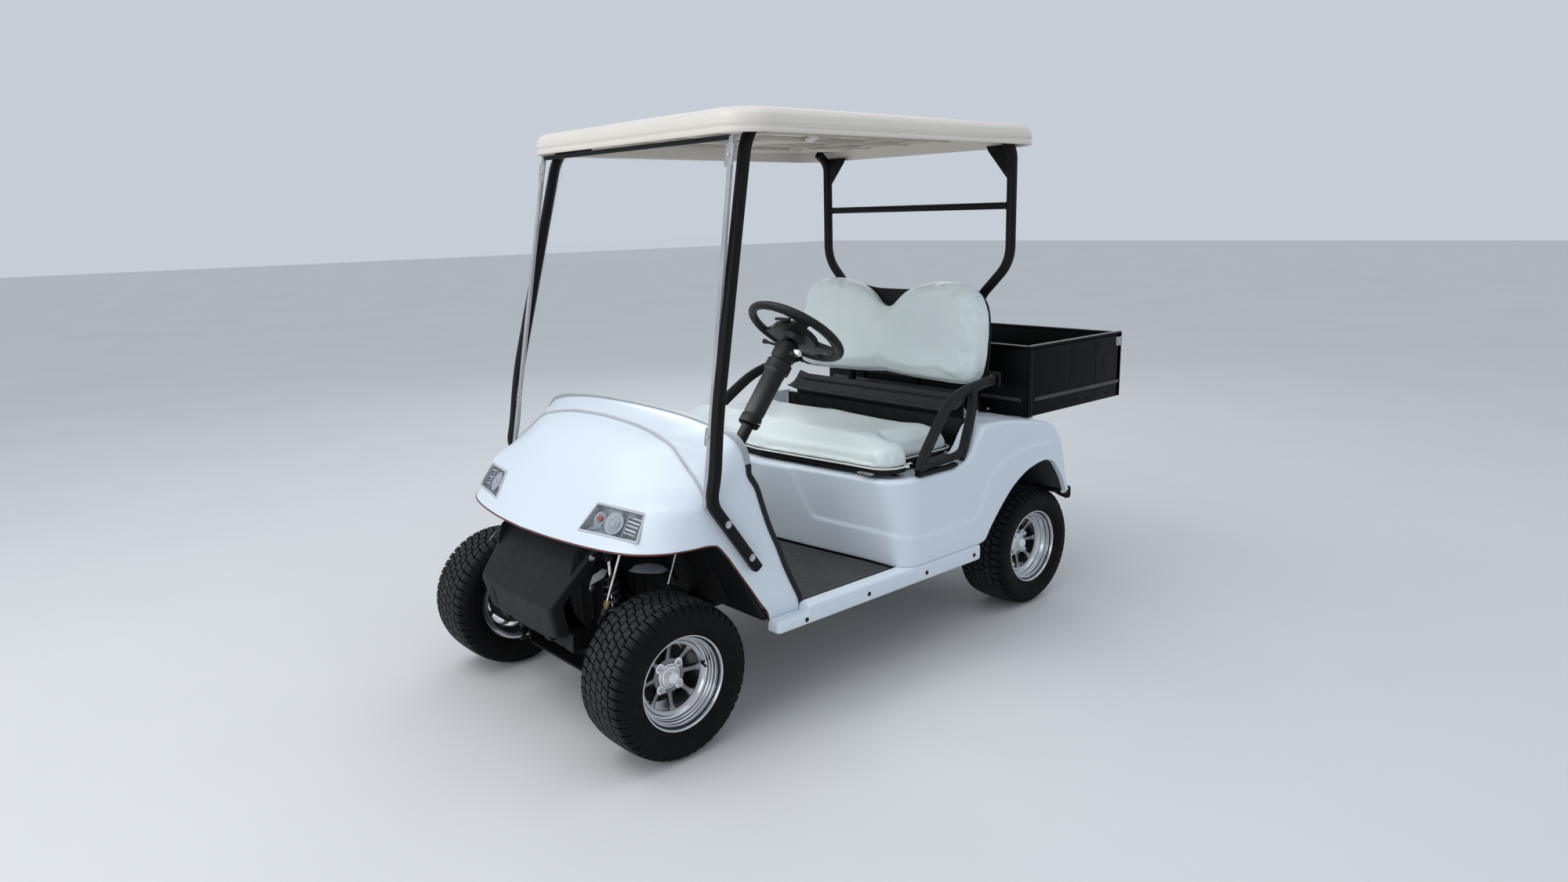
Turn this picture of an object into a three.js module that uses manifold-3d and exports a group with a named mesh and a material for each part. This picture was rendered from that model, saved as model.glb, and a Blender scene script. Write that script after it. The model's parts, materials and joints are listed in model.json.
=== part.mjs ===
// Electric cargo cart: two seats, roof, cargo box behind, four wheels.
// Millimetres, +Z up, +X the cart's left, the nose points to -Y.
// Every number below is measured from the front axle line (y = 0) and the
// ground (z = 0); the whole cart is then moved by ORIGIN_Y so that the frame's
// origin is under the middle of its length.
import * as THREE from 'three';
import { mergeVertices } from 'three/addons/utils/BufferGeometryUtils.js';
import Module from 'manifold-3d';

const wasm = await Module();
wasm.setup();

// ---------- driving dimensions ----------
const NOSE_Y = -213;           // front lip of the bumper skirt
const TAIL_Y = 2310;           // outer face of the tailgate
const TYRE_R = 230;            // the front tyres are the foremost point
const ORIGIN_Y = -(TAIL_Y - TYRE_R) / 2;
const WHEELBASE = 1681;
const GAP = 0.3;               // between pieces that touch
const BEAD_R = 128;            // tyre and rim meet here
const FRONT_TYRE_X = 465, REAR_TYRE_X = 447;
const KINGPIN_X = 372, SPRING_Y = -38;
const BODY_HALF = 600, COWL_HALF = 552, FLOOR_HALF = 545;
const FLOOR_TOP = 340, MAT_TOP = 346, SKIN = 6;
const ROCKER = { y0: 313, y1: 1273, z0: 290, z1: 350 };
const BODY_Z0 = 350.3;         // lower edge of the panels that stand on the rockers
const RAIL = { x0: 180, x1: 225, z0: 262, z1: 322, kick: 330, kickTop: 390 };
const STRUT_R = 15, REAR_STRUT_X = 467, REAR_STRUT_Y = 1596;
const ROOF = { half: 580, y0: 250, y1: 1620, z0: 1712, z1: 1788 };
const SEAT = { half: 490, y0: 760, y1: 1252, z0: 681, z1: 770, boardZ: 664.3 };
const WHEEL = { x: 250, y: 730, z: 1120, r: 158, rim: 14, lean: 52 };
const BOX = { half: 525, y0: 1640, z0: 738, z1: 1004, wall: 20 };

// ---------- colours ----------
const paint = (c, r, m) => new THREE.MeshStandardMaterial({ color: c, roughness: r, metalness: m });
const WHITE = () => paint(0xeef1f4, 0.25, 0.0);
const BLACK_STEEL = () => paint(0x15171a, 0.45, 0.3);
const BLACK_PLASTIC = () => paint(0x1b1c1e, 0.6, 0.0);
const GREY_PLASTIC = () => paint(0x5a5c60, 0.6, 0.0);
const RUBBER = () => paint(0x141414, 0.85, 0.0);
const ALLOY = () => paint(0xc3c6ca, 0.25, 0.9);
const VINYL = () => paint(0xe6e6e0, 0.5, 0.0);
const CREAM = () => paint(0xe4dcc4, 0.45, 0.0);
const GLASS = () => paint(0xd8e2e6, 0.05, 0.0);
const CAST = () => paint(0x2a2c2f, 0.6, 0.5);

// ---------- solids ----------
function solid(geometry, matrix) {
  let g = geometry.index ? geometry.toNonIndexed() : geometry.clone();
  for (const k of Object.keys(g.attributes)) if (k !== 'position') g.deleteAttribute(k);
  if (matrix) g.applyMatrix4(matrix);
  g = mergeVertices(g, 1e-3);
  const tri = [];
  const ix = g.index.array;
  for (let i = 0; i < ix.length; i += 3) {
    if (ix[i] !== ix[i + 1] && ix[i + 1] !== ix[i + 2] && ix[i] !== ix[i + 2]) tri.push(ix[i], ix[i + 1], ix[i + 2]);
  }
  return new wasm.Manifold(new wasm.Mesh({
    numProp: 3, vertProperties: Float32Array.from(g.attributes.position.array), triVerts: Uint32Array.from(tri),
  }));
}
const join = (...list) => list.flat().reduce((a, b) => a.add(b));
const cut = (a, ...list) => list.flat().reduce((s, b) => s.subtract(b), a);
const shape = (pts) => new THREE.Shape(pts.map(([u, v]) => new THREE.Vector2(u, v)));
const basis = (x, y, z, o) => new THREE.Matrix4().makeBasis(x, y, z).setPosition(o);
const V = (x, y, z) => new THREE.Vector3(x, y, z);
const AX = V(1, 0, 0), AY = V(0, 1, 0), AZ = V(0, 0, 1);
const slab = (pts, depth, curveSegments = 6) => new THREE.ExtrudeGeometry(shape(pts), { depth, bevelEnabled: false, curveSegments });
// profile in (y, z) swept along x; in (x, z) swept along y; in (x, y) swept along z
const alongX = (pts, x0, x1) => solid(slab(pts, x1 - x0), basis(AY, AZ, AX, V(x0, 0, 0)));
const alongY = (pts, y0, y1) => solid(slab(pts, y1 - y0), basis(AX, AZ, V(0, -1, 0), V(0, y1, 0)));
const alongZ = (pts, z0, z1) => solid(slab(pts, z1 - z0), basis(AX, AY, AZ, V(0, 0, z0)));
function box(x0, x1, y0, y1, z0, z1) {
  return solid(new THREE.BoxGeometry(x1 - x0, y1 - y0, z1 - z0),
    new THREE.Matrix4().makeTranslation((x0 + x1) / 2, (y0 + y1) / 2, (z0 + z1) / 2));
}
function rod(a, b, r, seg = 16, r2 = r) {
  const p = V(...a), q = V(...b), d = q.clone().sub(p);
  const m = new THREE.Matrix4().compose(p.clone().add(q).multiplyScalar(0.5),
    new THREE.Quaternion().setFromUnitVectors(AY, d.clone().normalize()), V(1, 1, 1));
  return solid(new THREE.CylinderGeometry(r2, r, d.length(), seg), m);
}
// ring or disc turned about an axis along x through (0, y, z): rows of [x, radius]
function turnX(rows, x, y, z, seg) {
  const pts = rows.map(([px, r]) => new THREE.Vector2(r, px));
  const g = new THREE.LatheGeometry(pts, seg);
  return solid(g, basis(AY, AX, V(0, 0, -1), V(x, y, z)));
}
// bent tube: straight runs with rounded bends
function bentTube(pts, r, bend, seg = 10, bendSteps = 4) {
  const P = pts.map((p) => V(...p));
  const line = [P[0]];
  for (let i = 1; i < P.length - 1; i++) {
    const a = P[i - 1].clone().sub(P[i]), b = P[i + 1].clone().sub(P[i]);
    const d = Math.min(bend, a.length() * 0.45, b.length() * 0.45);
    const s = P[i].clone().add(a.normalize().multiplyScalar(d));
    const e = P[i].clone().add(b.normalize().multiplyScalar(d));
    const c = new THREE.QuadraticBezierCurve3(s, P[i], e);
    line.push(...c.getPoints(bendSteps));
  }
  line.push(P[P.length - 1]);
  const path = new THREE.CurvePath();
  for (let i = 0; i < line.length - 1; i++) path.add(new THREE.LineCurve3(line[i], line[i + 1]));
  // one step per run, so the sections stand at the corners of the path
  const lens = path.getCurveLengths(), total = lens[lens.length - 1];
  const us = [0, ...lens.map((l) => l / total)];
  const section = [];
  for (let k = 0; k < seg; k++) section.push([Math.cos((2 * Math.PI * k) / seg), Math.sin((2 * Math.PI * k) / seg)]);
  const pos = [];
  let n = null;
  const rings = us.map((u, i) => {
    const p = line[i];
    const t0 = i > 0 ? line[i].clone().sub(line[i - 1]).normalize() : null;
    const t1 = i < line.length - 1 ? line[i + 1].clone().sub(line[i]).normalize() : null;
    const t = t0 && t1 ? t0.clone().add(t1).normalize() : (t0 || t1);
    if (!n) { n = Math.abs(t.z) < 0.9 ? AZ.clone() : AX.clone(); }
    n = n.clone().sub(t.clone().multiplyScalar(n.dot(t))).normalize();
    const bn = t.clone().cross(n);
    return section.map(([c, s]) => p.clone().add(n.clone().multiplyScalar(r * c)).add(bn.clone().multiplyScalar(r * s)));
  });
  const T = (a, b, c) => pos.push(...a.toArray(), ...b.toArray(), ...c.toArray());
  for (let i = 0; i < rings.length - 1; i++) {
    for (let k = 0; k < seg; k++) {
      const l = (k + 1) % seg;
      T(rings[i][k], rings[i][l], rings[i + 1][l]);
      T(rings[i][k], rings[i + 1][l], rings[i + 1][k]);
    }
  }
  for (let k = 1; k < seg - 1; k++) {
    T(rings[0][0], rings[0][k + 1], rings[0][k]);
    const e = rings[rings.length - 1];
    T(e[0], e[k], e[k + 1]);
  }
  const g = new THREE.BufferGeometry();
  g.setAttribute('position', new THREE.Float32BufferAttribute(pos, 3));
  return solid(g);
}
// solid between sections that stand across x: rows {x, pts: [[y, z], ...]}, equal counts
function loftX(rows) {
  const pos = [];
  const P = rows.map((r) => r.pts.map(([y, z]) => V(r.x, y, z)));
  const T = (a, b, c) => pos.push(...a.toArray(), ...b.toArray(), ...c.toArray());
  const n = P[0].length;
  for (let i = 0; i < P.length - 1; i++) {
    for (let k = 0; k < n; k++) {
      const l = (k + 1) % n;
      T(P[i][k], P[i][l], P[i + 1][l]);
      T(P[i][k], P[i + 1][l], P[i + 1][k]);
    }
  }
  const cap = (ring, flip) => {
    const flat = ring.map((p) => new THREE.Vector2(p.y, p.z));
    const turn = THREE.ShapeUtils.area(flat);
    for (const [a, b, c] of THREE.ShapeUtils.triangulateShape(flat, [])) {
      const same = THREE.ShapeUtils.area([flat[a], flat[b], flat[c]]) * turn > 0;
      (flip === same) ? T(ring[a], ring[c], ring[b]) : T(ring[a], ring[b], ring[c]);
    }
  };
  cap(P[0], true);
  cap(P[P.length - 1], false);
  const g = new THREE.BufferGeometry();
  g.setAttribute('position', new THREE.Float32BufferAttribute(pos, 3));
  let s = solid(g);
  if (s.volume() < 0) throw new Error('loft is inside out');
  return s;
}
const mirrorX = (s) => s.mirror([1, 0, 0]);
const group = new THREE.Group();
group.position.set(0, ORIGIN_Y, 0);
function put(name, s, material) {
  const m = s.getMesh();
  const g = new THREE.BufferGeometry();
  g.setAttribute('position', new THREE.BufferAttribute(Float32Array.from(m.vertProperties), 3));
  g.setIndex(Array.from(m.triVerts));
  const mesh = new THREE.Mesh(g, material);
  mesh.name = name;
  group.add(mesh);
}
const SIDES = [['left', 1], ['right', -1]];
function putSides(name, left, material) {
  for (const [side, s] of SIDES) put(`${name}_${side}`, s > 0 ? left : mirrorX(left), material());
}

// ---------- wheels ----------
// tyre ring: [x from its middle, radius]
const TYRE = [[-79.5, BEAD_R], [-83.5, 141], [-97, 158], [-102.5, 186], [-95, 214], [-72, TYRE_R], [72, TYRE_R],
  [95, 214], [102.5, 186], [97, 158], [83.5, 141], [79.5, BEAD_R]];
// rim barrel: [x from the tyre's middle, radius], the deep dish is on the outer side
const BARREL = [[-89, 140], [-89, 121], [-55, 113], [30, 110], [89, 126], [89, 140], [84, 140],
  [79.8, BEAD_R - 1], [-79.8, BEAD_R - 1], [-84, 140]];
const SPOKES = 8, SPOKE_X = 28, HUB_R = 44, ROUND = 28;
function rimSolid() {
  let s = turnX(BARREL.slice().reverse().concat([BARREL[BARREL.length - 1]]), 0, 0, 0, ROUND);
  s = join(s, turnX([[SPOKE_X - 16, 0], [SPOKE_X - 16, HUB_R + 8], [SPOKE_X + 4, HUB_R], [SPOKE_X + 16, 32], [SPOKE_X + 26, 30], [SPOKE_X + 26, 0]], 0, 0, 0, 16));
  for (let k = 0; k < SPOKES; k++) {
    const a = (2 * Math.PI * k) / SPOKES;
    const m = new THREE.Matrix4().makeRotationX(a).multiply(new THREE.Matrix4().makeTranslation(SPOKE_X - 4, 0, 75));
    s = join(s, solid(new THREE.BoxGeometry(14, 15, 78), m));
  }
  return s;
}
const tyreSolid = turnX(TYRE.concat([TYRE[0]]), 0, 0, 0, ROUND);
const rim = rimSolid();
for (const [axle, y, tx] of [['front', 0, FRONT_TYRE_X], ['rear', WHEELBASE, REAR_TYRE_X]]) {
  for (const [side, s] of SIDES) {
    const at = (q) => (s > 0 ? q : mirrorX(q)).translate([s * tx, y, TYRE_R]);
    put(`tyre_${axle}_${side}`, at(tyreSolid), RUBBER());
    put(`rim_${axle}_${side}`, at(rim), ALLOY());
  }
}

// ---------- chassis ----------
const railSide = [[-150, RAIL.z0], [1270, RAIL.z0], [1400, RAIL.kick], [1956, RAIL.kick], [1956, RAIL.kickTop], [1380, RAIL.kickTop], [1250, RAIL.z1], [-150, RAIL.z1]];
const rail = alongX(railSide, RAIL.x0, RAIL.x1);
// cross members: y0, y1, z0, z1
const CROSS = [[-150, -100, 262, 322], [340, 390, 262, 318], [1180, 1230, 262, 318], [1900, 1950, 334, 386]];
put('chassis_frame', join(rail, mirrorX(rail),
  ...CROSS.map(([y0, y1, z0, z1]) => box(-RAIL.x0 - 10, RAIL.x0 + 10, y0, y1, z0, z1)),
  ...[1, -1].map((k) => box(k * 130 - 20, k * 130 + 20, -181, -140, 285, 307))), BLACK_STEEL());

// ---------- front suspension and steering ----------
// box under the rails, a tower outside each rail, two arms and a spring leg to each side
let sub = box(-224, 224, -60, 60, 135, RAIL.z0 - GAP);
sub = cut(sub, box(-212, 212, -70, 70, 147, 250));
const lowerArm = alongZ([[230, -80], [330, -24], [KINGPIN_X, -20], [KINGPIN_X, 20], [330, 24], [230, 80]], 146, 160);
const upperArm = alongZ([[230, -8], [325, -8], [345, -15], [KINGPIN_X, -15], [KINGPIN_X, 15], [330, 16], [230, 36]], 301, 311);
for (const m of [(q) => q, mirrorX]) {
  sub = join(sub, m(box(RAIL.x1 + GAP, 237, -58, 50, 258, 560)), m(box(215, 237, -60, 60, 140, 262 - GAP)), m(box(230, 282, -58, SPRING_Y + 20, 546, 560)),
    m(lowerArm), m(upperArm));
}
put('front_suspension', sub, BLACK_STEEL());
putSides('spring_leg', join(
  rod([262, SPRING_Y, 545], [268, SPRING_Y, 480], 9), rod([268, SPRING_Y, 482], [286, SPRING_Y, 215], 24, 16), rod([286, SPRING_Y, 216], [290, SPRING_Y, 162.5], 9)), () => paint(0xb9bcc0, 0.3, 0.8));
// knuckle: upright with the stub axle and steering arm; it turns on the kingpin line
const TIE = { x: 342, y: 104, z: 190, r: 10 };
const knuckle = join(
  rod([KINGPIN_X, 0, 166], [KINGPIN_X, 0, 294], 15),
  box(KINGPIN_X - 6, KINGPIN_X + 34, -24, 24, 200, 262),
  rod([KINGPIN_X + 30, 0, TYRE_R], [FRONT_TYRE_X + SPOKE_X - 18, 0, TYRE_R], 17),
  rod([FRONT_TYRE_X - 21, 0, TYRE_R], [FRONT_TYRE_X + 3, 0, TYRE_R], 60, 20),
  box(TIE.x - 8, KINGPIN_X + 4, -4, 22, 206, 222), box(TIE.x - 8, TIE.x + 8, 14, TIE.y + 12, 206, 222));
putSides('knuckle', knuckle, CAST);
put('tie_rod', rod([-TIE.x - 8, TIE.y, TIE.z], [TIE.x + 8, TIE.y, TIE.z], TIE.r), CAST());

// ---------- rear axle, springs, motor, battery ----------
const axleRows = [[-335, 34], [-60, 34], [-45, 70], [0, 92], [60, 92], [105, 70], [120, 34], [335, 34]];
const leaf = [[1400, 300], [1540, 205], [1630, 180], [1732, 180], [1822, 205], [1960, 300], [1960, 312], [1812, 219], [1732, 198], [1630, 198], [1550, 219], [1400, 312]];
const spring = join(alongX(leaf, 262, 312), box(RAIL.x1 + GAP, 312, 1392, 1416, 296, 372), box(RAIL.x1 + GAP, 312, 1944, 1968, 296, 372));
put('rear_axle', join(turnX([[-335, 0], ...axleRows, [335, 0]], 0, WHEELBASE, TYRE_R, 20), spring, mirrorX(spring),
  ...[1, -1].map((k) => rod([k * 334, WHEELBASE, TYRE_R], [k * (REAR_TYRE_X + SPOKE_X - 18), WHEELBASE, TYRE_R], 17)),
  ...[1, -1].map((k) => rod([k * 395, WHEELBASE, TYRE_R], [k * 430, WHEELBASE, TYRE_R], 88, 20))), CAST());
put('drive_motor', rod([-258, 1510, 238], [-30, 1510, 238], 76, 24), CAST());
put('battery_pack', box(-170, 170, 930, 1170, 318 + GAP, 600), BLACK_PLASTIC());

// ---------- floor ----------
const floorProfile = [[896, 322.6], [896, FLOOR_TOP], [312, FLOOR_TOP], [222, 500], [166, 645], [166, 655], [154, 655], [154, 640], [211, 494], [302, 322.6]];
put('floor_pan', alongX(floorProfile, -FLOOR_HALF + GAP, FLOOR_HALF - GAP), BLACK_PLASTIC());
// front of the seat base, seen from above: columns x, set back y
const BOW = [[-592, 62], [-410, 47], [-240, 26], [0, 0], [240, 26], [410, 47], [592, 62]];
const matHalf = FLOOR_HALF - 8;
put('floor_mat', alongZ([[-matHalf, 330], [matHalf, 330], [matHalf, 872], ...BOW.slice(1, 6).reverse().map(([x, b]) => [x, 815 + b]), [-matHalf, 872]], FLOOR_TOP + GAP, MAT_TOP), RUBBER());
const rocker = alongX([[ROCKER.y0, ROCKER.z0], [ROCKER.y1, ROCKER.z0], [ROCKER.y1, ROCKER.z1], [ROCKER.y0 + 140, ROCKER.z1], [ROCKER.y0 + 140, ROCKER.z1 - 24], [ROCKER.y0 + 12, ROCKER.z1 - 24]], COWL_HALF + GAP + 2, BODY_HALF);
putSides('rocker', rocker, WHITE);

// ---------- front cowl ----------
// sections across x; columns: x, then y at the lip, at z 632 and 707, then points (y, z) 1, 2, 3 and the height at the rear edge
const COWL_REAR = 250;
const COWL = [
  [0, -172, -150, -90, -30, 785, 35, 848, 100, 888, 924],
  [130, -165, -143, -82, -22, 782, 42, 846, 105, 885, 922],
  [250, -150, -124, -68, -5, 776, 55, 836, 115, 876, 917],
  [350, -130, -103, -50, 15, 763, 75, 818, 130, 860, 908],
  [450, -95, -70, -26, 40, 748, 100, 786, 150, 822, 892],
  [500, -55, -30, 5, 60, 738, 110, 767, 160, 800, 874],
  [535, 0, 20, 50, 90, 722, 130, 746, 175, 774, 842],
  [COWL_HALF, 80, 90, 105, 125, 705, 150, 722, 190, 745, 790]];
const LIP_Z = 604;
function cowlSection([x, a, b, c, y1, z1, y2, z2, y3, z3, zr], inset) {
  const i = inset;
  const k = i > 0 ? 30 : 0;
  return [[COWL_REAR + k, LIP_Z - k], [COWL_REAR + k, zr - i], [y3 + i * 0.6, z3 - i], [y2 + i * 0.8, z2 - i * 0.8], [y1 + i * 0.8, z1 - i * 0.8],
    [c + i, 707], [b + i, 632], [a + i, LIP_Z], ...(k ? [[a + i, LIP_Z - 30]] : [])];
}
function cowlSolid(inset) {
  const rows = [...COWL.slice(1).reverse().map((r) => [-r[0], ...r.slice(1)]), ...COWL];
  const f = (COWL_HALF - inset) / COWL_HALF;
  return loftX(rows.map((r) => ({ x: r[0] * f, pts: cowlSection(r, inset) })));
}
// rear edge of the cheeks, top to bottom, in (y, z)
const CHEEK_EDGE = [[262, 765], [279, 734], [295, 684], [327, 598], [355, 539], [389, 454], [425, 386], [449, 329]];
const ARCH_FRONT = [[95, 612], [112, 605], [153, 587], [199, 516], [262, 425], [320, 339], [323, 288]];
const cheek = alongX([...ARCH_FRONT, [449, 288], ...CHEEK_EDGE.slice().reverse(), [235, 765], [116, 670]], COWL_HALF - SKIN, COWL_HALF);
const cowlOuter = cowlSolid(0);
let cowl = join(cut(cowlOuter, cowlSolid(SKIN)), cheek, mirrorX(cheek));
// lamps: corners of the lens on the left side, inner and outer
const LAMP = { it: [270, -64, 711], ib: [243, -122, 635], ob: [464, -65, 628], ot: [449, -24, 703] };
const LAMP_N = [0.206, -0.812, 0.547];
function hexa(corners, grow, front, back) {
  const c = corners.reduce((a, p) => a.map((q, i) => q + p[i] / 4), [0, 0, 0]);
  const out = corners.map((p) => {
    const d = V(p[0] - c[0], p[1] - c[1], p[2] - c[2]);
    return V(...p).add(d.clone().normalize().multiplyScalar(grow));
  });
  const n = V(...LAMP_N), pos = [];
  const A = out.map((p) => p.clone().add(n.clone().multiplyScalar(front)));
  const B = out.map((p) => p.clone().add(n.clone().multiplyScalar(-back)));
  const T = (a, b, d) => pos.push(...a.toArray(), ...b.toArray(), ...d.toArray());
  T(A[0], A[1], A[2]); T(A[0], A[2], A[3]); T(B[0], B[2], B[1]); T(B[0], B[3], B[2]);
  for (let k = 0; k < 4; k++) { const l = (k + 1) % 4; T(A[k], B[k], B[l]); T(A[k], B[l], A[l]); }
  const g = new THREE.BufferGeometry();
  g.setAttribute('position', new THREE.Float32BufferAttribute(pos, 3));
  return solid(g);
}
const lampCorners = [LAMP.it, LAMP.ib, LAMP.ob, LAMP.ot];
const lamp = hexa(lampCorners, 0, 2, 36), lampHole = hexa(lampCorners, 1, 60, 60);
cowl = cut(cowl, lampHole, mirrorX(lampHole));
put('front_cowl', cowl, WHITE());
putSides('headlight', lamp, () => paint(0xdfe6ea, 0.1, 0.2));

// dash behind the cowl, with the dark edge strip down each cheek
const strip = alongX([...CHEEK_EDGE.slice(0, 7).map(([y, z]) => [y + 0.4, z]), [443.4, 352], [459, 352],
  ...CHEEK_EDGE.slice(0, 7).reverse().map(([y, z]) => [y + 16, z + 4])], COWL_HALF - SKIN + GAP, COWL_HALF + 1);
const crown = COWL.map((r) => [r[0], r[10]]);
const dashTop = [...crown.slice(1).reverse().map(([x, z]) => [-x, z]), ...crown].filter(([x]) => Math.abs(x) < 540);
let dash = alongY([[-COWL_HALF + SKIN + GAP, 640], [COWL_HALF - SKIN - GAP, 640], [COWL_HALF - SKIN - GAP, 790], ...dashTop.slice().reverse(), [-COWL_HALF + SKIN + GAP, 790]], COWL_REAR + GAP, 272);
dash = join(dash, box(540, COWL_HALF + 1, 263, 272, 766, 771), box(-COWL_HALF - 1, -540, 263, 272, 766, 771), strip, mirrorX(strip));
put('dash_panel', dash, BLACK_PLASTIC());

// bumper skirt under the nose: side profile (y, z), trimmed to its front outline (x, z)
const skirtOut = [[-85, 560], [NOSE_Y, 413], [-190, 308], [-156, 308], [-156, 335], [-60, 335], [-60, 560]];
const skirtIn = [[-78, 553], [NOSE_Y + 8, 414], [-182, 300], [-50, 300], [-50, 540]];
const outlineSkirt = (i) => alongY([[-258 + i, 575], [-213 + i, 413], [-198 + i, 290], [198 - i, 290], [213 - i, 413], [258 - i, 575]], -260, -30);
let skirt = alongX(skirtOut, -300, 300).intersect(outlineSkirt(0));
skirt = cut(skirt, alongX(skirtIn, -300, 300).intersect(outlineSkirt(6)));
put('nose_skirt', skirt, GREY_PLASTIC());

// ---------- roof, struts, windshield ----------
const frontStrut = bentTube([[490, 450, 1738], [498, 352, 1732], [504, 322, 1684], [560, 150, 975], [568, 126, 800], [568, 107, 728], [568, 265, 506]], STRUT_R, 40, 10, 3);
putSides('front_strut', frontStrut, BLACK_STEEL);
let glass = alongX([[110, 735], [281, 1708], [276, 1708], [105, 735]], -560, 560)
  .intersect(alongY([[-545, 700], [545, 700], [503, 1712], [-503, 1712]], 60, 320));
glass = cut(glass, cowlOuter.translate([0, 0, 0.6]));
put('windshield', glass, GLASS());
const rearSide = bentTube([[REAR_STRUT_X, 1545, 1740], [REAR_STRUT_X, REAR_STRUT_Y - 4, 1690], [REAR_STRUT_X, REAR_STRUT_Y - 4, 1310], [330, 1588, 1172], [330, 1584, 764]], STRUT_R, 40, 10, 3);
put('rear_strut_frame', join(rearSide, mirrorX(rearSide), rod([-460, REAR_STRUT_Y - 4, 1511], [460, REAR_STRUT_Y - 4, 1511], 12, 10),
  ...[1, -1].map((k) => rod([k * 330, 1584, 756], [k * 330, 1584, 765], 40, 12))), BLACK_STEEL());
function roundRect(x0, x1, y0, y1, r, n = 4) {
  const out = [];
  for (const [cx, cy, a0] of [[x1 - r, y0 + r, -90], [x1 - r, y1 - r, 0], [x0 + r, y1 - r, 90], [x0 + r, y0 + r, 180]]) {
    for (let i = 0; i <= n; i++) { const a = ((a0 + (90 * i) / n) * Math.PI) / 180; out.push([cx + r * Math.cos(a), cy + r * Math.sin(a)]); }
  }
  return out;
}
let roof = alongZ(roundRect(-ROOF.half, ROOF.half, ROOF.y0, ROOF.y1, 110), ROOF.z0, ROOF.z1 + 10)
  .intersect(alongX([[ROOF.y0 - 1, ROOF.z0 - 5], [ROOF.y1 + 1, ROOF.z0 - 5], [ROOF.y1 + 1, 1742], [ROOF.y1 - 38, 1776], [1200, ROOF.z1], [700, ROOF.z1], [ROOF.y0 + 38, 1774], [ROOF.y0 - 1, 1740]], -700, 700))
  .intersect(alongY([[-ROOF.half - 1, ROOF.z0 - 5], [ROOF.half + 1, ROOF.z0 - 5], [ROOF.half + 1, 1745], [ROOF.half - 40, ROOF.z1 - 3], [0, ROOF.z1 + 1], [-ROOF.half + 40, ROOF.z1 - 3], [-ROOF.half - 1, 1745]], 200, 1700));
roof = cut(roof, alongZ(roundRect(-ROOF.half + 12, ROOF.half - 12, ROOF.y0 + 12, ROOF.y1 - 12, 100), ROOF.z0 - 20, 1758));
put('roof_canopy', roof, CREAM());

// ---------- body behind the floor ----------
// bowed front panel under the seat
const podProfile = [[818, BODY_Z0], [826, BODY_Z0], [772, 648], [772, 656], [842, 656], [842, 664], [764, 664], [764, 646]];
put('seat_pod_front', loftX(BOW.map(([x, b]) => ({ x: x - Math.sign(x) * GAP, pts: podProfile.map(([y, z]) => [y + b, z]) }))), WHITE());
const BODY_TOP = [[838, 648], [1110, 648], [1185, 656], [1232, 690], [1270, 742], [1292, 768], [1330, 772], [1540, 752], [1725, 704], [1767, 650], [1818, 440]];
const ARCH_REAR = [[1285, BODY_Z0], [1329, 400], [1408, 478], [1473, 530], [1572, 573], [1673, 582], [1730, 545], [1788, 470], [1800, 440]];
const side = alongX([[881, BODY_Z0], ...ARCH_REAR, ...BODY_TOP.slice(1).reverse(), [838, 648]], 592, BODY_HALF);
const ledge = alongX([...BODY_TOP.slice(0, 10).map(([y, z]) => [y, z - 8]), ...BODY_TOP.slice(0, 10).reverse()], 500, BODY_HALF - 1);
const liner = alongX([...ARCH_REAR.slice(1, 8), ...ARCH_REAR.slice(1, 8).reverse().map(([y, z]) => [y - 1, z + 7])], 340, BODY_HALF - 1);
putSides('body_side', join(side, ledge, liner), WHITE);
const DECK = [[1240, 664], [1362, 664], [1362, 764], [1540, 746], [1718, 700], [1760, 648], [1812, 440]];
const deck = alongX([...DECK.map(([y, z]) => [y, z]), [1804, 440], [1752, 646], [1713, 692], [1538, 738], [1370, 755], [1370, 656], [1240, 656]], -499.7, 499.7);
put('rear_deck', deck, WHITE());
put('rear_bumper', alongZ([[-575, 1868], [-562, 1856], [-490, 1893], [490, 1893], [562, 1856], [575, 1868], [500, 1925], [-500, 1925]], RAIL.kickTop + GAP, 440), BLACK_STEEL());

// ---------- seat ----------
const bow = (x) => { const i = Math.min(5, Math.max(0, BOW.findIndex((r) => r[0] > x) - 1)); const [a, b] = [BOW[i], BOW[i + 1]]; return a[1] + ((b[1] - a[1]) * (x - a[0])) / (b[0] - a[0]); };
// outline of the seat from above: bowed front, full width at the front corners, narrower between the armrests
function seatPlan(inset, y0) {
  const w = 566 - inset, s = SEAT.half - inset;
  const right = [[505, 815], [530, 823], [550, 842], [562, 866], [566, 892]].map(([x, y]) => [x - inset, y + inset]);
  const half = [...right, [w, 932 - inset], [w - 8, 940 - inset], [s, 944 - inset], [s, SEAT.y1 - inset]];
  const front = y0 === null ? [[-505, 700], [505, 700]] : [-410, -240, 0, 240, 410].map((x) => [x, y0 + bow(x)]);
  return [...front, ...half, ...half.slice().reverse().map(([x, y]) => [-x, y])];
}
const SEAT_X = [-566, -410, -240, 0, 240, 410, 566];
const cushion = loftX(SEAT_X.map((x) => { const b = bow(x); return { x, pts: [[SEAT.y0 + 14 + b, SEAT.z0], [SEAT.y1, SEAT.z0], [SEAT.y1, SEAT.z1 - 12], [SEAT.y1 - 12, SEAT.z1], [SEAT.y0 + 36 + b, SEAT.z1], [SEAT.y0 + 8 + b, SEAT.z1 - 16], [SEAT.y0 + b, SEAT.z1 - 46], [SEAT.y0 + b, SEAT.z0 + 14]] }; }))
  .intersect(alongZ(seatPlan(0, null), SEAT.z0 - 1, SEAT.z1 + 1));
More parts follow.
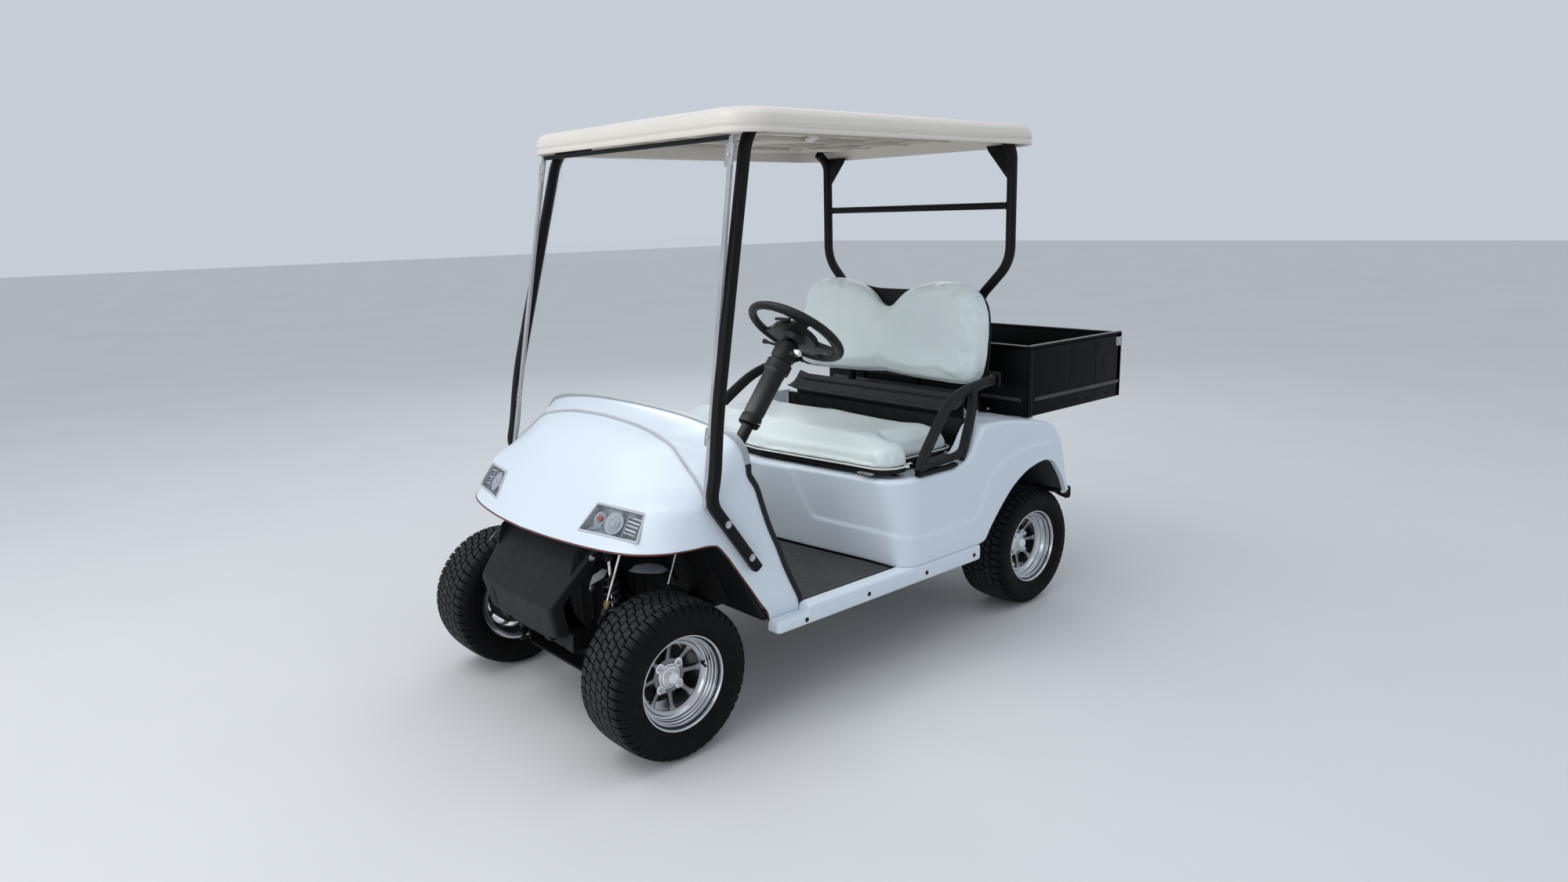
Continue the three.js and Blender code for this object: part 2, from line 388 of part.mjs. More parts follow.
put('seat_cushion', cushion, VINYL());
put('seat_board', alongZ(seatPlan(8, 772), SEAT.boardZ, SEAT.z0 - GAP), BLACK_PLASTIC());
const LEAN = -6.6;
const lean = (q) => q.translate([0, -1385, -865]).rotate([LEAN, 0, 0]).translate([0, 1385, 865]);
const lobes = [[0, 885], [430, 872], [474, 900], [488, 1040], [468, 1170], [390, 1240], [280, 1256], [160, 1240], [60, 1180], [0, 1160]];
const lobeOutline = [...lobes, ...lobes.slice(1, -1).reverse().map(([x, z]) => [-x, z])];
put('seat_back', lean(alongY(lobeOutline, 1385, 1452)), VINYL());
const backPlate = [[0, 880], [470, 880], [470, 885], [522, 885], [522, 935], [470, 935], [460, 1140], [380, 1220], [280, 1236], [120, 1214], [0, 1205]];
const plateOutline = [...backPlate, ...backPlate.slice(1, -1).reverse().map(([x, z]) => [-x, z])];
let plate = lean(alongY(plateOutline, 1452 + GAP, 1460));
plate = join(plate, box(-350, 350, 1484, 1564, 1088, 1110), box(-350, 350, 1461, 1564, 900, 922));
put('seat_back_panel', plate, BLACK_PLASTIC());
put('seat_tray', alongX([[1316, 793], [1352, 806], [1386, 846], [1382, 850], [1348, 812], [1316, 799]], -440, 440)
  .add(box(-440, 440, 1366, 1372, 764.5, 832)), GREY_PLASTIC());
const bar = (pts, w) => {
  // flat bar of width w that follows pts in (y, z)
  const L = [], R = [];
  pts.forEach(([y, z], i) => {
    const a = pts[Math.max(i - 1, 0)], b = pts[Math.min(i + 1, pts.length - 1)];
    const d = Math.hypot(b[0] - a[0], b[1] - a[1]);
    const n = [-(b[1] - a[1]) / d, (b[0] - a[0]) / d];
    L.push([y + (n[0] * w) / 2, z + (n[1] * w) / 2]); R.push([y - (n[0] * w) / 2, z - (n[1] * w) / 2]);
  });
  return alongX([...R, ...L.reverse()], -13, 13);
};
// the armrest stands on the outer edge of the ledge and leans in towards the seat back
const ARM_IN = 0.32, ARM_X = 585.5;
putSides('armrest', join(
  bar([[962, 664], [1004, 706], [1054, 749], [1113, 798], [1185, 849], [1271, 880], [1370, 893], [1450, 902]], 34),
  bar([[1184, 676], [1232, 738], [1260, 771], [1293, 814], [1315, 850], [1326, 880]], 28).intersect(alongX([[1150, 664], [1150, 1000], [1500, 1000], [1500, 776], [1330, 776], [1292, 772], [1225, 690]], -20, 20)),
  bar([[958, 667], [1005, 674], [1101, 680], [1190, 686]], 22),
  box(-13, 13, 948, 1108, 648 + GAP, 664)).transform([1, 0, 0, 0, 0, 1, 0, 0, -ARM_IN, 0, 1, 0, ARM_X + ARM_IN * 650, 0, 0, 1]), BLACK_STEEL);

// ---------- cargo box ----------
const W = BOX.half, wall = BOX.wall, gateY = TAIL_Y - 22;
const inside = box(-W + wall, W - wall, BOX.y0 + wall, gateY + 50, BOX.z0 + 12, BOX.z1 + 50);
put('cargo_box', cut(box(-W, W, BOX.y0, gateY - 1, BOX.z0, BOX.z1), inside), BLACK_STEEL());
put('tailgate', box(-W + wall + 6, W - wall - 6, gateY + 5, TAIL_Y, BOX.z0 + 6, BOX.z1 - 6), BLACK_STEEL());

// ---------- controls ----------
const axisN = V(0, Math.cos((WHEEL.lean * Math.PI) / 180), Math.sin((WHEEL.lean * Math.PI) / 180));
const onColumn = (d) => [WHEEL.x, WHEEL.y - axisN.y * d, WHEEL.z - axisN.z * d];
const ringPts = [];
for (let k = 0; k <= 8; k++) { const a = (2 * Math.PI * k) / 8; ringPts.push(new THREE.Vector2(WHEEL.r + WHEEL.rim * Math.cos(a), WHEEL.rim * Math.sin(a))); }
ringPts[8] = ringPts[0].clone();
const wheelFrame = new THREE.Matrix4().compose(V(WHEEL.x, WHEEL.y, WHEEL.z), new THREE.Quaternion().setFromUnitVectors(AY, axisN), V(1, 1, 1));
let wheel = solid(new THREE.LatheGeometry(ringPts, 28), wheelFrame);
wheel = join(wheel, rod(onColumn(38), onColumn(-6), 40, 16));
for (const a of [90, 210, 330]) {
  const m = wheelFrame.clone().multiply(new THREE.Matrix4().makeRotationY((a * Math.PI) / 180)).multiply(new THREE.Matrix4().makeTranslation(0, -8, 92));
  wheel = join(wheel, solid(new THREE.BoxGeometry(34, 9, 128), m));
}
put('steering_wheel', wheel, BLACK_PLASTIC());
let column = join(rod(onColumn(38.5), onColumn(782), 20, 14), rod(onColumn(46), onColumn(330), 32, 14), rod(onColumn(770), onColumn(778), 44, 14),
  box(WHEEL.x - 16, WHEEL.x + 16, 272 + GAP, 410, 700, 716));
put('steering_column', column, BLACK_PLASTIC());
put('pedals', join(box(150, 420, 200, 211, 560, 590), box(188, 202, 205, 330, 566, 576), box(188, 202, 318, 330, 440, 572), box(160, 230, 330, 340, 430, 490),
  box(368, 382, 205, 320, 566, 576), box(368, 382, 308, 320, 420, 572), box(350, 400, 320, 330, 400, 500)), BLACK_STEEL());
// arms that carry the cargo box from the deck and the frame
put('cargo_supports', join(...[(q) => q, mirrorX].map((m) => join(
  m(box(RAIL.x0, RAIL.x1, 1745, 2280, 700, BOX.z0 - GAP)), m(box(RAIL.x0, RAIL.x1, 1660, 1760, 722, BOX.z0 - GAP)),
  m(box(RAIL.x0, RAIL.x1, 1862, 1890, RAIL.kickTop + GAP, 710)), m(box(462, 494, 1650, 1676, 719, 730)))),
box(-494, 494, 1650, 1676, 725, BOX.z0 - GAP)), BLACK_STEEL());

export default group;
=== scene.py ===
# Electric cargo cart: the looks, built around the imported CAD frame.
# Metres, +Z up, +X the cart's left, the nose points to -Y.
import bpy
import bmesh
import json
import math
import random
import numpy as np
from mathutils import Matrix, Vector


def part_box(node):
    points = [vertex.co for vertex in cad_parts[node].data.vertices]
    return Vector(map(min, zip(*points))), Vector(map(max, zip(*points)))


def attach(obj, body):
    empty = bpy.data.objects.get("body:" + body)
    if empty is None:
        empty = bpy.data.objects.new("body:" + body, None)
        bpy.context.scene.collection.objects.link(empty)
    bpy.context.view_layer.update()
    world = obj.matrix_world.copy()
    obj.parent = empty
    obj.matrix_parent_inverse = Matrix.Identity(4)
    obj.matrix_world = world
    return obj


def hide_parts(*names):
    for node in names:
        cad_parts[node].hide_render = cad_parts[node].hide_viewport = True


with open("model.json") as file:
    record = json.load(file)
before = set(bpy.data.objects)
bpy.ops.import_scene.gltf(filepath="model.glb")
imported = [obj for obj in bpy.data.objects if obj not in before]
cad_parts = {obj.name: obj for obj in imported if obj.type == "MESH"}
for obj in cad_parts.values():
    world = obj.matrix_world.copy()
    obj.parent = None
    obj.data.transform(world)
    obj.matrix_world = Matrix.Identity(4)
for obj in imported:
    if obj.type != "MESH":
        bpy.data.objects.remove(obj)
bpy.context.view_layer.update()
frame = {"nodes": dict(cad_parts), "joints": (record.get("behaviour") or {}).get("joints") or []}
NODES = frame["nodes"]
random.seed(7)


def mid(node):
    lo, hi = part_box(node)
    return (lo + hi) / 2


FRONT_LEFT = mid("tyre_front_left")
REAR_LEFT = mid("tyre_rear_left")
AY = FRONT_LEFT.y                     # the front axle line: all places below are given from it
TYRE_R = FRONT_LEFT.z
WHEELBASE = REAR_LEFT.y - AY


def at(x, y, z):
    """A point given from the front axle line."""
    return Vector((x, y + AY, z))


# ------------------------------------------------------------------ materials
def new_material(name):
    m = bpy.data.materials.new(name)
    m.use_nodes = True
    nt = m.node_tree
    nt.nodes.clear()
    out = nt.nodes.new("ShaderNodeOutputMaterial")
    b = nt.nodes.new("ShaderNodeBsdfPrincipled")
    nt.links.new(b.outputs[0], out.inputs[0])
    return m, nt, b


def noise(nt, co, scale, detail=4.0, rough=0.55, dist=0.0):
    n = nt.nodes.new("ShaderNodeTexNoise")
    n.inputs["Scale"].default_value = scale
    n.inputs["Detail"].default_value = detail
    n.inputs["Roughness"].default_value = rough
    n.inputs["Distortion"].default_value = dist
    nt.links.new(co, n.inputs["Vector"])
    return n.outputs["Fac"]


def ramp(nt, fac, a, b, ca, cb):
    r = nt.nodes.new("ShaderNodeValToRGB")
    r.color_ramp.elements[0].position = a
    r.color_ramp.elements[1].position = b
    r.color_ramp.elements[0].color = ca
    r.color_ramp.elements[1].color = cb
    nt.links.new(fac, r.inputs[0])
    return r.outputs[0]


def remap(nt, fac, a, b, lo, hi):
    r = nt.nodes.new("ShaderNodeMapRange")
    r.clamp = True
    for k, v in (("From Min", a), ("From Max", b), ("To Min", lo), ("To Max", hi)):
        r.inputs[k].default_value = v
    nt.links.new(fac, r.inputs["Value"])
    return r.outputs[0]


def mix_rgb(nt, fac, a, b, kind="MIX"):
    m = nt.nodes.new("ShaderNodeMix")
    m.data_type = "RGBA"
    m.blend_type = kind
    for sock, v in ((m.inputs[0], fac), (m.inputs[6], a), (m.inputs[7], b)):
        if hasattr(v, "is_output") or hasattr(v, "links"):
            nt.links.new(v, sock)
        else:
            sock.default_value = v
    return m.outputs[2]


def calc(nt, op, a, b=None):
    m = nt.nodes.new("ShaderNodeMath")
    m.operation = op
    for sock, v in ((m.inputs[0], a), (m.inputs[1], b)):
        if v is None:
            continue
        if hasattr(v, "links"):
            nt.links.new(v, sock)
        else:
            sock.default_value = v
    return m.outputs[0]


def coords(nt, scale=(1, 1, 1)):
    t = nt.nodes.new("ShaderNodeTexCoord")
    if scale == (1, 1, 1):
        return t.outputs["Object"]
    mp = nt.nodes.new("ShaderNodeMapping")
    mp.inputs["Scale"].default_value = scale
    nt.links.new(t.outputs["Object"], mp.inputs["Vector"])
    return mp.outputs[0]


def add_bump(nt, bsdf, height, strength, distance, under=None):
    bp = nt.nodes.new("ShaderNodeBump")
    bp.inputs["Strength"].default_value = strength
    bp.inputs["Distance"].default_value = distance
    nt.links.new(height, bp.inputs["Height"])
    if under is not None:
        nt.links.new(under, bp.inputs["Normal"])
    if bsdf is not None:
        nt.links.new(bp.outputs[0], bsdf.inputs["Normal"])
    return bp.outputs[0]


def rgb(c, a=1.0):
    return (c[0], c[1], c[2], a)


def surface(name, base, other=None, blotch=3.0, rough=(0.4, 0.5), metal=0.0, grain=None, orange=None,
            coat=0.0, coat_rough=0.05, dust=None, low_dirt_and_shade=None, wear=None, spec=0.5, sheen=0.0, stretch=None, aniso=0.0):
    """A procedural finish: colour that varies in soft blotches, roughness that varies, grain bump, dust on top faces,
    dirt low down (on the white body paint this low band is painted shade), worn edges.
    """
    m, nt, b = new_material(name)
    co = coords(nt)
    big = noise(nt, co, blotch, 5, 0.6, 0.3)
    col = ramp(nt, big, 0.35, 0.65, rgb(base), rgb(other or base))
    midn = noise(nt, co, blotch * 7, 6, 0.65)
    ro = remap(nt, midn, 0.3, 0.7, rough[0], rough[1])
    if wear:
        g = nt.nodes.new("ShaderNodeNewGeometry")
        edge = remap(nt, g.outputs["Pointiness"], 0.515, 0.56, 0.0, 1.0)
        edge = calc(nt, "MULTIPLY", edge, remap(nt, noise(nt, co, 38, 5, 0.7), 0.42, 0.6, 0.0, 1.0))
        col = mix_rgb(nt, edge, col, rgb(wear))
    # colour mixed in towards the bottom: dirt on most finishes; on the white body paint it darkens the lower body,
    # painted shade
    if low_dirt_and_shade:
        z0, z1, c, amount = low_dirt_and_shade
        g = nt.nodes.new("ShaderNodeNewGeometry")
        sep = nt.nodes.new("ShaderNodeSeparateXYZ")
        nt.links.new(g.outputs["Position"], sep.inputs[0])
        h = remap(nt, sep.outputs["Z"], z0, z1, 1.0, 0.0)
        h = calc(nt, "MULTIPLY", h, remap(nt, noise(nt, co, 16, 7, 0.7), 0.4, 0.75, 0.15, 1.0))
        h = calc(nt, "MULTIPLY", h, amount)
        col = mix_rgb(nt, h, col, rgb(c))
        ro = calc(nt, "MAXIMUM", ro, remap(nt, h, 0, 1, 0.0, 0.8))
    if dust:
        c, amount = dust
        g = nt.nodes.new("ShaderNodeNewGeometry")
        sep = nt.nodes.new("ShaderNodeSeparateXYZ")
        nt.links.new(g.outputs["Normal"], sep.inputs[0])
        up = remap(nt, sep.outputs["Z"], 0.35, 1.0, 0.0, amount)
        up = calc(nt, "MULTIPLY", up, remap(nt, noise(nt, co, 9, 6, 0.7), 0.3, 0.7, 0.3, 1.0))
        col = mix_rgb(nt, up, col, rgb(c))
    nt.links.new(col, b.inputs["Base Color"])
    nt.links.new(ro, b.inputs["Roughness"])
    b.inputs["Metallic"].default_value = metal
    b.inputs["Specular IOR Level"].default_value = spec
    if coat:
        b.inputs["Coat Weight"].default_value = coat
        b.inputs["Coat Roughness"].default_value = coat_rough
    if sheen:
        b.inputs["Sheen Weight"].default_value = sheen
        b.inputs["Sheen Roughness"].default_value = 0.4
    n = None
    if orange:
        n = add_bump(nt, None, noise(nt, co, orange[0], 2, 0.5), orange[1], orange[2])
    if grain:
        gco = coords(nt, stretch) if stretch else co
        n = add_bump(nt, None, noise(nt, gco, grain[0], 4, 0.6), grain[1], grain[2], n)
    if n is not None:
        nt.links.new(n, b.inputs["Normal"])
    return m


# the white paint's low band darkens the lower body and rockers towards the bottom: painted shade
WHITE = surface("body_white_paint", (0.675, 0.75, 0.82), (0.705, 0.775, 0.84), 1.6, (0.30, 0.38), coat=0.12, coat_rough=0.16,
                orange=(260, 0.08, 0.0004), low_dirt_and_shade=(0.24, 0.40, (0.42, 0.43, 0.44), 0.42))
CREAM = surface("roof_cream_plastic", (0.70, 0.645, 0.57), (0.74, 0.685, 0.61), 1.3, (0.34, 0.46), coat=0.15, coat_rough=0.2,
                orange=(180, 0.16, 0.0005), grain=(900, 0.12, 0.0003), dust=((0.76, 0.73, 0.67), 0.3))
BLACK_STEEL = surface("black_powder_coat", (0.0045, 0.0045, 0.005), (0.0065, 0.0065, 0.007), 3, (0.38, 0.5), spec=0.13,
                      grain=(1400, 0.2, 0.0004), orange=(160, 0.08, 0.0004), dust=((0.014, 0.0135, 0.013), 0.25), coat=0.03, coat_rough=0.3)
BLACK_PLASTIC = surface("black_grained_plastic", (0.0055, 0.0055, 0.006), (0.008, 0.008, 0.0085), 4, (0.48, 0.6), spec=0.2,
                        grain=(1100, 0.35, 0.0006), dust=((0.035, 0.034, 0.032), 0.25))
GREY_PLASTIC = surface("dark_grey_plastic", (0.030, 0.031, 0.034), (0.040, 0.041, 0.044), 4, (0.45, 0.60), spec=0.35,
                       grain=(800, 0.3, 0.0006), low_dirt_and_shade=(0.28, 0.46, (0.06, 0.055, 0.048), 0.35), dust=((0.06, 0.058, 0.055), 0.3))
LINER = surface("fender_liner_plastic", (0.045, 0.047, 0.052), (0.058, 0.060, 0.065), 5, (0.55, 0.72), grain=(420, 0.3, 0.001), spec=0.3,
                low_dirt_and_shade=(0.35, 0.6, (0.06, 0.055, 0.048), 0.4))
CAST = surface("cast_running_gear", (0.016, 0.016, 0.017), (0.026, 0.025, 0.024), 10, (0.5, 0.75), metal=0.2, grain=(600, 0.45, 0.001), spec=0.3,
               low_dirt_and_shade=(0.10, 0.40, (0.055, 0.048, 0.040), 0.45), dust=((0.05, 0.046, 0.041), 0.4))
ZINC = surface("zinc_plated_steel", (0.50, 0.51, 0.52), (0.62, 0.62, 0.62), 30, (0.22, 0.38), metal=1.0, grain=(300, 0.2, 0.0003))
CHROME = surface("chrome_plating", (0.78, 0.79, 0.81), (0.86, 0.87, 0.88), 12, (0.04, 0.11), metal=1.0, orange=(90, 0.05, 0.0003))
SKIN_BLACK = surface("black_rubber_parts", (0.009, 0.009, 0.009), (0.014, 0.014, 0.014), 9, (0.6, 0.8), spec=0.25, grain=(500, 0.35, 0.0006))
AMBER = surface("amber_lens_plastic", (0.80, 0.22, 0.03), (0.86, 0.28, 0.05), 20, (0.12, 0.2), coat=0.6, coat_rough=0.05, grain=(420, 0.3, 0.0008))
RED = surface("red_lens_plastic", (0.50, 0.012, 0.012), (0.60, 0.03, 0.02), 20, (0.12, 0.2), coat=0.6, coat_rough=0.05, grain=(420, 0.3, 0.0008))
STRIP_PALE = surface("hood_edge_grey", (0.30, 0.325, 0.35), (0.36, 0.385, 0.41), 12, (0.45, 0.6), grain=(500, 0.3, 0.0004))
BRASS = surface("brass_fittings", (0.62, 0.42, 0.14), (0.70, 0.50, 0.20), 30, (0.25, 0.4), metal=1.0, grain=(400, 0.2, 0.0004))


def alloy_material():
    """Turned and polished alloy: a darker face and a bright lip about the wheel's own axis, soft oxide blotches, a fine
    grain bump.
    """
    m, nt, b = new_material("polished_alloy")
    co = coords(nt)
    sep = nt.nodes.new("ShaderNodeSeparateXYZ")
    nt.links.new(co, sep.inputs[0])
    r2 = calc(nt, "ADD", calc(nt, "POWER", sep.outputs["Y"], 2.0), calc(nt, "POWER", sep.outputs["Z"], 2.0))
    r = calc(nt, "SQRT", r2)
    big = noise(nt, co, 18, 5, 0.6)
    lip = remap(nt, r, 0.088, 0.112, 0.0, 1.0)
    face = ramp(nt, big, 0.35, 0.7, (0.20, 0.205, 0.215, 1), (0.27, 0.275, 0.285, 1))
    edge = ramp(nt, big, 0.35, 0.7, (0.60, 0.615, 0.635, 1), (0.68, 0.69, 0.71, 1))
    nt.links.new(mix_rgb(nt, lip, face, edge), b.inputs["Base Color"])
    nt.links.new(calc(nt, "SUBTRACT", remap(nt, noise(nt, co, 14, 2, 0.4), 0.3, 0.7, 0.34, 0.38), calc(nt, "MULTIPLY", lip, 0.14)), b.inputs["Roughness"])
    b.inputs["Metallic"].default_value = 1.0
    add_bump(nt, b, noise(nt, co, 900, 2, 0.5), 0.02, 0.0001)
    return m


ALLOY = alloy_material()


def tyre_material(name, tread):
    m, nt, b = new_material(name)
    co = coords(nt)
    sep = nt.nodes.new("ShaderNodeSeparateXYZ")
    nt.links.new(co, sep.inputs[0])
    r = calc(nt, "SQRT", calc(nt, "ADD", calc(nt, "POWER", sep.outputs["Y"], 2.0), calc(nt, "POWER", sep.outputs["Z"], 2.0)))
    big = noise(nt, co, 10, 6, 0.65)
    col = ramp(nt, big, 0.35, 0.7, (0.0042, 0.0042, 0.0045, 1), (0.0062, 0.0062, 0.0065, 1))
    if tread:   # dust that stays on the worn tops of the blocks
        h = remap(nt, r, 0.2215, 0.2285, 0.0, 0.85)
        h = calc(nt, "MULTIPLY", h, remap(nt, noise(nt, co, 30, 7, 0.7), 0.35, 0.7, 0.45, 1.0))
        col = mix_rgb(nt, h, col, (0.050, 0.053, 0.056, 1))
    side = calc(nt, "MULTIPLY", remap(nt, noise(nt, co, 22, 7, 0.7), 0.5, 0.8, 0.0, 0.3), remap(nt, r, 0.17, 0.225, 0.2, 1.0))
    col = mix_rgb(nt, side, col, (0.013, 0.0125, 0.012, 1))
    nt.links.new(col, b.inputs["Base Color"])
    nt.links.new(remap(nt, noise(nt, co, 45, 5, 0.6), 0.3, 0.7, 0.52, 0.74), b.inputs["Roughness"])
    b.inputs["Specular IOR Level"].default_value = 0.10
    fine = noise(nt, co, 650, 4, 0.6)
    n = add_bump(nt, None, fine, 0.35, 0.0006)
    rings = calc(nt, "SINE", calc(nt, "MULTIPLY", r, 2600.0))
    add_bump(nt, b, rings, 0.10, 0.0004, n)
    return m


TYRE_TREAD = tyre_material("tyre_tread_rubber", True)
TYRE_SIDE = tyre_material("tyre_side_rubber", False)


def vinyl_material(name="seat_vinyl_grain"):
    m, nt, b = new_material(name)
    co = coords(nt)
    big = noise(nt, co, 2.2, 5, 0.6, 0.4)
    col = ramp(nt, big, 0.35, 0.7, (0.63, 0.70, 0.69, 1), (0.685, 0.75, 0.735, 1))
    worn = remap(nt, noise(nt, co, 11, 7, 0.7), 0.52, 0.8, 0.0, 0.35)
    col = mix_rgb(nt, worn, col, (0.56, 0.61, 0.59, 1))
    nt.links.new(col, b.inputs["Base Color"])
    nt.links.new(remap(nt, noise(nt, co, 14, 5, 0.6), 0.3, 0.7, 0.30, 0.44), b.inputs["Roughness"])
    b.inputs["Coat Weight"].default_value = 0.12
    b.inputs["Coat Roughness"].default_value = 0.25
    b.inputs["Sheen Weight"].default_value = 0.05
    v = nt.nodes.new("ShaderNodeTexVoronoi")
    v.inputs["Scale"].default_value = 420
    nt.links.new(co, v.inputs["Vector"])
    n = add_bump(nt, None, v.outputs["Distance"], 0.35, 0.0006)
    n = add_bump(nt, None, noise(nt, co, 900, 3, 0.6), 0.2, 0.0003, n)
    add_bump(nt, b, noise(nt, co, 7.0, 4, 0.55, 0.6), 0.5, 0.006, n)
    return m


VINYL = vinyl_material()


def mat_rubber():
    """Floor mat: ribbed rubber, dusty."""
    m, nt, b = new_material("floor_mat_ribbed")
    co = coords(nt)
    sep = nt.nodes.new("ShaderNodeSeparateXYZ")
    nt.links.new(co, sep.inputs[0])
    col = ramp(nt, noise(nt, co, 4, 6, 0.65), 0.35, 0.7, (0.038, 0.039, 0.041, 1), (0.050, 0.051, 0.053, 1))
    worn = remap(nt, noise(nt, co, 17, 7, 0.7), 0.5, 0.8, 0.0, 0.5)
    col = mix_rgb(nt, worn, col, (0.085, 0.084, 0.082, 1))
    nt.links.new(col, b.inputs["Base Color"])
    nt.links.new(remap(nt, noise(nt, co, 35, 5, 0.6), 0.3, 0.7, 0.55, 0.75), b.inputs["Roughness"])
    add_bump(nt, b, noise(nt, co, 500, 4, 0.6), 0.4, 0.0006)
    return m


MAT_RUBBER = mat_rubber()


def glass_material(name, tint, rough=0.01, haze=0.05, alpha=None):
    """Thin clear sheet: seen through, with the sheen of its surface."""
    m, nt, b = new_material(name)
    co = coords(nt)
    nt.links.new(ramp(nt, noise(nt, co, 2.5, 5, 0.6), 0.3, 0.7, rgb(tint), rgb([c * 0.985 for c in tint])), b.inputs["Base Color"])
    nt.links.new(remap(nt, noise(nt, co, 6, 6, 0.7), 0.45, 0.8, rough, rough + haze), b.inputs["Roughness"])
    b.inputs["Transmission Weight"].default_value = 1.0
    b.inputs["IOR"].default_value = 1.03
    if alpha is not None:
        b.inputs["Alpha"].default_value = alpha
    return m


GLASS = glass_material("windshield_acrylic", (0.97, 0.985, 0.98), 0.01, 0.02, alpha=0.07)
LENS = glass_material("lamp_clear_lens", (0.97, 0.98, 0.99), 0.01, 0.02)


# ------------------------------------------------------------------ mesh helpers
def finish_piece(ob, body, replaces=()):
    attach(ob, body)
    if replaces:
        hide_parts(*replaces)
    return ob


def mesh_object(name, verts, faces, mats, smooth=True, angle=None, face_mats=None):
    me = bpy.data.meshes.new(name)
    me.from_pydata([tuple(v) for v in verts], [], [tuple(f) for f in faces])
    me.update()
    if not isinstance(mats, (list, tuple)):
        mats = [mats]
    for mt in mats:
        me.materials.append(mt)
    if face_mats is not None:
        me.polygons.foreach_set("material_index", face_mats)
    ob = bpy.data.objects.new(name, me)
    bpy.context.scene.collection.objects.link(ob)
    shade(ob, smooth, angle)
    return ob


def shade(ob, smooth=True, angle=None):
    """Smooth shading, kept crisp where faces meet at more than angle degrees."""
    me = ob.data
    me.polygons.foreach_set("use_smooth", [smooth] * len(me.polygons))
    if smooth and angle is not None:
        bm = bmesh.new()
        bm.from_mesh(me)
        lim = math.radians(angle)
        for e in bm.edges:
            e.smooth = not (len(e.link_faces) == 2 and e.calc_face_angle(0.0) > lim)
        bm.to_mesh(me)
        bm.free()
    me.update()


def apply_mods(ob):
    dg = bpy.context.evaluated_depsgraph_get()
    ev = ob.evaluated_get(dg)
    me = bpy.data.meshes.new_from_object(ev, preserve_all_data_layers=True, depsgraph=dg)
    old = ob.data
    ob.modifiers.clear()
    ob.data = me
    if old.users == 0:
        bpy.data.meshes.remove(old)
    return ob


def bevel(ob, width, segments=2, angle=35, weighted=True):
    m = ob.modifiers.new("bevel", "BEVEL")
    m.width = width
    m.segments = segments
    m.limit_method = "ANGLE"
    m.angle_limit = math.radians(angle)
    m.harden_normals = False
    apply_mods(ob)
    shade(ob, True, 40)
    return ob


def subdivide(ob, levels=1):
    m = ob.modifiers.new("sub", "SUBSURF")
    m.levels = levels
    m.render_levels = levels
    return apply_mods(ob)


def thicken(ob, t, offset=-1.0):
    m = ob.modifiers.new("solid", "SOLIDIFY")
    m.thickness = t
    m.offset = offset
    m.use_even_offset = False
    m.use_rim = True
    return apply_mods(ob)


def merge(name, objs, mats=None):
    """Joins several meshes of one body into one piece, keeping their materials."""
    bm = bmesh.new()
    slots, offset = [], 0
    for o in objs:
        idx = []
        for mt in o.data.materials:
            if mt not in slots:
                slots.append(mt)
            idx.append(slots.index(mt))
        me = o.data.copy()
        me.transform(o.matrix_world)
        if o.matrix_world.determinant() < 0:
            me.flip_normals()
        n0 = len(bm.faces)
        bm.from_mesh(me)
        bm.faces.ensure_lookup_table()
        for f in bm.faces[n0:]:
            f.material_index = idx[f.material_index] if idx else 0
        bpy.data.meshes.remove(me)
    me = bpy.data.meshes.new(name)
    bm.to_mesh(me)
    bm.free()
    for mt in slots:
        me.materials.append(mt)
    for o in objs:
        d = o.data
        bpy.data.objects.remove(o)
        if d.users == 0:
            bpy.data.meshes.remove(d)
    ob = bpy.data.objects.new(name, me)
    bpy.context.scene.collection.objects.link(ob)
    return ob


def mirrored(ob, name):
    """A copy on the cart's other side."""
    me = ob.data.copy()
    me.transform(Matrix.Scale(-1, 4, Vector((1, 0, 0))))
    me.flip_normals()
    me.update()
    o = bpy.data.objects.new(name, me)
    bpy.context.scene.collection.objects.link(o)
    return o


def lathe(name, rows, mats, seg=64, axis="X", closed=True, center=(0, 0, 0), angle=30):
    """rows of (distance along the axis, radius), turned all the way round."""
    verts, faces = [], []
    n = len(rows)
    for k in range(seg):
        a = 2 * math.pi * k / seg
        c, s = math.cos(a), math.sin(a)
        for (t, r) in rows:
            p = {"X": (t, r * c, r * s), "Y": (r * s, t, r * c), "Z": (r * c, r * s, t)}[axis]
            verts.append((p[0] + center[0], p[1] + center[1], p[2] + center[2]))
    for k in range(seg):
        l = (k + 1) % seg
        for i in range(n if closed else n - 1):
            j = (i + 1) % n
            faces.append((k * n + i, k * n + j, l * n + j, l * n + i))
    ob = mesh_object(name, verts, faces, mats, True, None)
    bm = bmesh.new()
    bm.from_mesh(ob.data)
    bmesh.ops.remove_doubles(bm, verts=bm.verts, dist=1e-6)
    bmesh.ops.dissolve_degenerate(bm, edges=bm.edges, dist=1e-7)
    bmesh.ops.recalc_face_normals(bm, faces=bm.faces)
    bm.to_mesh(ob.data)
    bm.free()
    shade(ob, True, angle)
    return ob


def turn_between(name, a, b, rows, mats, seg=24, angle=30):
    """A turned piece from a to b: rows of (share of the way 0..1 or beyond, radius); its ends are closed on the axis."""
    a, b = Vector(a), Vector(b)
    d = b - a
    L = d.length
    rows = [(rows[0][0], 0.0)] + list(rows) + [(rows[-1][0], 0.0)]
    ob = lathe(name, [(t * L, r) for t, r in rows], mats, seg, "Z", closed=False, angle=angle)
    q = d.to_track_quat("Z", "Y")
    ob.data.transform(Matrix.Translation(a) @ q.to_matrix().to_4x4())
    ob.data.update()
    return ob


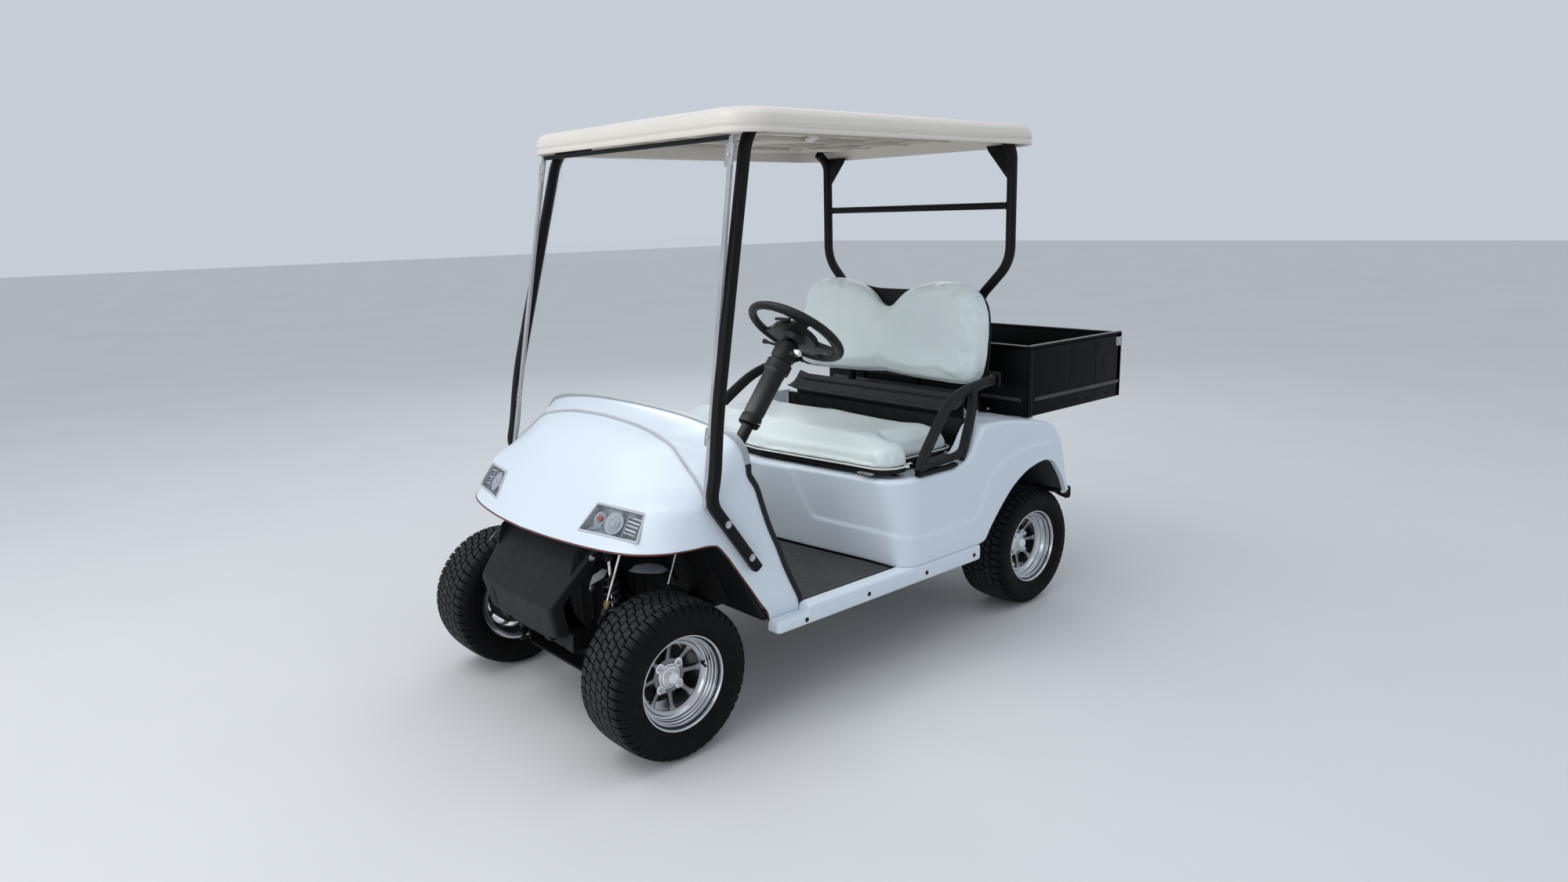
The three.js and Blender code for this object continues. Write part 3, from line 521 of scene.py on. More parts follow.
def catmull(pts, steps=8, closed=False):
    P = [Vector(p) for p in pts]
    n = len(P)
    out = []
    rng = range(n if closed else n - 1)
    for i in rng:
        p0 = P[(i - 1) % n] if (closed or i > 0) else P[0] * 2 - P[1]
        p1, p2 = P[i], P[(i + 1) % n]
        p3 = P[(i + 2) % n] if (closed or i + 2 < n) else P[-1] * 2 - P[-2]
        for k in range(steps):
            t = k / steps
            out.append(0.5 * ((2 * p1) + (p2 - p0) * t + (2 * p0 - 5 * p1 + 4 * p2 - p3) * t * t + (3 * p1 - p0 - 3 * p2 + p3) * t ** 3))
    if not closed:
        out.append(P[-1].copy())
    return out


def round_path(pts, bend, steps=8):
    """Straight runs with round bends of about that reach."""
    P = [Vector(p) for p in pts]
    out = [P[0]]
    for i in range(1, len(P) - 1):
        a, b = P[i - 1] - P[i], P[i + 1] - P[i]
        bd = bend[i - 1] if isinstance(bend, (list, tuple)) else bend
        d = min(bd, a.length * 0.48, b.length * 0.48)
        s, e = P[i] + a.normalized() * d, P[i] + b.normalized() * d
        for k in range(steps + 1):
            t = k / steps
            out.append(s * (1 - t) ** 2 + P[i] * 2 * t * (1 - t) + e * t * t)
    out.append(P[-1])
    return out


def sweep(name, path, section, mats, closed=False, cap=True, up=None, scale=None, angle=30):
    """section is a list of (u, v) about the path; round or any closed outline."""
    P = [Vector(p) for p in path]
    n = len(P)
    verts, faces = [], []
    ref = Vector(up) if up is not None else None
    prev = None
    for i in range(n):
        t0 = P[i] - P[i - 1] if (i > 0 or closed) else None
        t1 = P[(i + 1) % n] - P[i] if (i < n - 1 or closed) else None
        t = ((t0.normalized() if t0 else Vector()) + (t1.normalized() if t1 else Vector())).normalized()
        if ref is not None:
            nn = ref - t * ref.dot(t)
        elif prev is None:
            g = Vector((0, 0, 1)) if abs(t.z) < 0.9 else Vector((1, 0, 0))
            nn = g - t * g.dot(t)
        else:
            nn = prev - t * prev.dot(t)
        nn.normalize()
        prev = nn
        bn = t.cross(nn)
        s = scale[i] if scale else 1.0
        for (u, v) in section:
            verts.append(P[i] + nn * (u * s) + bn * (v * s))
    m = len(section)
    for i in range(n if closed else n - 1):
        j = (i + 1) % n
        for k in range(m):
            l = (k + 1) % m
            faces.append((i * m + k, i * m + l, j * m + l, j * m + k))
    if cap and not closed:
        faces.append(tuple(range(m))[::-1])
        faces.append(tuple((n - 1) * m + k for k in range(m)))
    ob = mesh_object(name, verts, faces, mats, True, None)
    bm = bmesh.new()
    bm.from_mesh(ob.data)
    bmesh.ops.recalc_face_normals(bm, faces=bm.faces)
    bm.to_mesh(ob.data)
    bm.free()
    shade(ob, True, angle)
    return ob


def circle(r, n=14):
    return [(r * math.cos(2 * math.pi * k / n), r * math.sin(2 * math.pi * k / n)) for k in range(n)]


def tube(name, path, r, mats, n=14, closed=False, scale=None):
    return sweep(name, path, circle(r, n), mats, closed=closed, scale=scale)


def rounded_box(name, lo, hi, r, mats, seg=3):
    """A box with rounded edges, given by its corners."""
    lo, hi = Vector(lo), Vector(hi)
    bm = bmesh.new()
    bmesh.ops.create_cube(bm, size=1.0)
    d = hi - lo
    for v in bm.verts:
        v.co = lo + Vector(((v.co.x + 0.5) * d.x, (v.co.y + 0.5) * d.y, (v.co.z + 0.5) * d.z))
    r = min(r, 0.49 * min(d))
    bmesh.ops.bevel(bm, geom=list(bm.edges), offset=r, segments=seg, profile=0.5, affect="EDGES")
    me = bpy.data.meshes.new(name)
    bm.to_mesh(me)
    bm.free()
    me.materials.append(mats)
    ob = bpy.data.objects.new(name, me)
    bpy.context.scene.collection.objects.link(ob)
    shade(ob, True, 45)
    return ob


def plate(name, outline, thick, origin, u, v, mats, r=0.0008, holes=()):
    """A flat plate: outline in (u, v) from origin, thick along u x v; edges softened."""
    origin, u, v = Vector(origin), Vector(u).normalized(), Vector(v).normalized()
    w = u.cross(v).normalized()
    verts = [origin + u * a + v * b for a, b in outline] + [origin + u * a + v * b + w * thick for a, b in outline]
    n = len(outline)
    faces = [tuple(range(n))[::-1], tuple(range(n, 2 * n))] + [(k, (k + 1) % n, n + (k + 1) % n, n + k) for k in range(n)]
    ob = mesh_object(name, verts, faces, mats, False)
    bm = bmesh.new()
    bm.from_mesh(ob.data)
    bmesh.ops.recalc_face_normals(bm, faces=bm.faces)
    bm.to_mesh(ob.data)
    bm.free()
    if r:
        bevel(ob, r, 2, 30)
    return ob


def bolt(name, pos, direction, r=0.006, head=0.005, mat=None, washer=True, dome=False):
    """A hexagon head with a chamfer on a washer, or a round head."""
    mat = mat or ZINC
    d = Vector(direction).normalized()
    bm = bmesh.new()
    def ring(rad, z, n, hexa=False):
        return [bm.verts.new((rad * math.cos(2 * math.pi * k / n), rad * math.sin(2 * math.pi * k / n), z)) for k in range(n)]
    def strip(a, b):
        for k in range(len(a)):
            l = (k + 1) % len(a)
            bm.faces.new((a[k], a[l], b[l], b[k]))
    if washer:
        a = ring(r * 1.75, 0.0, 20); b = ring(r * 1.75, 0.0012, 20); c = ring(r * 0.9, 0.0014, 20)
        strip(a, b); strip(b, c); bm.faces.new(c); bm.faces.new(a[::-1])
    z0 = 0.0012 if washer else 0.0
    if dome:
        rows = [(1.25, 0.0), (1.22, 0.35), (0.95, 0.8), (0.5, 1.0)]
        prev = None
        for (k, h) in rows:
            q = ring(r * k, z0 + head * h, 20)
            if prev:
                strip(prev, q)
            else:
                first = q
            prev = q
        bm.faces.new(prev); bm.faces.new(first[::-1])
    else:
        a = ring(r * 1.15, z0, 6); b = ring(r * 1.15, z0 + head * 0.8, 6); c = ring(r * 0.92, z0 + head, 6)
        strip(a, b); strip(b, c); bm.faces.new(c); bm.faces.new(a[::-1])
    me = bpy.data.meshes.new(name)
    bm.to_mesh(me)
    bm.free()
    me.materials.append(mat)
    me.transform(Matrix.Translation(Vector(pos)) @ d.to_track_quat("Z", "Y").to_matrix().to_4x4())
    ob = bpy.data.objects.new(name, me)
    bpy.context.scene.collection.objects.link(ob)
    shade(ob, True, 25)
    return ob


def resample(pts, n):
    """n points evenly along a polyline."""
    P = np.array([list(p) for p in pts], float)
    d = np.concatenate([[0], np.cumsum(np.linalg.norm(np.diff(P, axis=0), axis=1))])
    s = np.linspace(0, d[-1], n)
    return np.stack([np.interp(s, d, P[:, k]) for k in range(P.shape[1])], 1)


def cubic(P, us, u):
    """Smooth curve through rows P given at parameters us, read at u (natural cubic through the points)."""
    P = np.asarray(P, float)
    n = len(us)
    h = np.diff(us)
    A = np.zeros((n, n))
    B = np.zeros((n, P.reshape(n, -1).shape[1]))
    F = P.reshape(n, -1)
    A[0, 0] = A[-1, -1] = 1
    for i in range(1, n - 1):
        A[i, i - 1], A[i, i], A[i, i + 1] = h[i - 1], 2 * (h[i - 1] + h[i]), h[i]
        B[i] = 6 * ((F[i + 1] - F[i]) / h[i] - (F[i] - F[i - 1]) / h[i - 1])
    M = np.linalg.solve(A, B)
    out = []
    for x in u:
        i = min(max(int(np.searchsorted(us, x)) - 1, 0), n - 2)
        a, b = us[i + 1] - x, x - us[i]
        out.append(M[i] * a ** 3 / (6 * h[i]) + M[i + 1] * b ** 3 / (6 * h[i])
                   + (F[i] / h[i] - M[i] * h[i] / 6) * a + (F[i + 1] / h[i] - M[i + 1] * h[i] / 6) * b)
    return np.array(out).reshape((len(u),) + P.shape[1:])


def grid_mesh(name, G, mats, flip=False, close_u=False, smooth=True):
    """G is an array [nu][nv][3]."""
    nu, nv = G.shape[:2]
    verts = G.reshape(-1, 3)
    faces = []
    for i in range(nu if close_u else nu - 1):
        j = (i + 1) % nu
        for k in range(nv - 1):
            f = (i * nv + k, j * nv + k, j * nv + k + 1, i * nv + k + 1)
            faces.append(f[::-1] if flip else f)
    return mesh_object(name, verts, faces, mats, smooth)


# ------------------------------------------------------------------ camera, light, floor
def make_camera():
    az, el, roll = map(math.radians, (48.1076, 12.1923, -1.3604))
    back = Vector((math.sin(az) * math.cos(el), -math.cos(az) * math.cos(el), math.sin(el)))
    right = (-back).cross(Vector((0, 0, 1))).normalized()
    up = right.cross(-back)
    R = right * math.cos(roll) + up * math.sin(roll)
    U = up * math.cos(roll) - right * math.sin(roll)
    cam = bpy.data.cameras.new("cart_camera")
    cam.lens, cam.sensor_width = 23.695, 36.0
    ob = bpy.data.objects.new("cart_camera", cam)
    bpy.context.scene.collection.objects.link(ob)
    m = Matrix((R, U, back)).transposed().to_4x4()
    m.translation = at(2.72794, -1.55629, 1.48588)
    ob.matrix_world = m
    bpy.context.scene.camera = ob


def area(name, pos, target, size, power, color=(1, 1, 1)):
    l = bpy.data.lights.new(name, "AREA")
    l.shape, l.size, l.size_y, l.energy, l.color = "RECTANGLE", size[0], size[1], power, color
    ob = bpy.data.objects.new(name, l)
    ob.visible_transmission = False
    ob.location = pos
    ob.rotation_mode = "QUATERNION"
    ob.rotation_quaternion = (Vector(target) - Vector(pos)).to_track_quat("-Z", "Y")
    bpy.context.scene.collection.objects.link(ob)


def make_studio():
    w = bpy.data.worlds.new("studio")
    w.use_nodes = True
    bg = w.node_tree.nodes["Background"]
    bg.inputs[0].default_value = (0.83, 0.90, 1.0, 1)
    bg.inputs[1].default_value = 0.68
    bpy.context.scene.world = w
    bpy.context.scene.view_settings.view_transform = "Standard"
    bpy.context.scene.view_settings.look = "None"
    area("key_softbox", (-1.2, -3.3, 5.4), (0, -0.3, 0.6), (3.6, 2.8), 84, (1.0, 0.985, 0.96))
    area("front_softbox", (0.6, -5.2, 2.1), (0.1, 0, 0.7), (4.6, 2.6), 64, (0.97, 0.985, 1.0))
    area("cabin_softbox", (0.16, -0.60, 1.52), (0.08, -0.20, 0.45), (0.7, 0.25), 1.7, (0.95, 0.98, 1.0))
    area("footwell_softbox", (0.10, -0.68, 1.03), (0.12, -0.22, 0.44), (0.8, 0.15), 2.1, (0.95, 0.98, 1.0))
    area("sky_softbox", (1.2, 0.4, 5.4), (0.2, 0, 0), (4.5, 4.5), 42, (0.92, 0.96, 1.0))
    area("back_softbox", (-4.2, 3.6, 3.2), (0, 0, 0.8), (3.5, 2.5), 30)
    m, nt, b = new_material("studio_floor")
    co = coords(nt)
    nt.links.new(ramp(nt, noise(nt, co, 0.8, 4, 0.6), 0.3, 0.7, (0.70, 0.70, 0.695, 1), (0.73, 0.73, 0.725, 1)), b.inputs["Base Color"])
    nt.links.new(remap(nt, noise(nt, co, 3, 4, 0.6), 0.3, 0.7, 0.6, 0.75), b.inputs["Roughness"])
    add_bump(nt, b, noise(nt, co, 120, 3, 0.6), 0.08, 0.0008)
    s = 45.0
    fl = mesh_object("studio_floor", [(-s, -s, -0.0006), (s, -s, -0.0006), (s, s, -0.0006), (-s, s, -0.0006)], [(0, 1, 2, 3)], m, False)


make_camera()
make_studio()

# CAD nodes that stay in view take these finishes; everything else is stood for by a finer piece further down
FINISH = {
    "chassis_frame": CAST, "front_suspension": CAST, "knuckle_left": CAST, "knuckle_right": CAST, "tie_rod": ZINC,
    "rear_axle": CAST, "drive_motor": CAST, "battery_pack": BLACK_PLASTIC, "floor_pan": BLACK_STEEL, "floor_mat": MAT_RUBBER,
    "rocker_left": WHITE, "rocker_right": WHITE, "dash_panel": BLACK_PLASTIC, "rear_deck": WHITE, "rear_bumper": BLACK_STEEL,
    "seat_board": BLACK_PLASTIC, "seat_back_panel": BLACK_PLASTIC, "seat_tray": GREY_PLASTIC, "armrest_left": BLACK_STEEL,
    "armrest_right": BLACK_STEEL, "cargo_box": BLACK_STEEL, "tailgate": BLACK_STEEL, "steering_wheel": BLACK_PLASTIC,
    "steering_column": BLACK_PLASTIC, "pedals": BLACK_STEEL, "cargo_supports": BLACK_STEEL, "front_strut_left": BLACK_STEEL,
    "front_strut_right": BLACK_STEEL, "rear_strut_frame": BLACK_STEEL, "windshield": GLASS, "roof_canopy": CREAM,
    "nose_skirt": GREY_PLASTIC, "seat_cushion": VINYL, "seat_back": VINYL, "front_cowl": WHITE, "seat_pod_front": WHITE,
    "body_side_left": WHITE, "body_side_right": WHITE, "headlight_left": CHROME, "headlight_right": CHROME,
    "spring_leg_left": CAST, "spring_leg_right": CAST,
}
for n, o in NODES.items():
    mt = FINISH.get(n, BLACK_PLASTIC)
    o.data.materials.clear()
    o.data.materials.append(mt)
    if len(o.data.polygons):
        o.data.polygons.foreach_set("material_index", [0] * len(o.data.polygons))


# ------------------------------------------------------------------ wheels
def profile_reader(rows):
    P = np.array(rows, float)
    d = np.concatenate([[0], np.cumsum(np.linalg.norm(np.diff(P, axis=0), axis=1))])
    def read(s):
        s = min(max(s, 0.0), d[-1])
        i = min(max(int(np.searchsorted(d, s)) - 1, 0), len(P) - 2)
        t = (s - d[i]) / (d[i + 1] - d[i])
        p = P[i] * (1 - t) + P[i + 1] * t
        q = P[i + 1] - P[i]
        q = q / np.linalg.norm(q)
        return p, np.array([-q[1], q[0]])
    return read, d[-1]


def tyre_mesh():
    """Carcass with ridged sidewalls and 6 rows of separate tread blocks, axis X, centred on the origin."""
    half = [(0, 230.0), (20, 229.8), (40, 229.2), (56, 228.3), (70, 227.0), (80, 225.0), (87, 222.3), (93, 218.4), (97, 213.5), (99.6, 207.5), (101.2, 201.0)]
    half = [(x / 1000, r / 1000) for x, r in half]
    read, total = profile_reader(half)
    verts, faces, mats = [], [], []
    # carcass
    depth = 0.0088
    prof = []
    for i in range(15):
        s = total * i / 14
        p, nrm = read(s)
        k = min(1.0, max(0.0, (total - s) / 0.016))
        prof.append((p[0] - 0.0 * depth, p[1] - depth * k) if k > 0.99 else (p[0] - depth * k * 0.5, p[1] - depth * k * 0.8))
    side = [(102.4, 197.5), (101.9, 196.4), (102.8, 192.5), (103.2, 186), (102.9, 178), (101.6, 170), (99.8, 162.5), (98.3, 158.6), (98.9, 157.6), (98.0, 155.0),
            (96.3, 153.8), (95.2, 149.5), (93.6, 146.2), (91.6, 143.8), (90.0, 142.0), (87.0, 140.2), (84.5, 136.0), (80.0, 129.0), (74, 128.3), (40, 128.3)]
    prof += [(x / 1000, r / 1000) for x, r in side]
    full = [(-x, r) for x, r in reversed(prof[1:])] + prof
    seg = 120
    n = len(full)
    for k in range(seg):
        a = 2 * math.pi * k / seg
        for (x, r) in full:
            verts.append((x, r * math.cos(a), r * math.sin(a)))
    for k in range(seg):
        l = (k + 1) % seg
        for i in range(n - 1):
            faces.append((k * n + i, l * n + i, l * n + i + 1, k * n + i + 1))
            mats.append(1 if abs(full[i][0]) > 0.09 or full[i][1] < 0.2 else 0)
        faces.append((k * n + n - 1, l * n + n - 1, l * n, k * n))
        mats.append(1)
    # blocks: rows from the middle out, given along the profile
    pitch = 2 * math.pi / 50
    rows = [(0.0, 0.0275, 0.0, 0.30), (0.0275, 0.0555, 0.5, 0.30), (0.0555, total, 0.18, 0.16)]
    da = [0.0, 0.0, 0.045, 0.5, 0.955, 1.0, 1.0]
    dd = [1.0, 0.12, 0.0, 0.0, 0.0, 0.12, 1.0]
    for sgn in (1, -1):
        for ri, (s0, s1, phase, slant) in enumerate(rows):
            for k in range(50):
                base = len(verts)
                gap = 0.0030
                for ia, a in enumerate(da):
                    for ic, c in enumerate(da):
                        dn = max(dd[ia], dd[ic])
                        grow = 0.0006 if dn == 1.0 else 0.0
                        cc = (0.10 + 0.80 * c) + ((-0.02 if c == 0 else 0.02) if dn == 1.0 and c in (0.0, 1.0) else 0.0)
                        th = (k + cc + phase + slant * (a - 0.5) * sgn + (0.37 if sgn < 0 else 0.0)) * pitch
                        zig = 0.0032 * math.cos(2 * math.pi * ((th / pitch) - phase) + (0 if ri % 2 else math.pi))
                        lo = s0 + gap - (grow if a == 0 else 0) + (zig if ri > 0 else 0.25 * zig)
                        hi = s1 - gap + (grow if a == 1 else 0) + (zig if ri < 2 else 0.0)
                        s = lo + (hi - lo) * a
                        if ri == 0 and s < 0:
                            s = 0.0
                        p, nrm = read(s)
                        d = depth * dn
                        if ri == 2 and a > 0.9:
                            d = 0.0035 * dn
                            p = p - nrm * 0.0 
                        q = p + np.array([-0.12 if ri == 2 and a > 0.5 else 0.0, -1.0]) * d
                        verts.append((sgn * q[0], q[1] * math.cos(th), q[1] * math.sin(th)))
                m = len(da)
                for ia in range(m - 1):
                    for ic in range(m - 1):
                        f = (base + ia * m + ic, base + (ia + 1) * m + ic, base + (ia + 1) * m + ic + 1, base + ia * m + ic + 1)
                        faces.append(f if sgn > 0 else f[::-1])
                        mats.append(0)
    me = bpy.data.meshes.new("tyre_shape")
    me.from_pydata(verts, [], faces)
    me.update()
    me.materials.append(TYRE_TREAD)
    me.materials.append(TYRE_SIDE)
    me.polygons.foreach_set("material_index", mats)
    return me


def rim_mesh():
    mm = 0.001
    prof = [(89.5, 139), (90.6, 138), (90.9, 136.5), (90.2, 134.6), (88.6, 133.4), (84, 132.2), (80, 131.6), (78.6, 130.6), (78, 128.9), (76.8, 128.2), (72, 127.6), (70.9, 126.8),
            (70.4, 125.4), (69, 124.9), (62, 124.2), (60.6, 123.2), (60, 121.3), (58.6, 120.6), (54, 119.6), (52.7, 118.6), (52, 116.8), (50.6, 116.1), (46, 115.2), (44.8, 114), (44, 111.6), (42, 109.8),
            (38, 108), (36, 106), (35, 103), (34.6, 99), (33.6, 97.4), (31.5, 96.8), (28, 97), (22, 99.5), (0, 102.5), (-60, 107), (-84, 121), (-88, 130), (-90, 135.5), (-89.8, 138.6), (-88, 139.8), (-85.8, 138.6),
            (-82, 130.5), (-74, 126.2), (-40, 125), (30, 112), (50, 118.8), (80, 134.2), (85.4, 138.0), (87.4, 139.6)]
    parts = [lathe("rim_barrel", [(x * mm, r * mm) for x, r in prof], ALLOY, 96, "X", True, angle=28)]
    hub = [(-14, 0), (-14, 45), (2, 50), (12, 53), (16.5, 52.6), (19.2, 50.5), (20, 47.5), (19.4, 41), (18.0, 40), (18.0, 0)]
    parts.append(lathe("rim_hub", [(x * mm, r * mm) for x, r in hub], ALLOY, 64, "X", False, angle=32))
    # spokes
    st = [(44, 25, 17.5, 17), (52, 18.5, 19.5, 17), (60, 15.5, 21, 16.5), (72, 14.2, 23.5, 16), (84, 15.2, 26.5, 16), (92, 19, 29.5, 16), (98, 26, 32, 16.5), (103.5, 38, 33.6, 18)]
    verts, faces = [], []
    ns = 12
    for k in range(8):
        ang = 2 * math.pi * k / 8
        er = Vector((0, math.cos(ang), math.sin(ang)))
        et = Vector((0, -math.sin(ang), math.cos(ang)))
        base = len(verts)
        for (r, w, f, d) in st:
            for j in range(ns):
                t = 2 * math.pi * j / ns
                cu, su = math.cos(t), math.sin(t)
                u = math.copysign(abs(cu) ** 0.55, cu) * w / 2
                v = math.copysign(abs(su) ** 0.6, su) * d / 2
                verts.append(er * (r * mm) + et * (u * mm) + Vector(((f - d / 2 + v) * mm, 0, 0)))
        for i in range(len(st) - 1):
            for j in range(ns):
                l = (j + 1) % ns
                faces.append((base + i * ns + j, base + i * ns + l, base + (i + 1) * ns + l, base + (i + 1) * ns + j))
        faces.append(tuple(base + j for j in range(ns))[::-1])
        faces.append(tuple(base + (len(st) - 1) * ns + j for j in range(ns)))
    sp = mesh_object("rim_spokes", verts, faces, ALLOY, True)
    bm = bmesh.new()
    bm.from_mesh(sp.data)
    bmesh.ops.recalc_face_normals(bm, faces=bm.faces)
    bm.to_mesh(sp.data)
    bm.free()
    shade(sp, True, 50)
    parts.append(sp)
    # cap: stepped base and a ribbed dome
    cap = [(17, 0), (17, 37), (19.5, 37.4), (21, 36.4), (21.6, 33), (22.6, 31.6), (25.2, 30.6), (26, 28), (26.4, 25.2), (27.5, 24.2), (29.5, 24.4), (30.6, 23.6), (31, 22.4), (32.2, 22.2), (34, 22.7),
           (35.2, 22), (35.6, 20.9), (36.8, 20.8), (38.6, 21.3), (39.8, 20.6), (40.2, 19.5), (41.4, 19.4), (43, 19.8), (44.2, 19), (44.6, 17.8), (46, 17.2), (47.2, 15.6), (47.9, 11), (48.1, 0)]
    parts.append(lathe("rim_cap", [(x * mm, r * mm) for x, r in cap], CHROME, 48, "X", False, angle=40))
    for k in range(4):
        a = math.pi / 4 + k * math.pi / 2
        c = Vector((0.0195, 0.0445 * math.cos(a), 0.0445 * math.sin(a)))
        parts.append(bolt("lug", c, (1, 0, 0), r=0.0082, head=0.012, mat=CHROME, washer=True))
        parts.append(turn_between("stud", c + Vector((0.010, 0, 0)), c + Vector((0.018, 0, 0)), [(0, 0.0044), (0.8, 0.0044), (1, 0.0034)], ZINC, 14))
    # valve stem
    parts.append(turn_between("valve", (0.036, 0.104, 0.012), (0.062, 0.098, 0.0115), [(0, 0.0042), (0.35, 0.004), (0.4, 0.0028), (0.62, 0.0028), (0.66, 0.0038), (1, 0.0036)], SKIN_BLACK, 14))
    # drum behind the spokes
    drum = [(-16, 0), (-16, 84), (-20, 88), (-58, 88), (-60, 84), (-60, 0)]
    parts.append(lathe("brake_drum", [(x * mm, r * mm) for x, r in drum], CAST, 48, "X", False, angle=35))
    ob = merge("rim_shape", parts)
    me = ob.data
    bpy.data.objects.remove(ob)
    return me


def make_wheels():
    tm, rm = tyre_mesh(), rim_mesh()
    for where, side in (("front", "left"), ("front", "right"), ("rear", "left"), ("rear", "right")):
        c = mid(f"tyre_{where}_{side}")
        for nm, me, slot in (("tyre", tm, "tyre_rubber"), ("rim", rm, "alloy")):
            o = bpy.data.objects.new(f"{nm}_{where}_{side}_full", me)
            bpy.context.scene.collection.objects.link(o)
            turn = 0.0 if side == "left" else math.pi
            spin = {"front_left": 0.0, "front_right": math.pi / 2, "rear_left": math.pi, "rear_right": -math.pi / 2}[f"{where}_{side}"]
            o.matrix_world = Matrix.Translation(c) @ Matrix.Rotation(turn, 4, "Z") @ Matrix.Rotation(spin, 4, "X")
            bpy.context.view_layer.update()
            finish_piece(o, f"wheel_{where}_{side}", [f"{nm}_{where}_{side}"])
    for p in rm.polygons:
        pass
    tm.polygons.foreach_set("use_smooth", [True] * len(tm.polygons))
    bm = bmesh.new()
    bm.from_mesh(tm)
    for e in bm.edges:
        e.smooth = not (len(e.link_faces) == 2 and e.calc_face_angle(0.0) > math.radians(38))
    bm.to_mesh(tm)
    bm.free()


make_wheels()


# ------------------------------------------------------------------ front cowl
COWL = [[0, -172, -150, -90, -30, 785, 35, 848, 100, 888, 924], [130, -165, -143, -82, -22, 782, 42, 846, 105, 885, 922],
        [250, -150, -124, -68, -5, 776, 55, 836, 115, 876, 917], [350, -130, -103, -50, 15, 763, 75, 818, 130, 860, 908],
        [450, -95, -70, -26, 40, 748, 100, 786, 150, 822, 892], [500, -55, -30, 5, 60, 738, 110, 767, 160, 800, 874],
        [535, 0, 20, 50, 90, 722, 130, 746, 175, 774, 842], [552, 80, 90, 105, 125, 705, 150, 722, 190, 745, 790]]
CHEEK_EDGE = [(250, 790), (262, 765), (279, 734), (295, 684), (327, 598), (355, 539), (389, 454), (425, 386), (449, 329), (449, 289)]
ARCH_FRONT = [(80, 604), (95, 610), (112, 605), (135, 596), (158, 574), (199, 516), (262, 425), (318, 341), (323, 289)]
LAMP = {"it": (0.270, -0.064, 0.711), "ib": (0.243, -0.122, 0.635), "ob": (0.464, -0.065, 0.628), "ot": (0.449, -0.024, 0.703)}
LAMP_N = Vector((0.206, -0.812, 0.547)).normalized()


def pchip(x, Y, q):
    """Smooth curve through rows Y at x that never overshoots them."""
    x = np.asarray(x, float)
    F = np.asarray(Y, float).reshape(len(x), -1)
    h = np.diff(x)[:, None]
    d = np.diff(F, axis=0) / h
    m = np.zeros_like(F)
    w1, w2 = 2 * h[1:] + h[:-1], h[1:] + 2 * h[:-1]
    same = (d[:-1] * d[1:]) > 0
    with np.errstate(divide="ignore", invalid="ignore"):
        hm = (w1 + w2) / (w1 / d[:-1] + w2 / d[1:])
    m[1:-1] = np.where(same, hm, 0.0)
    m[0], m[-1] = d[0], d[-1]
    out = []
    for v in q:
        i = min(max(int(np.searchsorted(x, v, side="right")) - 1, 0), len(x) - 2)
        t = (v - x[i]) / (x[i + 1] - x[i])
        hh = x[i + 1] - x[i]
        out.append(F[i] * (1 + 2 * t) * (1 - t) ** 2 + m[i] * hh * t * (1 - t) ** 2 + F[i + 1] * t * t * (3 - 2 * t) + m[i + 1] * hh * t * t * (t - 1))
    return np.array(out).reshape((len(q),) + np.asarray(Y).shape[1:])


def grid_normals(G):
    du, dv = np.gradient(G, axis=0), np.gradient(G, axis=1)
    n = np.cross(du, dv)
    return n / np.maximum(np.linalg.norm(n, axis=2, keepdims=True), 1e-9)


def smooth_grid(G, rounds, k=0.5, hold=None):
    G = G.copy()
    for _ in range(rounds):
        A = G.copy()
        A[1:-1, 1:-1] = (G[:-2, 1:-1] + G[2:, 1:-1] + G[1:-1, :-2] + G[1:-1, 2:]) / 4
        w = k if hold is None else k * hold
        G = G * (1 - w) + A * w
    return G


def smooth01(t):
    t = np.clip(t, 0, 1)
    return t * t * (3 - 2 * t)


NV_COWL = 88


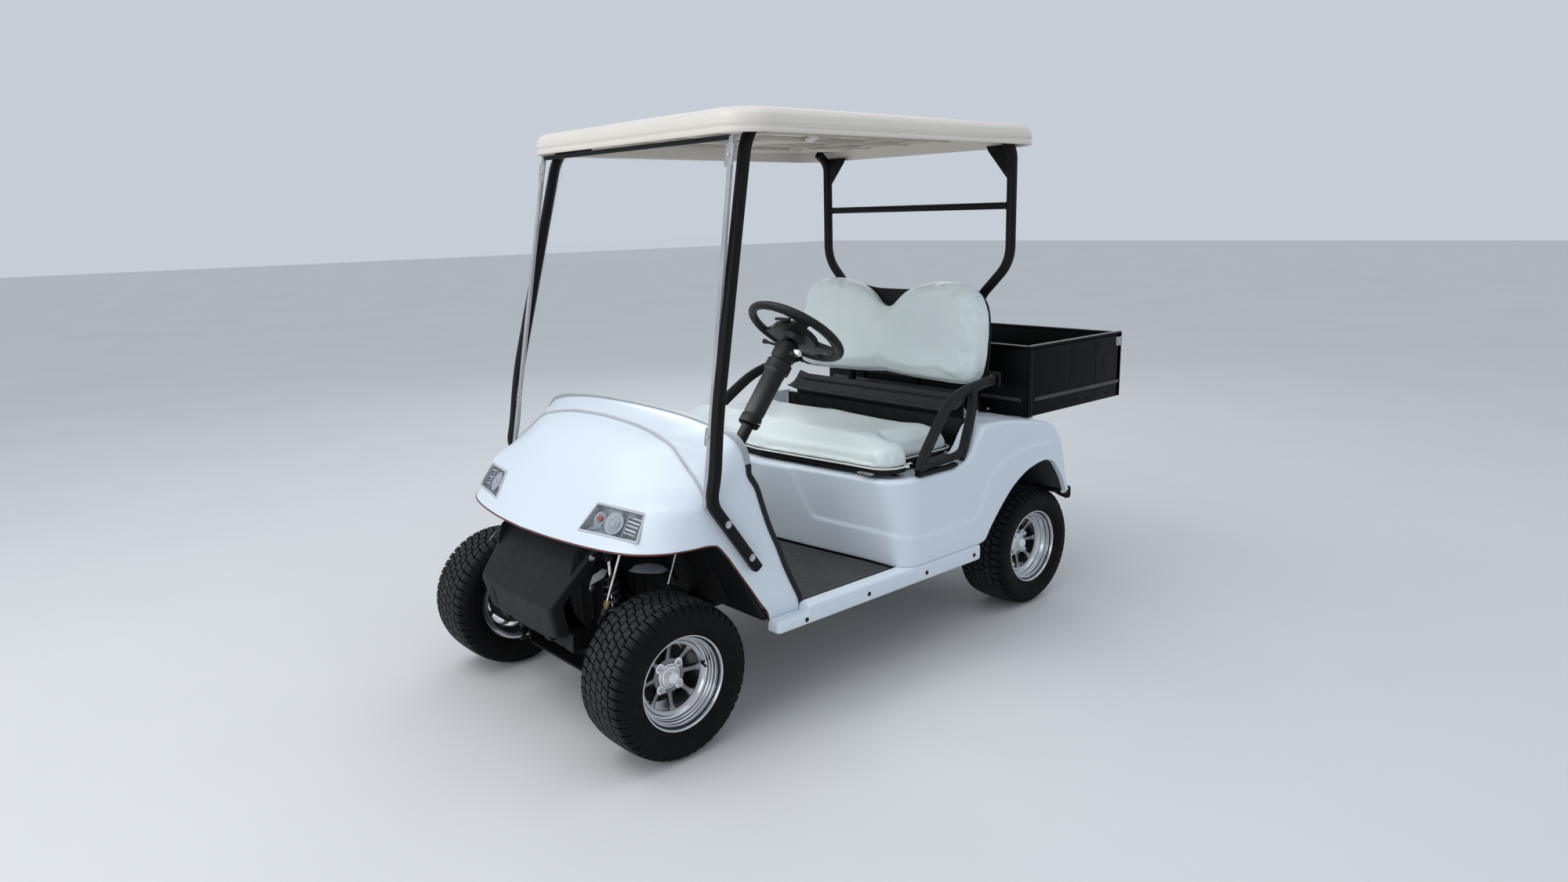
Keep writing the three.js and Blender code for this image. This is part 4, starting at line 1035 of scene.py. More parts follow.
def cowl_grid():
    rows = []
    for r in COWL:
        x, a, b, c, y1, z1, y2, z2, y3, z3, zr = [v / 1000 for v in r]
        rows.append([(x, a, 0.604), (x, b, 0.632), (x, c, 0.707), (x, y1, z1), (x, y2, z2), (x, y3, z3), (x, 0.250, zr)])
    R = np.array(rows)
    ch = np.linalg.norm(np.diff(R, axis=1), axis=2).mean(0)
    us = np.concatenate([[0], np.cumsum(ch)])
    v = np.linspace(0, us[-1], NV_COWL)
    stations = []
    for i, row in enumerate(R):
        stations.append(cubic(row, us, v) if i < len(R) - 1 else pchip(us, row, v))
    # cheek: straight lines from the wheel arch to the door edge
    n = 9
    A, E = resample([(0.552, y / 1000, z / 1000) for y, z in ARCH_FRONT], 60), resample([(0.552, y / 1000, z / 1000) for y, z in CHEEK_EDGE], 60)
    f = (v / us[-1])[:, None]
    for i in range(1, n):
        k = (i / (n - 1)) * 59
        j, t = int(min(k, 58)), k - int(min(k, 58))
        a, e = A[j] * (1 - t) + A[j + 1] * t, E[j] * (1 - t) + E[j + 1] * t
        stations.append(a * (1 - f) + e * f)
    S = np.array(stations)
    du = np.linalg.norm(np.diff(S, axis=0), axis=2).mean(1)
    u = np.concatenate([[0], np.cumsum(du)])
    nu = int(u[-1] / 0.0075)
    q = np.linspace(0, u[-1], nu)
    G = pchip(u, S, q)
    # the whole width: mirror about the middle
    L = G[1:][::-1].copy()
    L[:, :, 0] *= -1
    W = np.concatenate([L, G], 0)
    hold = np.ones(W.shape[:2])[:, :, None]
    flat = (np.abs(W[:, :, 0]) > 0.551)[:, :, None]
    W2 = smooth_grid(W, 26, 0.5)
    W2[:, 0], W2[:, -1] = W[:, 0], W[:, -1]
    # ease the two edges towards the held lines
    for k in range(1, 5):
        w = k / 5
        W2[:, k] = W[:, k] * (1 - w) + W2[:, k] * w
        W2[:, -1 - k] = W[:, -1 - k] * (1 - w) + W2[:, -1 - k] * w
    W2[:, :, 0] = np.clip(W2[:, :, 0], -0.552, 0.552)
    # the low step across the hood ahead of the windshield
    xs = [0, 0.2, 0.325, 0.377, 0.448, 0.52]
    ys = [0.094, 0.106, 0.122, 0.143, 0.175, 0.222]
    ax = np.abs(W2[:, :, 0])
    yc = np.interp(ax, xs, ys)
    q = (W2[:, :, 1] - yc) / 0.011
    amount = 0.0030 * (1 - smooth01((ax - 0.43) / 0.08))
    top = smooth01((W2[:, :, 2] - 0.74) / 0.03)
    N = grid_normals(W2)
    if N[nu, NV_COWL // 2, 2] < 0:
        N = -N
    W2 = W2 - N * (amount * smooth01(q) * top)[:, :, None]
    return W2, N


def lamp_frame(sgn=1):
    c = sum((Vector(LAMP[k]) for k in LAMP), Vector()) / 4
    n = LAMP_N.copy()
    u = (Vector(LAMP["ob"]) - Vector(LAMP["ib"]))
    u = (u - n * u.dot(n)).normalized()
    v = n.cross(u)
    if v.z < 0:
        v = -v
    pts = [((Vector(LAMP[k]) - c).dot(u), (Vector(LAMP[k]) - c).dot(v)) for k in ("it", "ib", "ob", "ot")]
    return at(*c), n, u, v, pts


def rounded_poly(pts, r, steps=5):
    out = []
    n = len(pts)
    for i in range(n):
        p0, p, p1 = Vector(pts[i - 1]), Vector(pts[i]), Vector(pts[(i + 1) % n])
        a, b = (p0 - p).normalized(), (p1 - p).normalized()
        s, e = p + a * r, p + b * r
        for k in range(steps + 1):
            t = k / steps
            q = s * (1 - t) ** 2 + p * 2 * t * (1 - t) + e * t * t
            out.append((q.x, q.y))
    return out


def offset_poly(pts, d):
    """Outline moved inwards by d (outwards if negative)."""
    n = len(pts)
    area2 = sum(pts[i][0] * pts[(i + 1) % n][1] - pts[(i + 1) % n][0] * pts[i][1] for i in range(n))
    sg = 1 if area2 > 0 else -1
    out = []
    for i in range(n):
        p0, p, p1 = Vector(pts[i - 1]), Vector(pts[i]), Vector(pts[(i + 1) % n])
        a, b = (p - p0), (p1 - p)
        if a.length < 1e-9 or b.length < 1e-9:
            out.append(tuple(p))
            continue
        a.normalize(); b.normalize()
        na, nb = Vector((-a.y, a.x)) * sg, Vector((-b.y, b.x)) * sg
        m = (na + nb)
        m = m / max(m.length_squared, 1e-6) * 2
        q = p + m * d
        out.append((q.x, q.y))
    return out


def boolean(ob, cutter, op="DIFFERENCE"):
    m = ob.modifiers.new("cut", "BOOLEAN")
    m.operation = op
    m.solver = "EXACT"
    m.object = cutter
    apply_mods(ob)
    d = cutter.data
    bpy.data.objects.remove(cutter)
    bpy.data.meshes.remove(d)
    return ob


def make_cowl():
    G, N = cowl_grid()
    Gw = G.copy()
    Gw[:, :, 1] += AY
    ob = grid_mesh("cowl_skin", Gw, WHITE)
    # outward is away from the cart's middle
    p = ob.data.polygons[len(ob.data.polygons) // 2]
    if p.normal.z < 0:
        ob.data.flip_normals()
    thicken(ob, 0.004)
    c, n, u, v, pts = lamp_frame()
    for sg in (1, -1):
        out = rounded_poly(offset_poly(pts, -0.0005), 0.007, 5)
        cut = plate("lamp_hole", out, 0.14, c - n * 0.07, u, v, WHITE, r=0)
        if sg < 0:
            cut2 = mirrored(cut, "lamp_hole2")
            bpy.data.objects.remove(cut)
            cut = cut2
        bm = bmesh.new(); bm.from_mesh(cut.data); bmesh.ops.recalc_face_normals(bm, faces=bm.faces); bm.to_mesh(cut.data); bm.free()
        boolean(ob, cut)
    shade(ob, True, 42)
    finish_piece(ob, "cart", ["front_cowl"])
    # a thin dark red line along the lower edge and round the arch: painted shadow, standing in for the dark line at the
    # lip
    nu = G.shape[0]
    lip = [Vector(Gw[i, 0]) for i in range(nu)]
    nn = N[:, 0]
    path = [lip[i] - Vector(nn[i]) * 0.0018 for i in range(0, nu)]
    arch_end = [i for i in range(nu) if G[i, 0, 2] > 0.30]
    path = [path[i] for i in range(arch_end[0], arch_end[-1] + 1)]
    lip_shadow_line = tube("cowl_lower_shadow_line", path, 0.0030, LIP_SHADOW_RED, 8)
    finish_piece(lip_shadow_line, "cart")
    # soft edge strip along the rear of the hood and down both door edges
    edge = [Vector(Gw[i, -1]) for i in range(nu)]
    keep = [i for i in range(nu) if G[i, -1, 2] > 0.335]
    pp, ups = [], []
    for i in range(keep[0], keep[-1] + 1):
        e, a = edge[i], Vector(N[i, -1])
        pp.append(e - a * 0.0025)
    section = [(0.0045, -0.001), (0.0045, 0.011), (0.002, 0.0165), (-0.004, 0.0185), (-0.010, 0.017), (-0.012, 0.010), (-0.012, -0.001)]
    verts, faces = [], []
    m = len(section)
    for k, i in enumerate(range(keep[0], keep[-1] + 1)):
        t = (edge[min(i + 1, nu - 1)] - edge[max(i - 1, 0)]).normalized()
        a = Vector(N[i, -1])
        a = (a - t * a.dot(t)).normalized()
        b = t.cross(a)
        inward = Vector(Gw[i, -1] - Gw[i, -3])
        if b.dot(inward) < 0:
            b = -b
        swell = 1.0
        for (p_, q_) in section:
            verts.append(edge[i] + a * p_ + b * q_)
    cnt = keep[-1] - keep[0] + 1
    for k in range(cnt - 1):
        for j in range(m):
            l = (j + 1) % m
            faces.append((k * m + j, k * m + l, (k + 1) * m + l, (k + 1) * m + j))
    faces.append(tuple(range(m))[::-1])
    faces.append(tuple((cnt - 1) * m + j for j in range(m)))
    st = mesh_object("hood_edge_strip", verts, faces, [STRIP_PALE, SKIN_BLACK], True,
                     face_mats=[0 if sum(verts[q][2] for q in f_) / len(f_) > 0.812 else 1 for f_ in faces])
    bm = bmesh.new(); bm.from_mesh(st.data); bmesh.ops.recalc_face_normals(bm, faces=bm.faces); bm.to_mesh(st.data); bm.free()
    shade(st, True, 50)
    finish_piece(st, "cart")
    return G, N


# dark red-brown for the thin line along the hood's lower edge: painted shadow
LIP_SHADOW_RED = surface("lip_shadow_line_red", (0.09, 0.018, 0.016), (0.12, 0.03, 0.025), 20, (0.4, 0.55), grain=(600, 0.3, 0.0005))
COWL_G, COWL_NRM = make_cowl()


def make_lamps():
    c, n, u, v, pts = lamp_frame()
    outer = rounded_poly(pts, 0.007, 5)
    m = len(outer)
    def P(q, h):
        return c + u * q[0] + v * q[1] + n * h
    def rings(name, rows, mat, close_end=True, angle=40):
        """rows of (inset, height): rings inside the outline; the last one shrinks to its middle if closed."""
        verts, faces = [], []
        for (ins, h) in rows:
            o = offset_poly(outer, ins) if ins < 0.02 else [(q[0] * (1 - ins / 0.05), q[1] * (1 - ins / 0.05)) for q in outer]
            verts += [P(q, h) for q in o]
        for i in range(len(rows) - 1):
            for k in range(m):
                l = (k + 1) % m
                faces.append((i * m + k, i * m + l, (i + 1) * m + l, (i + 1) * m + k))
        if close_end:
            verts.append(P((0, 0), rows[-1][1]))
            for k in range(m):
                faces.append(((len(rows) - 1) * m + k, (len(rows) - 1) * m + (k + 1) % m, len(verts) - 1))
        else:
            for k in range(m):
                l = (k + 1) % m
                faces.append(((len(rows) - 1) * m + k, (len(rows) - 1) * m + l, l, k))
        ob = mesh_object(name, verts, faces, mat, True)
        bm = bmesh.new(); bm.from_mesh(ob.data); bmesh.ops.recalc_face_normals(bm, faces=bm.faces); bm.to_mesh(ob.data); bm.free()
        shade(ob, True, angle)
        return ob
    # frame: a raised silver edge round the lens
    frame_ = rings("f", [(0.0, -0.020), (0.0, 0.0035), (0.0008, 0.0052), (0.0028, 0.0062), (0.0055, 0.0052), (0.0066, 0.003), (0.0068, -0.020)], LAMP_SILVER, False)
    # housing behind, with a floor
    bowl = rings("b", [(0.0010, -0.034), (0.0010, -0.0005), (0.0045, -0.0005), (0.0060, -0.028), (0.012, -0.030)], LAMP_BOWL, True, 30)
    parts = [frame_, bowl]
    # back of the housing
    back = rings("bk", [(0.0010, -0.033), (0.006, -0.037), (0.018, -0.039)], BLACK_PLASTIC, True, 40)
    parts.append(back)
    # main fluted reflector and a smaller one outboard
    def dish(q, R, flutes, depth, mat, tilt=0.0):
        verts, faces = [], []
        rows = [(1.12, 0.0), (1.04, 0.10), (0.98, 0.10), (0.90, 0.02), (0.74, -0.30), (0.56, -0.60), (0.38, -0.84), (0.22, -0.97), (0.15, -1.0)]
        seg = 72
        for (rr, hh) in rows:
            for k in range(seg):
                a = 2 * math.pi * k / seg
                w = 1.0 + (0.028 * math.cos(flutes * a) if 0.2 < rr < 0.95 else 0.0)
                p = P((q[0] + R * rr * w * math.cos(a), q[1] + R * rr * w * math.sin(a)), -0.010 + depth * hh)
                verts.append(p)
        for i in range(len(rows) - 1):
            for k in range(seg):
                l = (k + 1) % seg
                faces.append((i * seg + k, i * seg + l, (i + 1) * seg + l, (i + 1) * seg + k))
        verts.append(P(q, -0.010 - depth))
        for k in range(seg):
            faces.append(((len(rows) - 1) * seg + k, (len(rows) - 1) * seg + (k + 1) % seg, len(verts) - 1))
        ob = mesh_object("d", verts, faces, mat, True)
        bm = bmesh.new(); bm.from_mesh(ob.data); bmesh.ops.recalc_face_normals(bm, faces=bm.faces); bm.to_mesh(ob.data); bm.free()
        shade(ob, True, 24)
        return ob
    parts.append(dish((-0.010, -0.001), 0.0300, 18, 0.018, LAMP_BOWL))
    parts.append(turn_between("bulb", P((-0.010, -0.001), -0.026), P((-0.010, -0.001), -0.004), [(0, 0.006), (0.3, 0.006), (0.4, 0.0045), (0.85, 0.0045), (1, 0.002)], LENS_FROST, 16))
    parts.append(turn_between("bulb_cap", P((-0.010, -0.001), -0.006), P((-0.010, -0.001), 0.0), [(0, 0.007), (0.5, 0.0068), (1, 0.003)], CHROME, 16))
    # amber turn lamp at the inner end, red-orange bulb in it
    parts.append(dish((-0.066, 0.004), 0.0185, 12, 0.014, LAMP_BOWL))
    parts.append(turn_between("amber_bulb", P((-0.066, 0.004), -0.022), P((-0.066, 0.004), -0.001), [(0, 0.005), (0.4, 0.0062), (0.75, 0.0062), (1, 0.003)], AMBER_RED, 18))
    # stepped bars in the outer third
    hw = [(0.038, 0.026), (0.036, 0.0145), (0.035, 0.003), (0.034, -0.0085), (0.033, -0.020)]
    for k, (x0, y0) in enumerate(hw):
        a, b = P((0.040, y0), -0.008), P((0.086 - 0.002 * k, y0 - 0.004), -0.008)
        parts.append(sweep(f"bar{k}", [a, b], [(-0.0035, -0.010), (0.0035, -0.010), (0.0035, -0.001), (0.001, 0.0025), (-0.0035, 0.0)], CHROME if k % 2 else LAMP_WHITE, up=v))
    parts.append(plate("divider", [(0.030, -0.034), (0.034, -0.034), (0.036, 0.030), (0.032, 0.030)], 0.016, c - n * 0.026, u, v, LAMP_SILVER, r=0.001))
    left = merge("headlight_left_housing", parts)
    right = mirrored(left, "headlight_right_housing")
    lens = rings("headlight_left_lens", [(0.0058, 0.0), (0.0058, 0.0030), (0.0085, 0.0044), (0.013, 0.0052), (0.022, 0.0062), (0.036, 0.0068), (0.046, 0.0070)], LENS, True)
    for sg, o in ((1, lens), (-1, None)):
        pass
    lens_r = mirrored(lens, "headlight_right_lens")
    for ob, nm in ((left, "left"), (right, "right")):
        shade(ob, True, 30)
        finish_piece(ob, "cart", [f"headlight_{nm}"])
    for ob in (lens, lens_r):
        finish_piece(ob, "cart")


LAMP_SILVER = surface("lamp_frame_silver", (0.50, 0.52, 0.545), (0.58, 0.60, 0.62), 25, (0.25, 0.38), metal=0.15, grain=(500, 0.2, 0.0004))
LAMP_BOWL = surface("lamp_bright_bowl", (0.72, 0.755, 0.79), (0.80, 0.83, 0.86), 25, (0.16, 0.28), metal=0.25, grain=(500, 0.2, 0.0004))
LAMP_WHITE = surface("lamp_white_bars", (0.80, 0.81, 0.83), (0.86, 0.87, 0.88), 25, (0.2, 0.35), metal=0.2, grain=(500, 0.2, 0.0004))
LENS_FROST = surface("frosted_bulb_glass", (0.85, 0.85, 0.84), (0.92, 0.92, 0.91), 60, (0.15, 0.3), coat=0.5, grain=(700, 0.3, 0.0004))
AMBER_RED = surface("orange_bulb_glass", (0.62, 0.16, 0.13), (0.70, 0.22, 0.17), 60, (0.12, 0.25), coat=0.6, grain=(700, 0.3, 0.0004))
make_lamps()


# ------------------------------------------------------------------ body behind the floor: one moulded skin
BODY_TOP = [(0.838, 0.648), (1.110, 0.648), (1.165, 0.652), (1.203, 0.668), (1.234, 0.694), (1.266, 0.738), (1.288, 0.762), (1.315, 0.7705), (1.400, 0.769), (1.540, 0.752), (1.650, 0.731), (1.718, 0.706), (1.752, 0.672),
            (1.772, 0.632), (1.795, 0.545), (1.818, 0.440)]
ARCH_REAR = [(1.272, 0.350), (1.292, 0.354), (1.329, 0.396), (1.408, 0.478), (1.473, 0.530), (1.572, 0.573), (1.650, 0.584), (1.700, 0.573), (1.745, 0.532), (1.788, 0.466), (1.799, 0.440)]
CONTOUR = [(0.126, 0.668), (0.143, 0.628), (0.204, 0.492), (0.216, 0.471), (0.236, 0.465), (0.372, 0.463), (0.53, 0.463), (0.64, 0.450), (0.673, 0.446), (0.770, 0.446), (0.950, 0.447), (0.976, 0.460),
           (1.026, 0.566), (1.042, 0.587), (1.100, 0.618), (1.159, 0.641), (1.250, 0.651), (1.353, 0.653), (1.420, 0.647), (1.452, 0.628), (1.475, 0.590), (1.510, 0.560)]


def smooth_line(pts, n):
    P = np.array(pts, float)
    d = np.concatenate([[0], np.cumsum(np.linalg.norm(np.diff(P, axis=0), axis=1))])
    return pchip(d, P, np.linspace(0, d[-1], n))


def polyline_distance(px, pz, line):
    """Distance from points to a polyline, and which side of it they lie on (+ above / to the right)."""
    best = np.full(px.shape, 9.0)
    sign = np.ones(px.shape)
    for (x0, z0), (x1, z1) in zip(line[:-1], line[1:]):
        dx, dz = x1 - x0, z1 - z0
        t = np.clip(((px - x0) * dx + (pz - z0) * dz) / (dx * dx + dz * dz), 0, 1)
        d = np.hypot(px - x0 - t * dx, pz - z0 - t * dz)
        side = np.sign(dx * (pz - z0) - dz * (px - x0))
        near = d < best - 1e-9
        best = np.where(near, d, best)
        sign = np.where(near, side, sign)
    return best * np.where(sign == 0, 1, sign)


def make_body():
    RC, RCT, RT = 0.066, 0.110, 0.020
    bx, bb = [0, 0.240, 0.410, 0.600], [0, 0.026, 0.047, 0.063]
    setback = lambda x: float(pchip(bx, np.array(bb)[:, None], [x])[0, 0]) if x > 1e-6 else 0.0
    xc, xct = 0.600 - RC, 0.600 - RCT
    top, low = smooth_line(BODY_TOP, 700), smooth_line(ARCH_REAR, 400)
    yb0, yt0 = 0.818 + setback(xc) + RC, 0.772 + setback(xct) + RCT
    low = np.concatenate([np.stack([np.linspace(yb0, 1.270, 200), np.full(200, 0.350)], 1), low])
    top = top[top[:, 0] >= yt0]
    def arc(P):
        return np.concatenate([[0], np.cumsum(np.linalg.norm(np.diff(P, axis=0), axis=1))])
    al, at_ = arc(low), arc(top)
    def at_y(P, A, y, z=None):
        if z is not None:
            i = int(np.argmin((P[:, 0] - y) ** 2 + (P[:, 1] - z) ** 2))
            return A[i]
        return float(np.interp(y, P[:, 0], A))
    keys_b = [0.0] + [at_y(low, al, y) for y in (1.10, 1.262, 1.329, 1.408, 1.473, 1.572, 1.650)] + [at_y(low, al, 1.745, 0.532), at_y(low, al, 1.788, 0.466), al[-1]]
    keys_t = [0.0] + [at_y(top, at_, y) for y in (1.085, 1.210, 1.275, 1.368, 1.450, 1.568, 1.655)] + [at_y(top, at_, 1.752, 0.672), at_y(top, at_, 1.795, 0.545), at_[-1]]
    total = 1.15
    kk = np.linspace(0, total, 200)
    K = np.interp(np.linspace(0, 1, len(keys_b)), np.linspace(0, 1, len(keys_b)), np.array(keys_b))
    st = []
    # front, centre to corner
    for q in np.linspace(0, 1, 46):
        x, xt = q * xc, q * xct
        st.append(((x, 0.818 + setback(x), 0.350), (xt, 0.772 + setback(xt), 0.648), (0, 1, 0), (0, 0, 1), x, xt))
    for k in range(1, 15):
        a = math.pi / 2 * k / 15
        b, bt = setback(xc), setback(xct)
        st.append(((xc + RC * math.sin(a), 0.818 + b + RC * (1 - math.cos(a)), 0.350), (xct + RCT * math.sin(a), 0.772 + bt + RCT * (1 - math.cos(a)), 0.648),
                   (-math.sin(a), math.cos(a), 0), (0, 0, 1), xc + (0.64 - xc) * k / 15, xct + (0.655 - xct) * k / 15))
    # side: pairs along the lower and the upper edge
    n_side = 150
    kb, kt = np.array(keys_b), np.array(keys_t)
    span = (np.diff(kb) + np.diff(kt)) / 2
    cum = np.concatenate([[0], np.cumsum(span)])
    sb = pchip(cum, kb[:, None], np.linspace(0, cum[-1], n_side))[:, 0]
    stt = pchip(cum, kt[:, None], np.linspace(0, cum[-1], n_side))[:, 0]
    def read(P, A, s):
        return np.array([np.interp(s, A, P[:, 0]), np.interp(s, A, P[:, 1])])
    for i in range(n_side):
        B, T = read(low, al, sb[i]), read(top, at_, stt[i])
        T0, T1 = read(top, at_, max(stt[i] - 0.004, 0)), read(top, at_, min(stt[i] + 0.004, at_[-1]))
        d = T1 - T0
        d = d / np.linalg.norm(d)
        nt_ = (0, -d[1], d[0])
        st.append(((0.600, B[0], B[1]), (0.600, T[0], T[1]), (-1, 0, 0), nt_, 0.64 + B[0] - 0.921, 0.655 + T[0] - yt0))
    NF, NW, NR, NI = 5, 46, 7, 9
    rows, pp = [], []
    for (B, T, inn, nt_, pb, pt) in st:
        B, T, inn, nt_ = map(lambda q: np.array(q, float), (B, T, inn, nt_))
        wall = np.linalg.norm(T - B)
        r = min(RT, 0.42 * wall)
        Te = T - nt_ * r
        w = (Te - B)
        wl = np.linalg.norm(w)
        wn = w / max(wl, 1e-6)
        pts, ps = [], []
        rf = min(0.005, wl * 0.2)
        for k in range(NF):                      # flange turned in along the bottom
            t = k / NF
            pts.append(B + inn * (0.020 * (1 - t) + 0.004 * t)); ps.append(pb)
        for k in range(NW + 1):
            t = k / NW
            if k == 0:
                pts.append(B + inn * 0.0012 + wn * 0.0012)
            else:
                pts.append(B + w * t)
            ps.append(pb * (1 - t) + pt * t)
        C = Te + inn * r
        for k in range(1, NR + 1):
            a = math.pi / 2 * k / NR
            pts.append(C - inn * r * math.cos(a) + nt_ * r * math.sin(a)); ps.append(pt)
        last = pts[-1]
        if abs(inn[0]) < 1e-6:
            end = last + inn * 0.060
        elif abs(inn[1]) < 1e-6:
            end = np.array([0.500, last[1], last[2]])
        else:
            end = np.array([0.500, min(last[1] + 0.05, 0.868), last[2]])
            f = abs(inn[1])
            end = np.array([0.500 * (1 - f) + last[0] * f, (last[1] * (1 - f)) + (last[1] + 0.060) * f, last[2]])
        for k in range(1, NI + 1):
            t = k / NI
            pts.append(last * (1 - t) + end * t); ps.append(pt)
        rows.append(pts); pp.append(ps)
    G, PP = np.array(rows), np.array(pp)
    N = grid_normals(G)
    if N[20, NF + 20, 1] > 0:
        N = -N
    q = polyline_distance(PP, G[:, :, 2], CONTOUR) / 0.013
    onwall = np.zeros(G.shape[:2])
    onwall[:, NF:NF + NW + NR - 1] = 1.0
    nr = NR + NI
    for k in range(NR + 2):
        onwall[:, NF + NW + k] = max(0.0, 1 - k / NR)
    tail = 1 - smooth01((G[:, :, 1] - 1.735) / 0.04)
    rec = 0.0052 * smooth01(q + 0.5) * onwall * tail
    G = G - N * rec[:, :, None]
    G[:, :, 0] = np.clip(G[:, :, 0], 0, 0.600)
    side_top = G[60:, NF + NW + NR:, :].copy()
    L = G[1:][::-1].copy()
    L[:, :, 0] *= -1
    W = np.concatenate([L, G], 0)
    W[:, :, 1] += AY
    ob = grid_mesh("body_shell", W, WHITE)
    i = (W.shape[0] // 2) * (W.shape[1] - 1) + NF + 20
    if ob.data.polygons[i].normal.y > 0:
        ob.data.flip_normals()
    thicken(ob, 0.0035)
    shade(ob, True, 50)
    finish_piece(ob, "cart", ["seat_pod_front", "body_side_left", "body_side_right"])
    # deck panel between the sides, from the wall behind the seat over the top and down the back
    path = [(1.3625, 0.655), (1.3625, 0.700), (1.3625, 0.745)]
    for k in range(1, 7):
        a = math.pi / 2 * k / 6
        path.append((1.3625 + 0.022 * (1 - math.cos(a)), 0.747 + 0.0215 * math.sin(a)))
    tt = top[top[:, 0] > 1.392]
    for j in range(0, len(tt), 9):
        path.append(tuple(tt[j]))
    path.append(tuple(tt[-1]))
    D = []
    for x in np.linspace(-0.4995, 0.4995, 70):
        crown = 0.004 * (1 - (x / 0.4995) ** 2)
        row = []
        for (y, z) in path:
            row.append((x, y + AY, z + crown * (1.0 if z > 0.70 and y < 1.70 else 0.0) * float(smooth01((y - 1.37) / 0.05)) * float(smooth01((1.72 - y) / 0.06))))
        D.append(row)
    D = np.array(D)
    deck = grid_mesh("deck_panel", D, WHITE)
    if deck.data.polygons[len(path) * 30].normal.z < 0 and deck.data.polygons[len(path) * 30 + 10].normal.z < 0:
        deck.data.flip_normals()
    up = sum(p.normal.z for p in deck.data.polygons)
    if up < 0:
        deck.data.flip_normals()
    thicken(deck, 0.0035)
    shade(deck, True, 40)
    finish_piece(deck, "cart")
    # inner walls of the shoulders beside the seat
    sh = top[(top[:, 0] > 1.190) & (top[:, 0] < 1.366)]
    Wl = np.array([[(0.5005, y + AY, z - 0.002 - (z - 0.002 - 0.655) * k / 8) for k in range(9)] for y, z in sh[::4] if z > 0.662])
    wl_ = grid_mesh("shoulder_inner_wall_left", Wl, WHITE)
    if wl_.data.polygons[5].normal.x > 0:
        wl_.data.flip_normals()
    thicken(wl_, 0.003)
    shade(wl_, True, 40)
    wr_ = mirrored(wl_, "shoulder_inner_wall_right")
    for o in (wl_, wr_):
        shade(o, True, 40)
        finish_piece(o, "cart")
    # liners over the rear wheels
    lw = smooth_line(ARCH_REAR, 60)[5:]
    d = np.gradient(lw, axis=0)
    nn = np.stack([-d[:, 1], d[:, 0]], 1)
    nn /= np.linalg.norm(nn, axis=1, keepdims=True)
    if nn[20, 1] < 0:
        nn = -nn
    lw = lw + nn * 0.0045
    xs = [0.588, 0.580, 0.560, 0.54, 0.50, 0.46, 0.42, 0.38, 0.352, 0.345]
    LG = np.array([[(x, y + AY, z + (0.0 if x > 0.55 else 0.0)) for x in xs] for y, z in lw])
    wallrows = []
    for (y, z) in lw:
        zz = min(z, 0.42)
        wallrows.append([(0.3445, y + AY, z - (z - zz) * k / 6 - 0.001 * k) for k in range(1, 7)])
    LG = np.concatenate([LG, np.array(wallrows)], 1)
    ln = grid_mesh("rear_wheel_liner_left", LG, LINER)
    thicken(ln, 0.0025, 0.0)
    shade(ln, True, 40)
    lr = mirrored(ln, "rear_wheel_liner_right")
    shade(lr, True, 40)
    for o in (ln, lr):
        finish_piece(o, "cart")


make_body()


def make_rockers():
    lo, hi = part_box("rocker_left")
    y0, y1 = lo.y - AY, hi.y - AY
    def prof(z1):
        # cross-section (x, z), rounded outside, small drip edge below
        pts = [(0.5545, 0.2905), (0.590, 0.2905), (0.5945, 0.2912), (0.5978, 0.2935), (0.5995, 0.297), (0.600, 0.302), (0.600, z1 - 0.012), (0.5993, z1 - 0.007), (0.597, z1 - 0.003), (0.593, z1 - 0.0008),
               (0.588, z1), (0.5545, z1 + 0.0003)]
        return pts
    verts, faces = [], []
    stations = [(0.3135, 0.318, 0.012), (0.3155, 0.3235, 0.006), (0.320, 0.3262, 0.002), (0.328, 0.3265, 0.0), (0.40, 0.3265, 0.0), (0.4372, 0.3265, 0.0), (0.4395, 0.332, 0.0), (0.4405, 0.345, 0.0), (0.444, 0.3497, 0.0),
                (0.465, 0.350, 0.0)]
    stations += [(y, 0.350, 0.0) for y in np.linspace(0.50, 1.262, 24)] + [(1.268, 0.3494, 0.0015), (1.2715, 0.347, 0.004), (1.2728, 0.343, 0.009)]
    for (y, z1, ins) in stations:
        for (x, z) in prof(z1):
            cx, cz = 0.577, 0.5 * (0.2905 + z1)
            k = 1 - ins / 0.03
            xx = cx + (x - cx) * k if x > cx else x
            verts.append(at(xx, y, cz + (z - cz) * k))
    m = 12
    for i in range(len(stations) - 1):
        for j in range(m):
            l = (j + 1) % m
            faces.append((i * m + j, i * m + l, (i + 1) * m + l, (i + 1) * m + j))
    faces.append(tuple(range(m))[::-1])
    faces.append(tuple((len(stations) - 1) * m + j for j in range(m)))
    ob = mesh_object("rocker_left_bar", verts, faces, WHITE, True)
    bm = bmesh.new(); bm.from_mesh(ob.data); bmesh.ops.recalc_face_normals(bm, faces=bm.faces); bm.to_mesh(ob.data); bm.free()
    shade(ob, True, 32)
    parts = [ob]
    for y, z in ((0.428, 0.308), (0.70, 0.316), (0.98, 0.316), (1.235, 0.316)):
        parts.append(bolt("s", at(0.5998, y, z), (1, 0, 0), r=0.0042, head=0.0020, mat=BLACK_PLASTIC, washer=True, dome=True))
    left = merge("rocker_left_bar", parts)
    shade(left, True, 32)
    right = mirrored(left, "rocker_right_bar")
    shade(right, True, 32)
    finish_piece(left, "cart", ["rocker_left"])
    finish_piece(right, "cart", ["rocker_right"])


make_rockers()


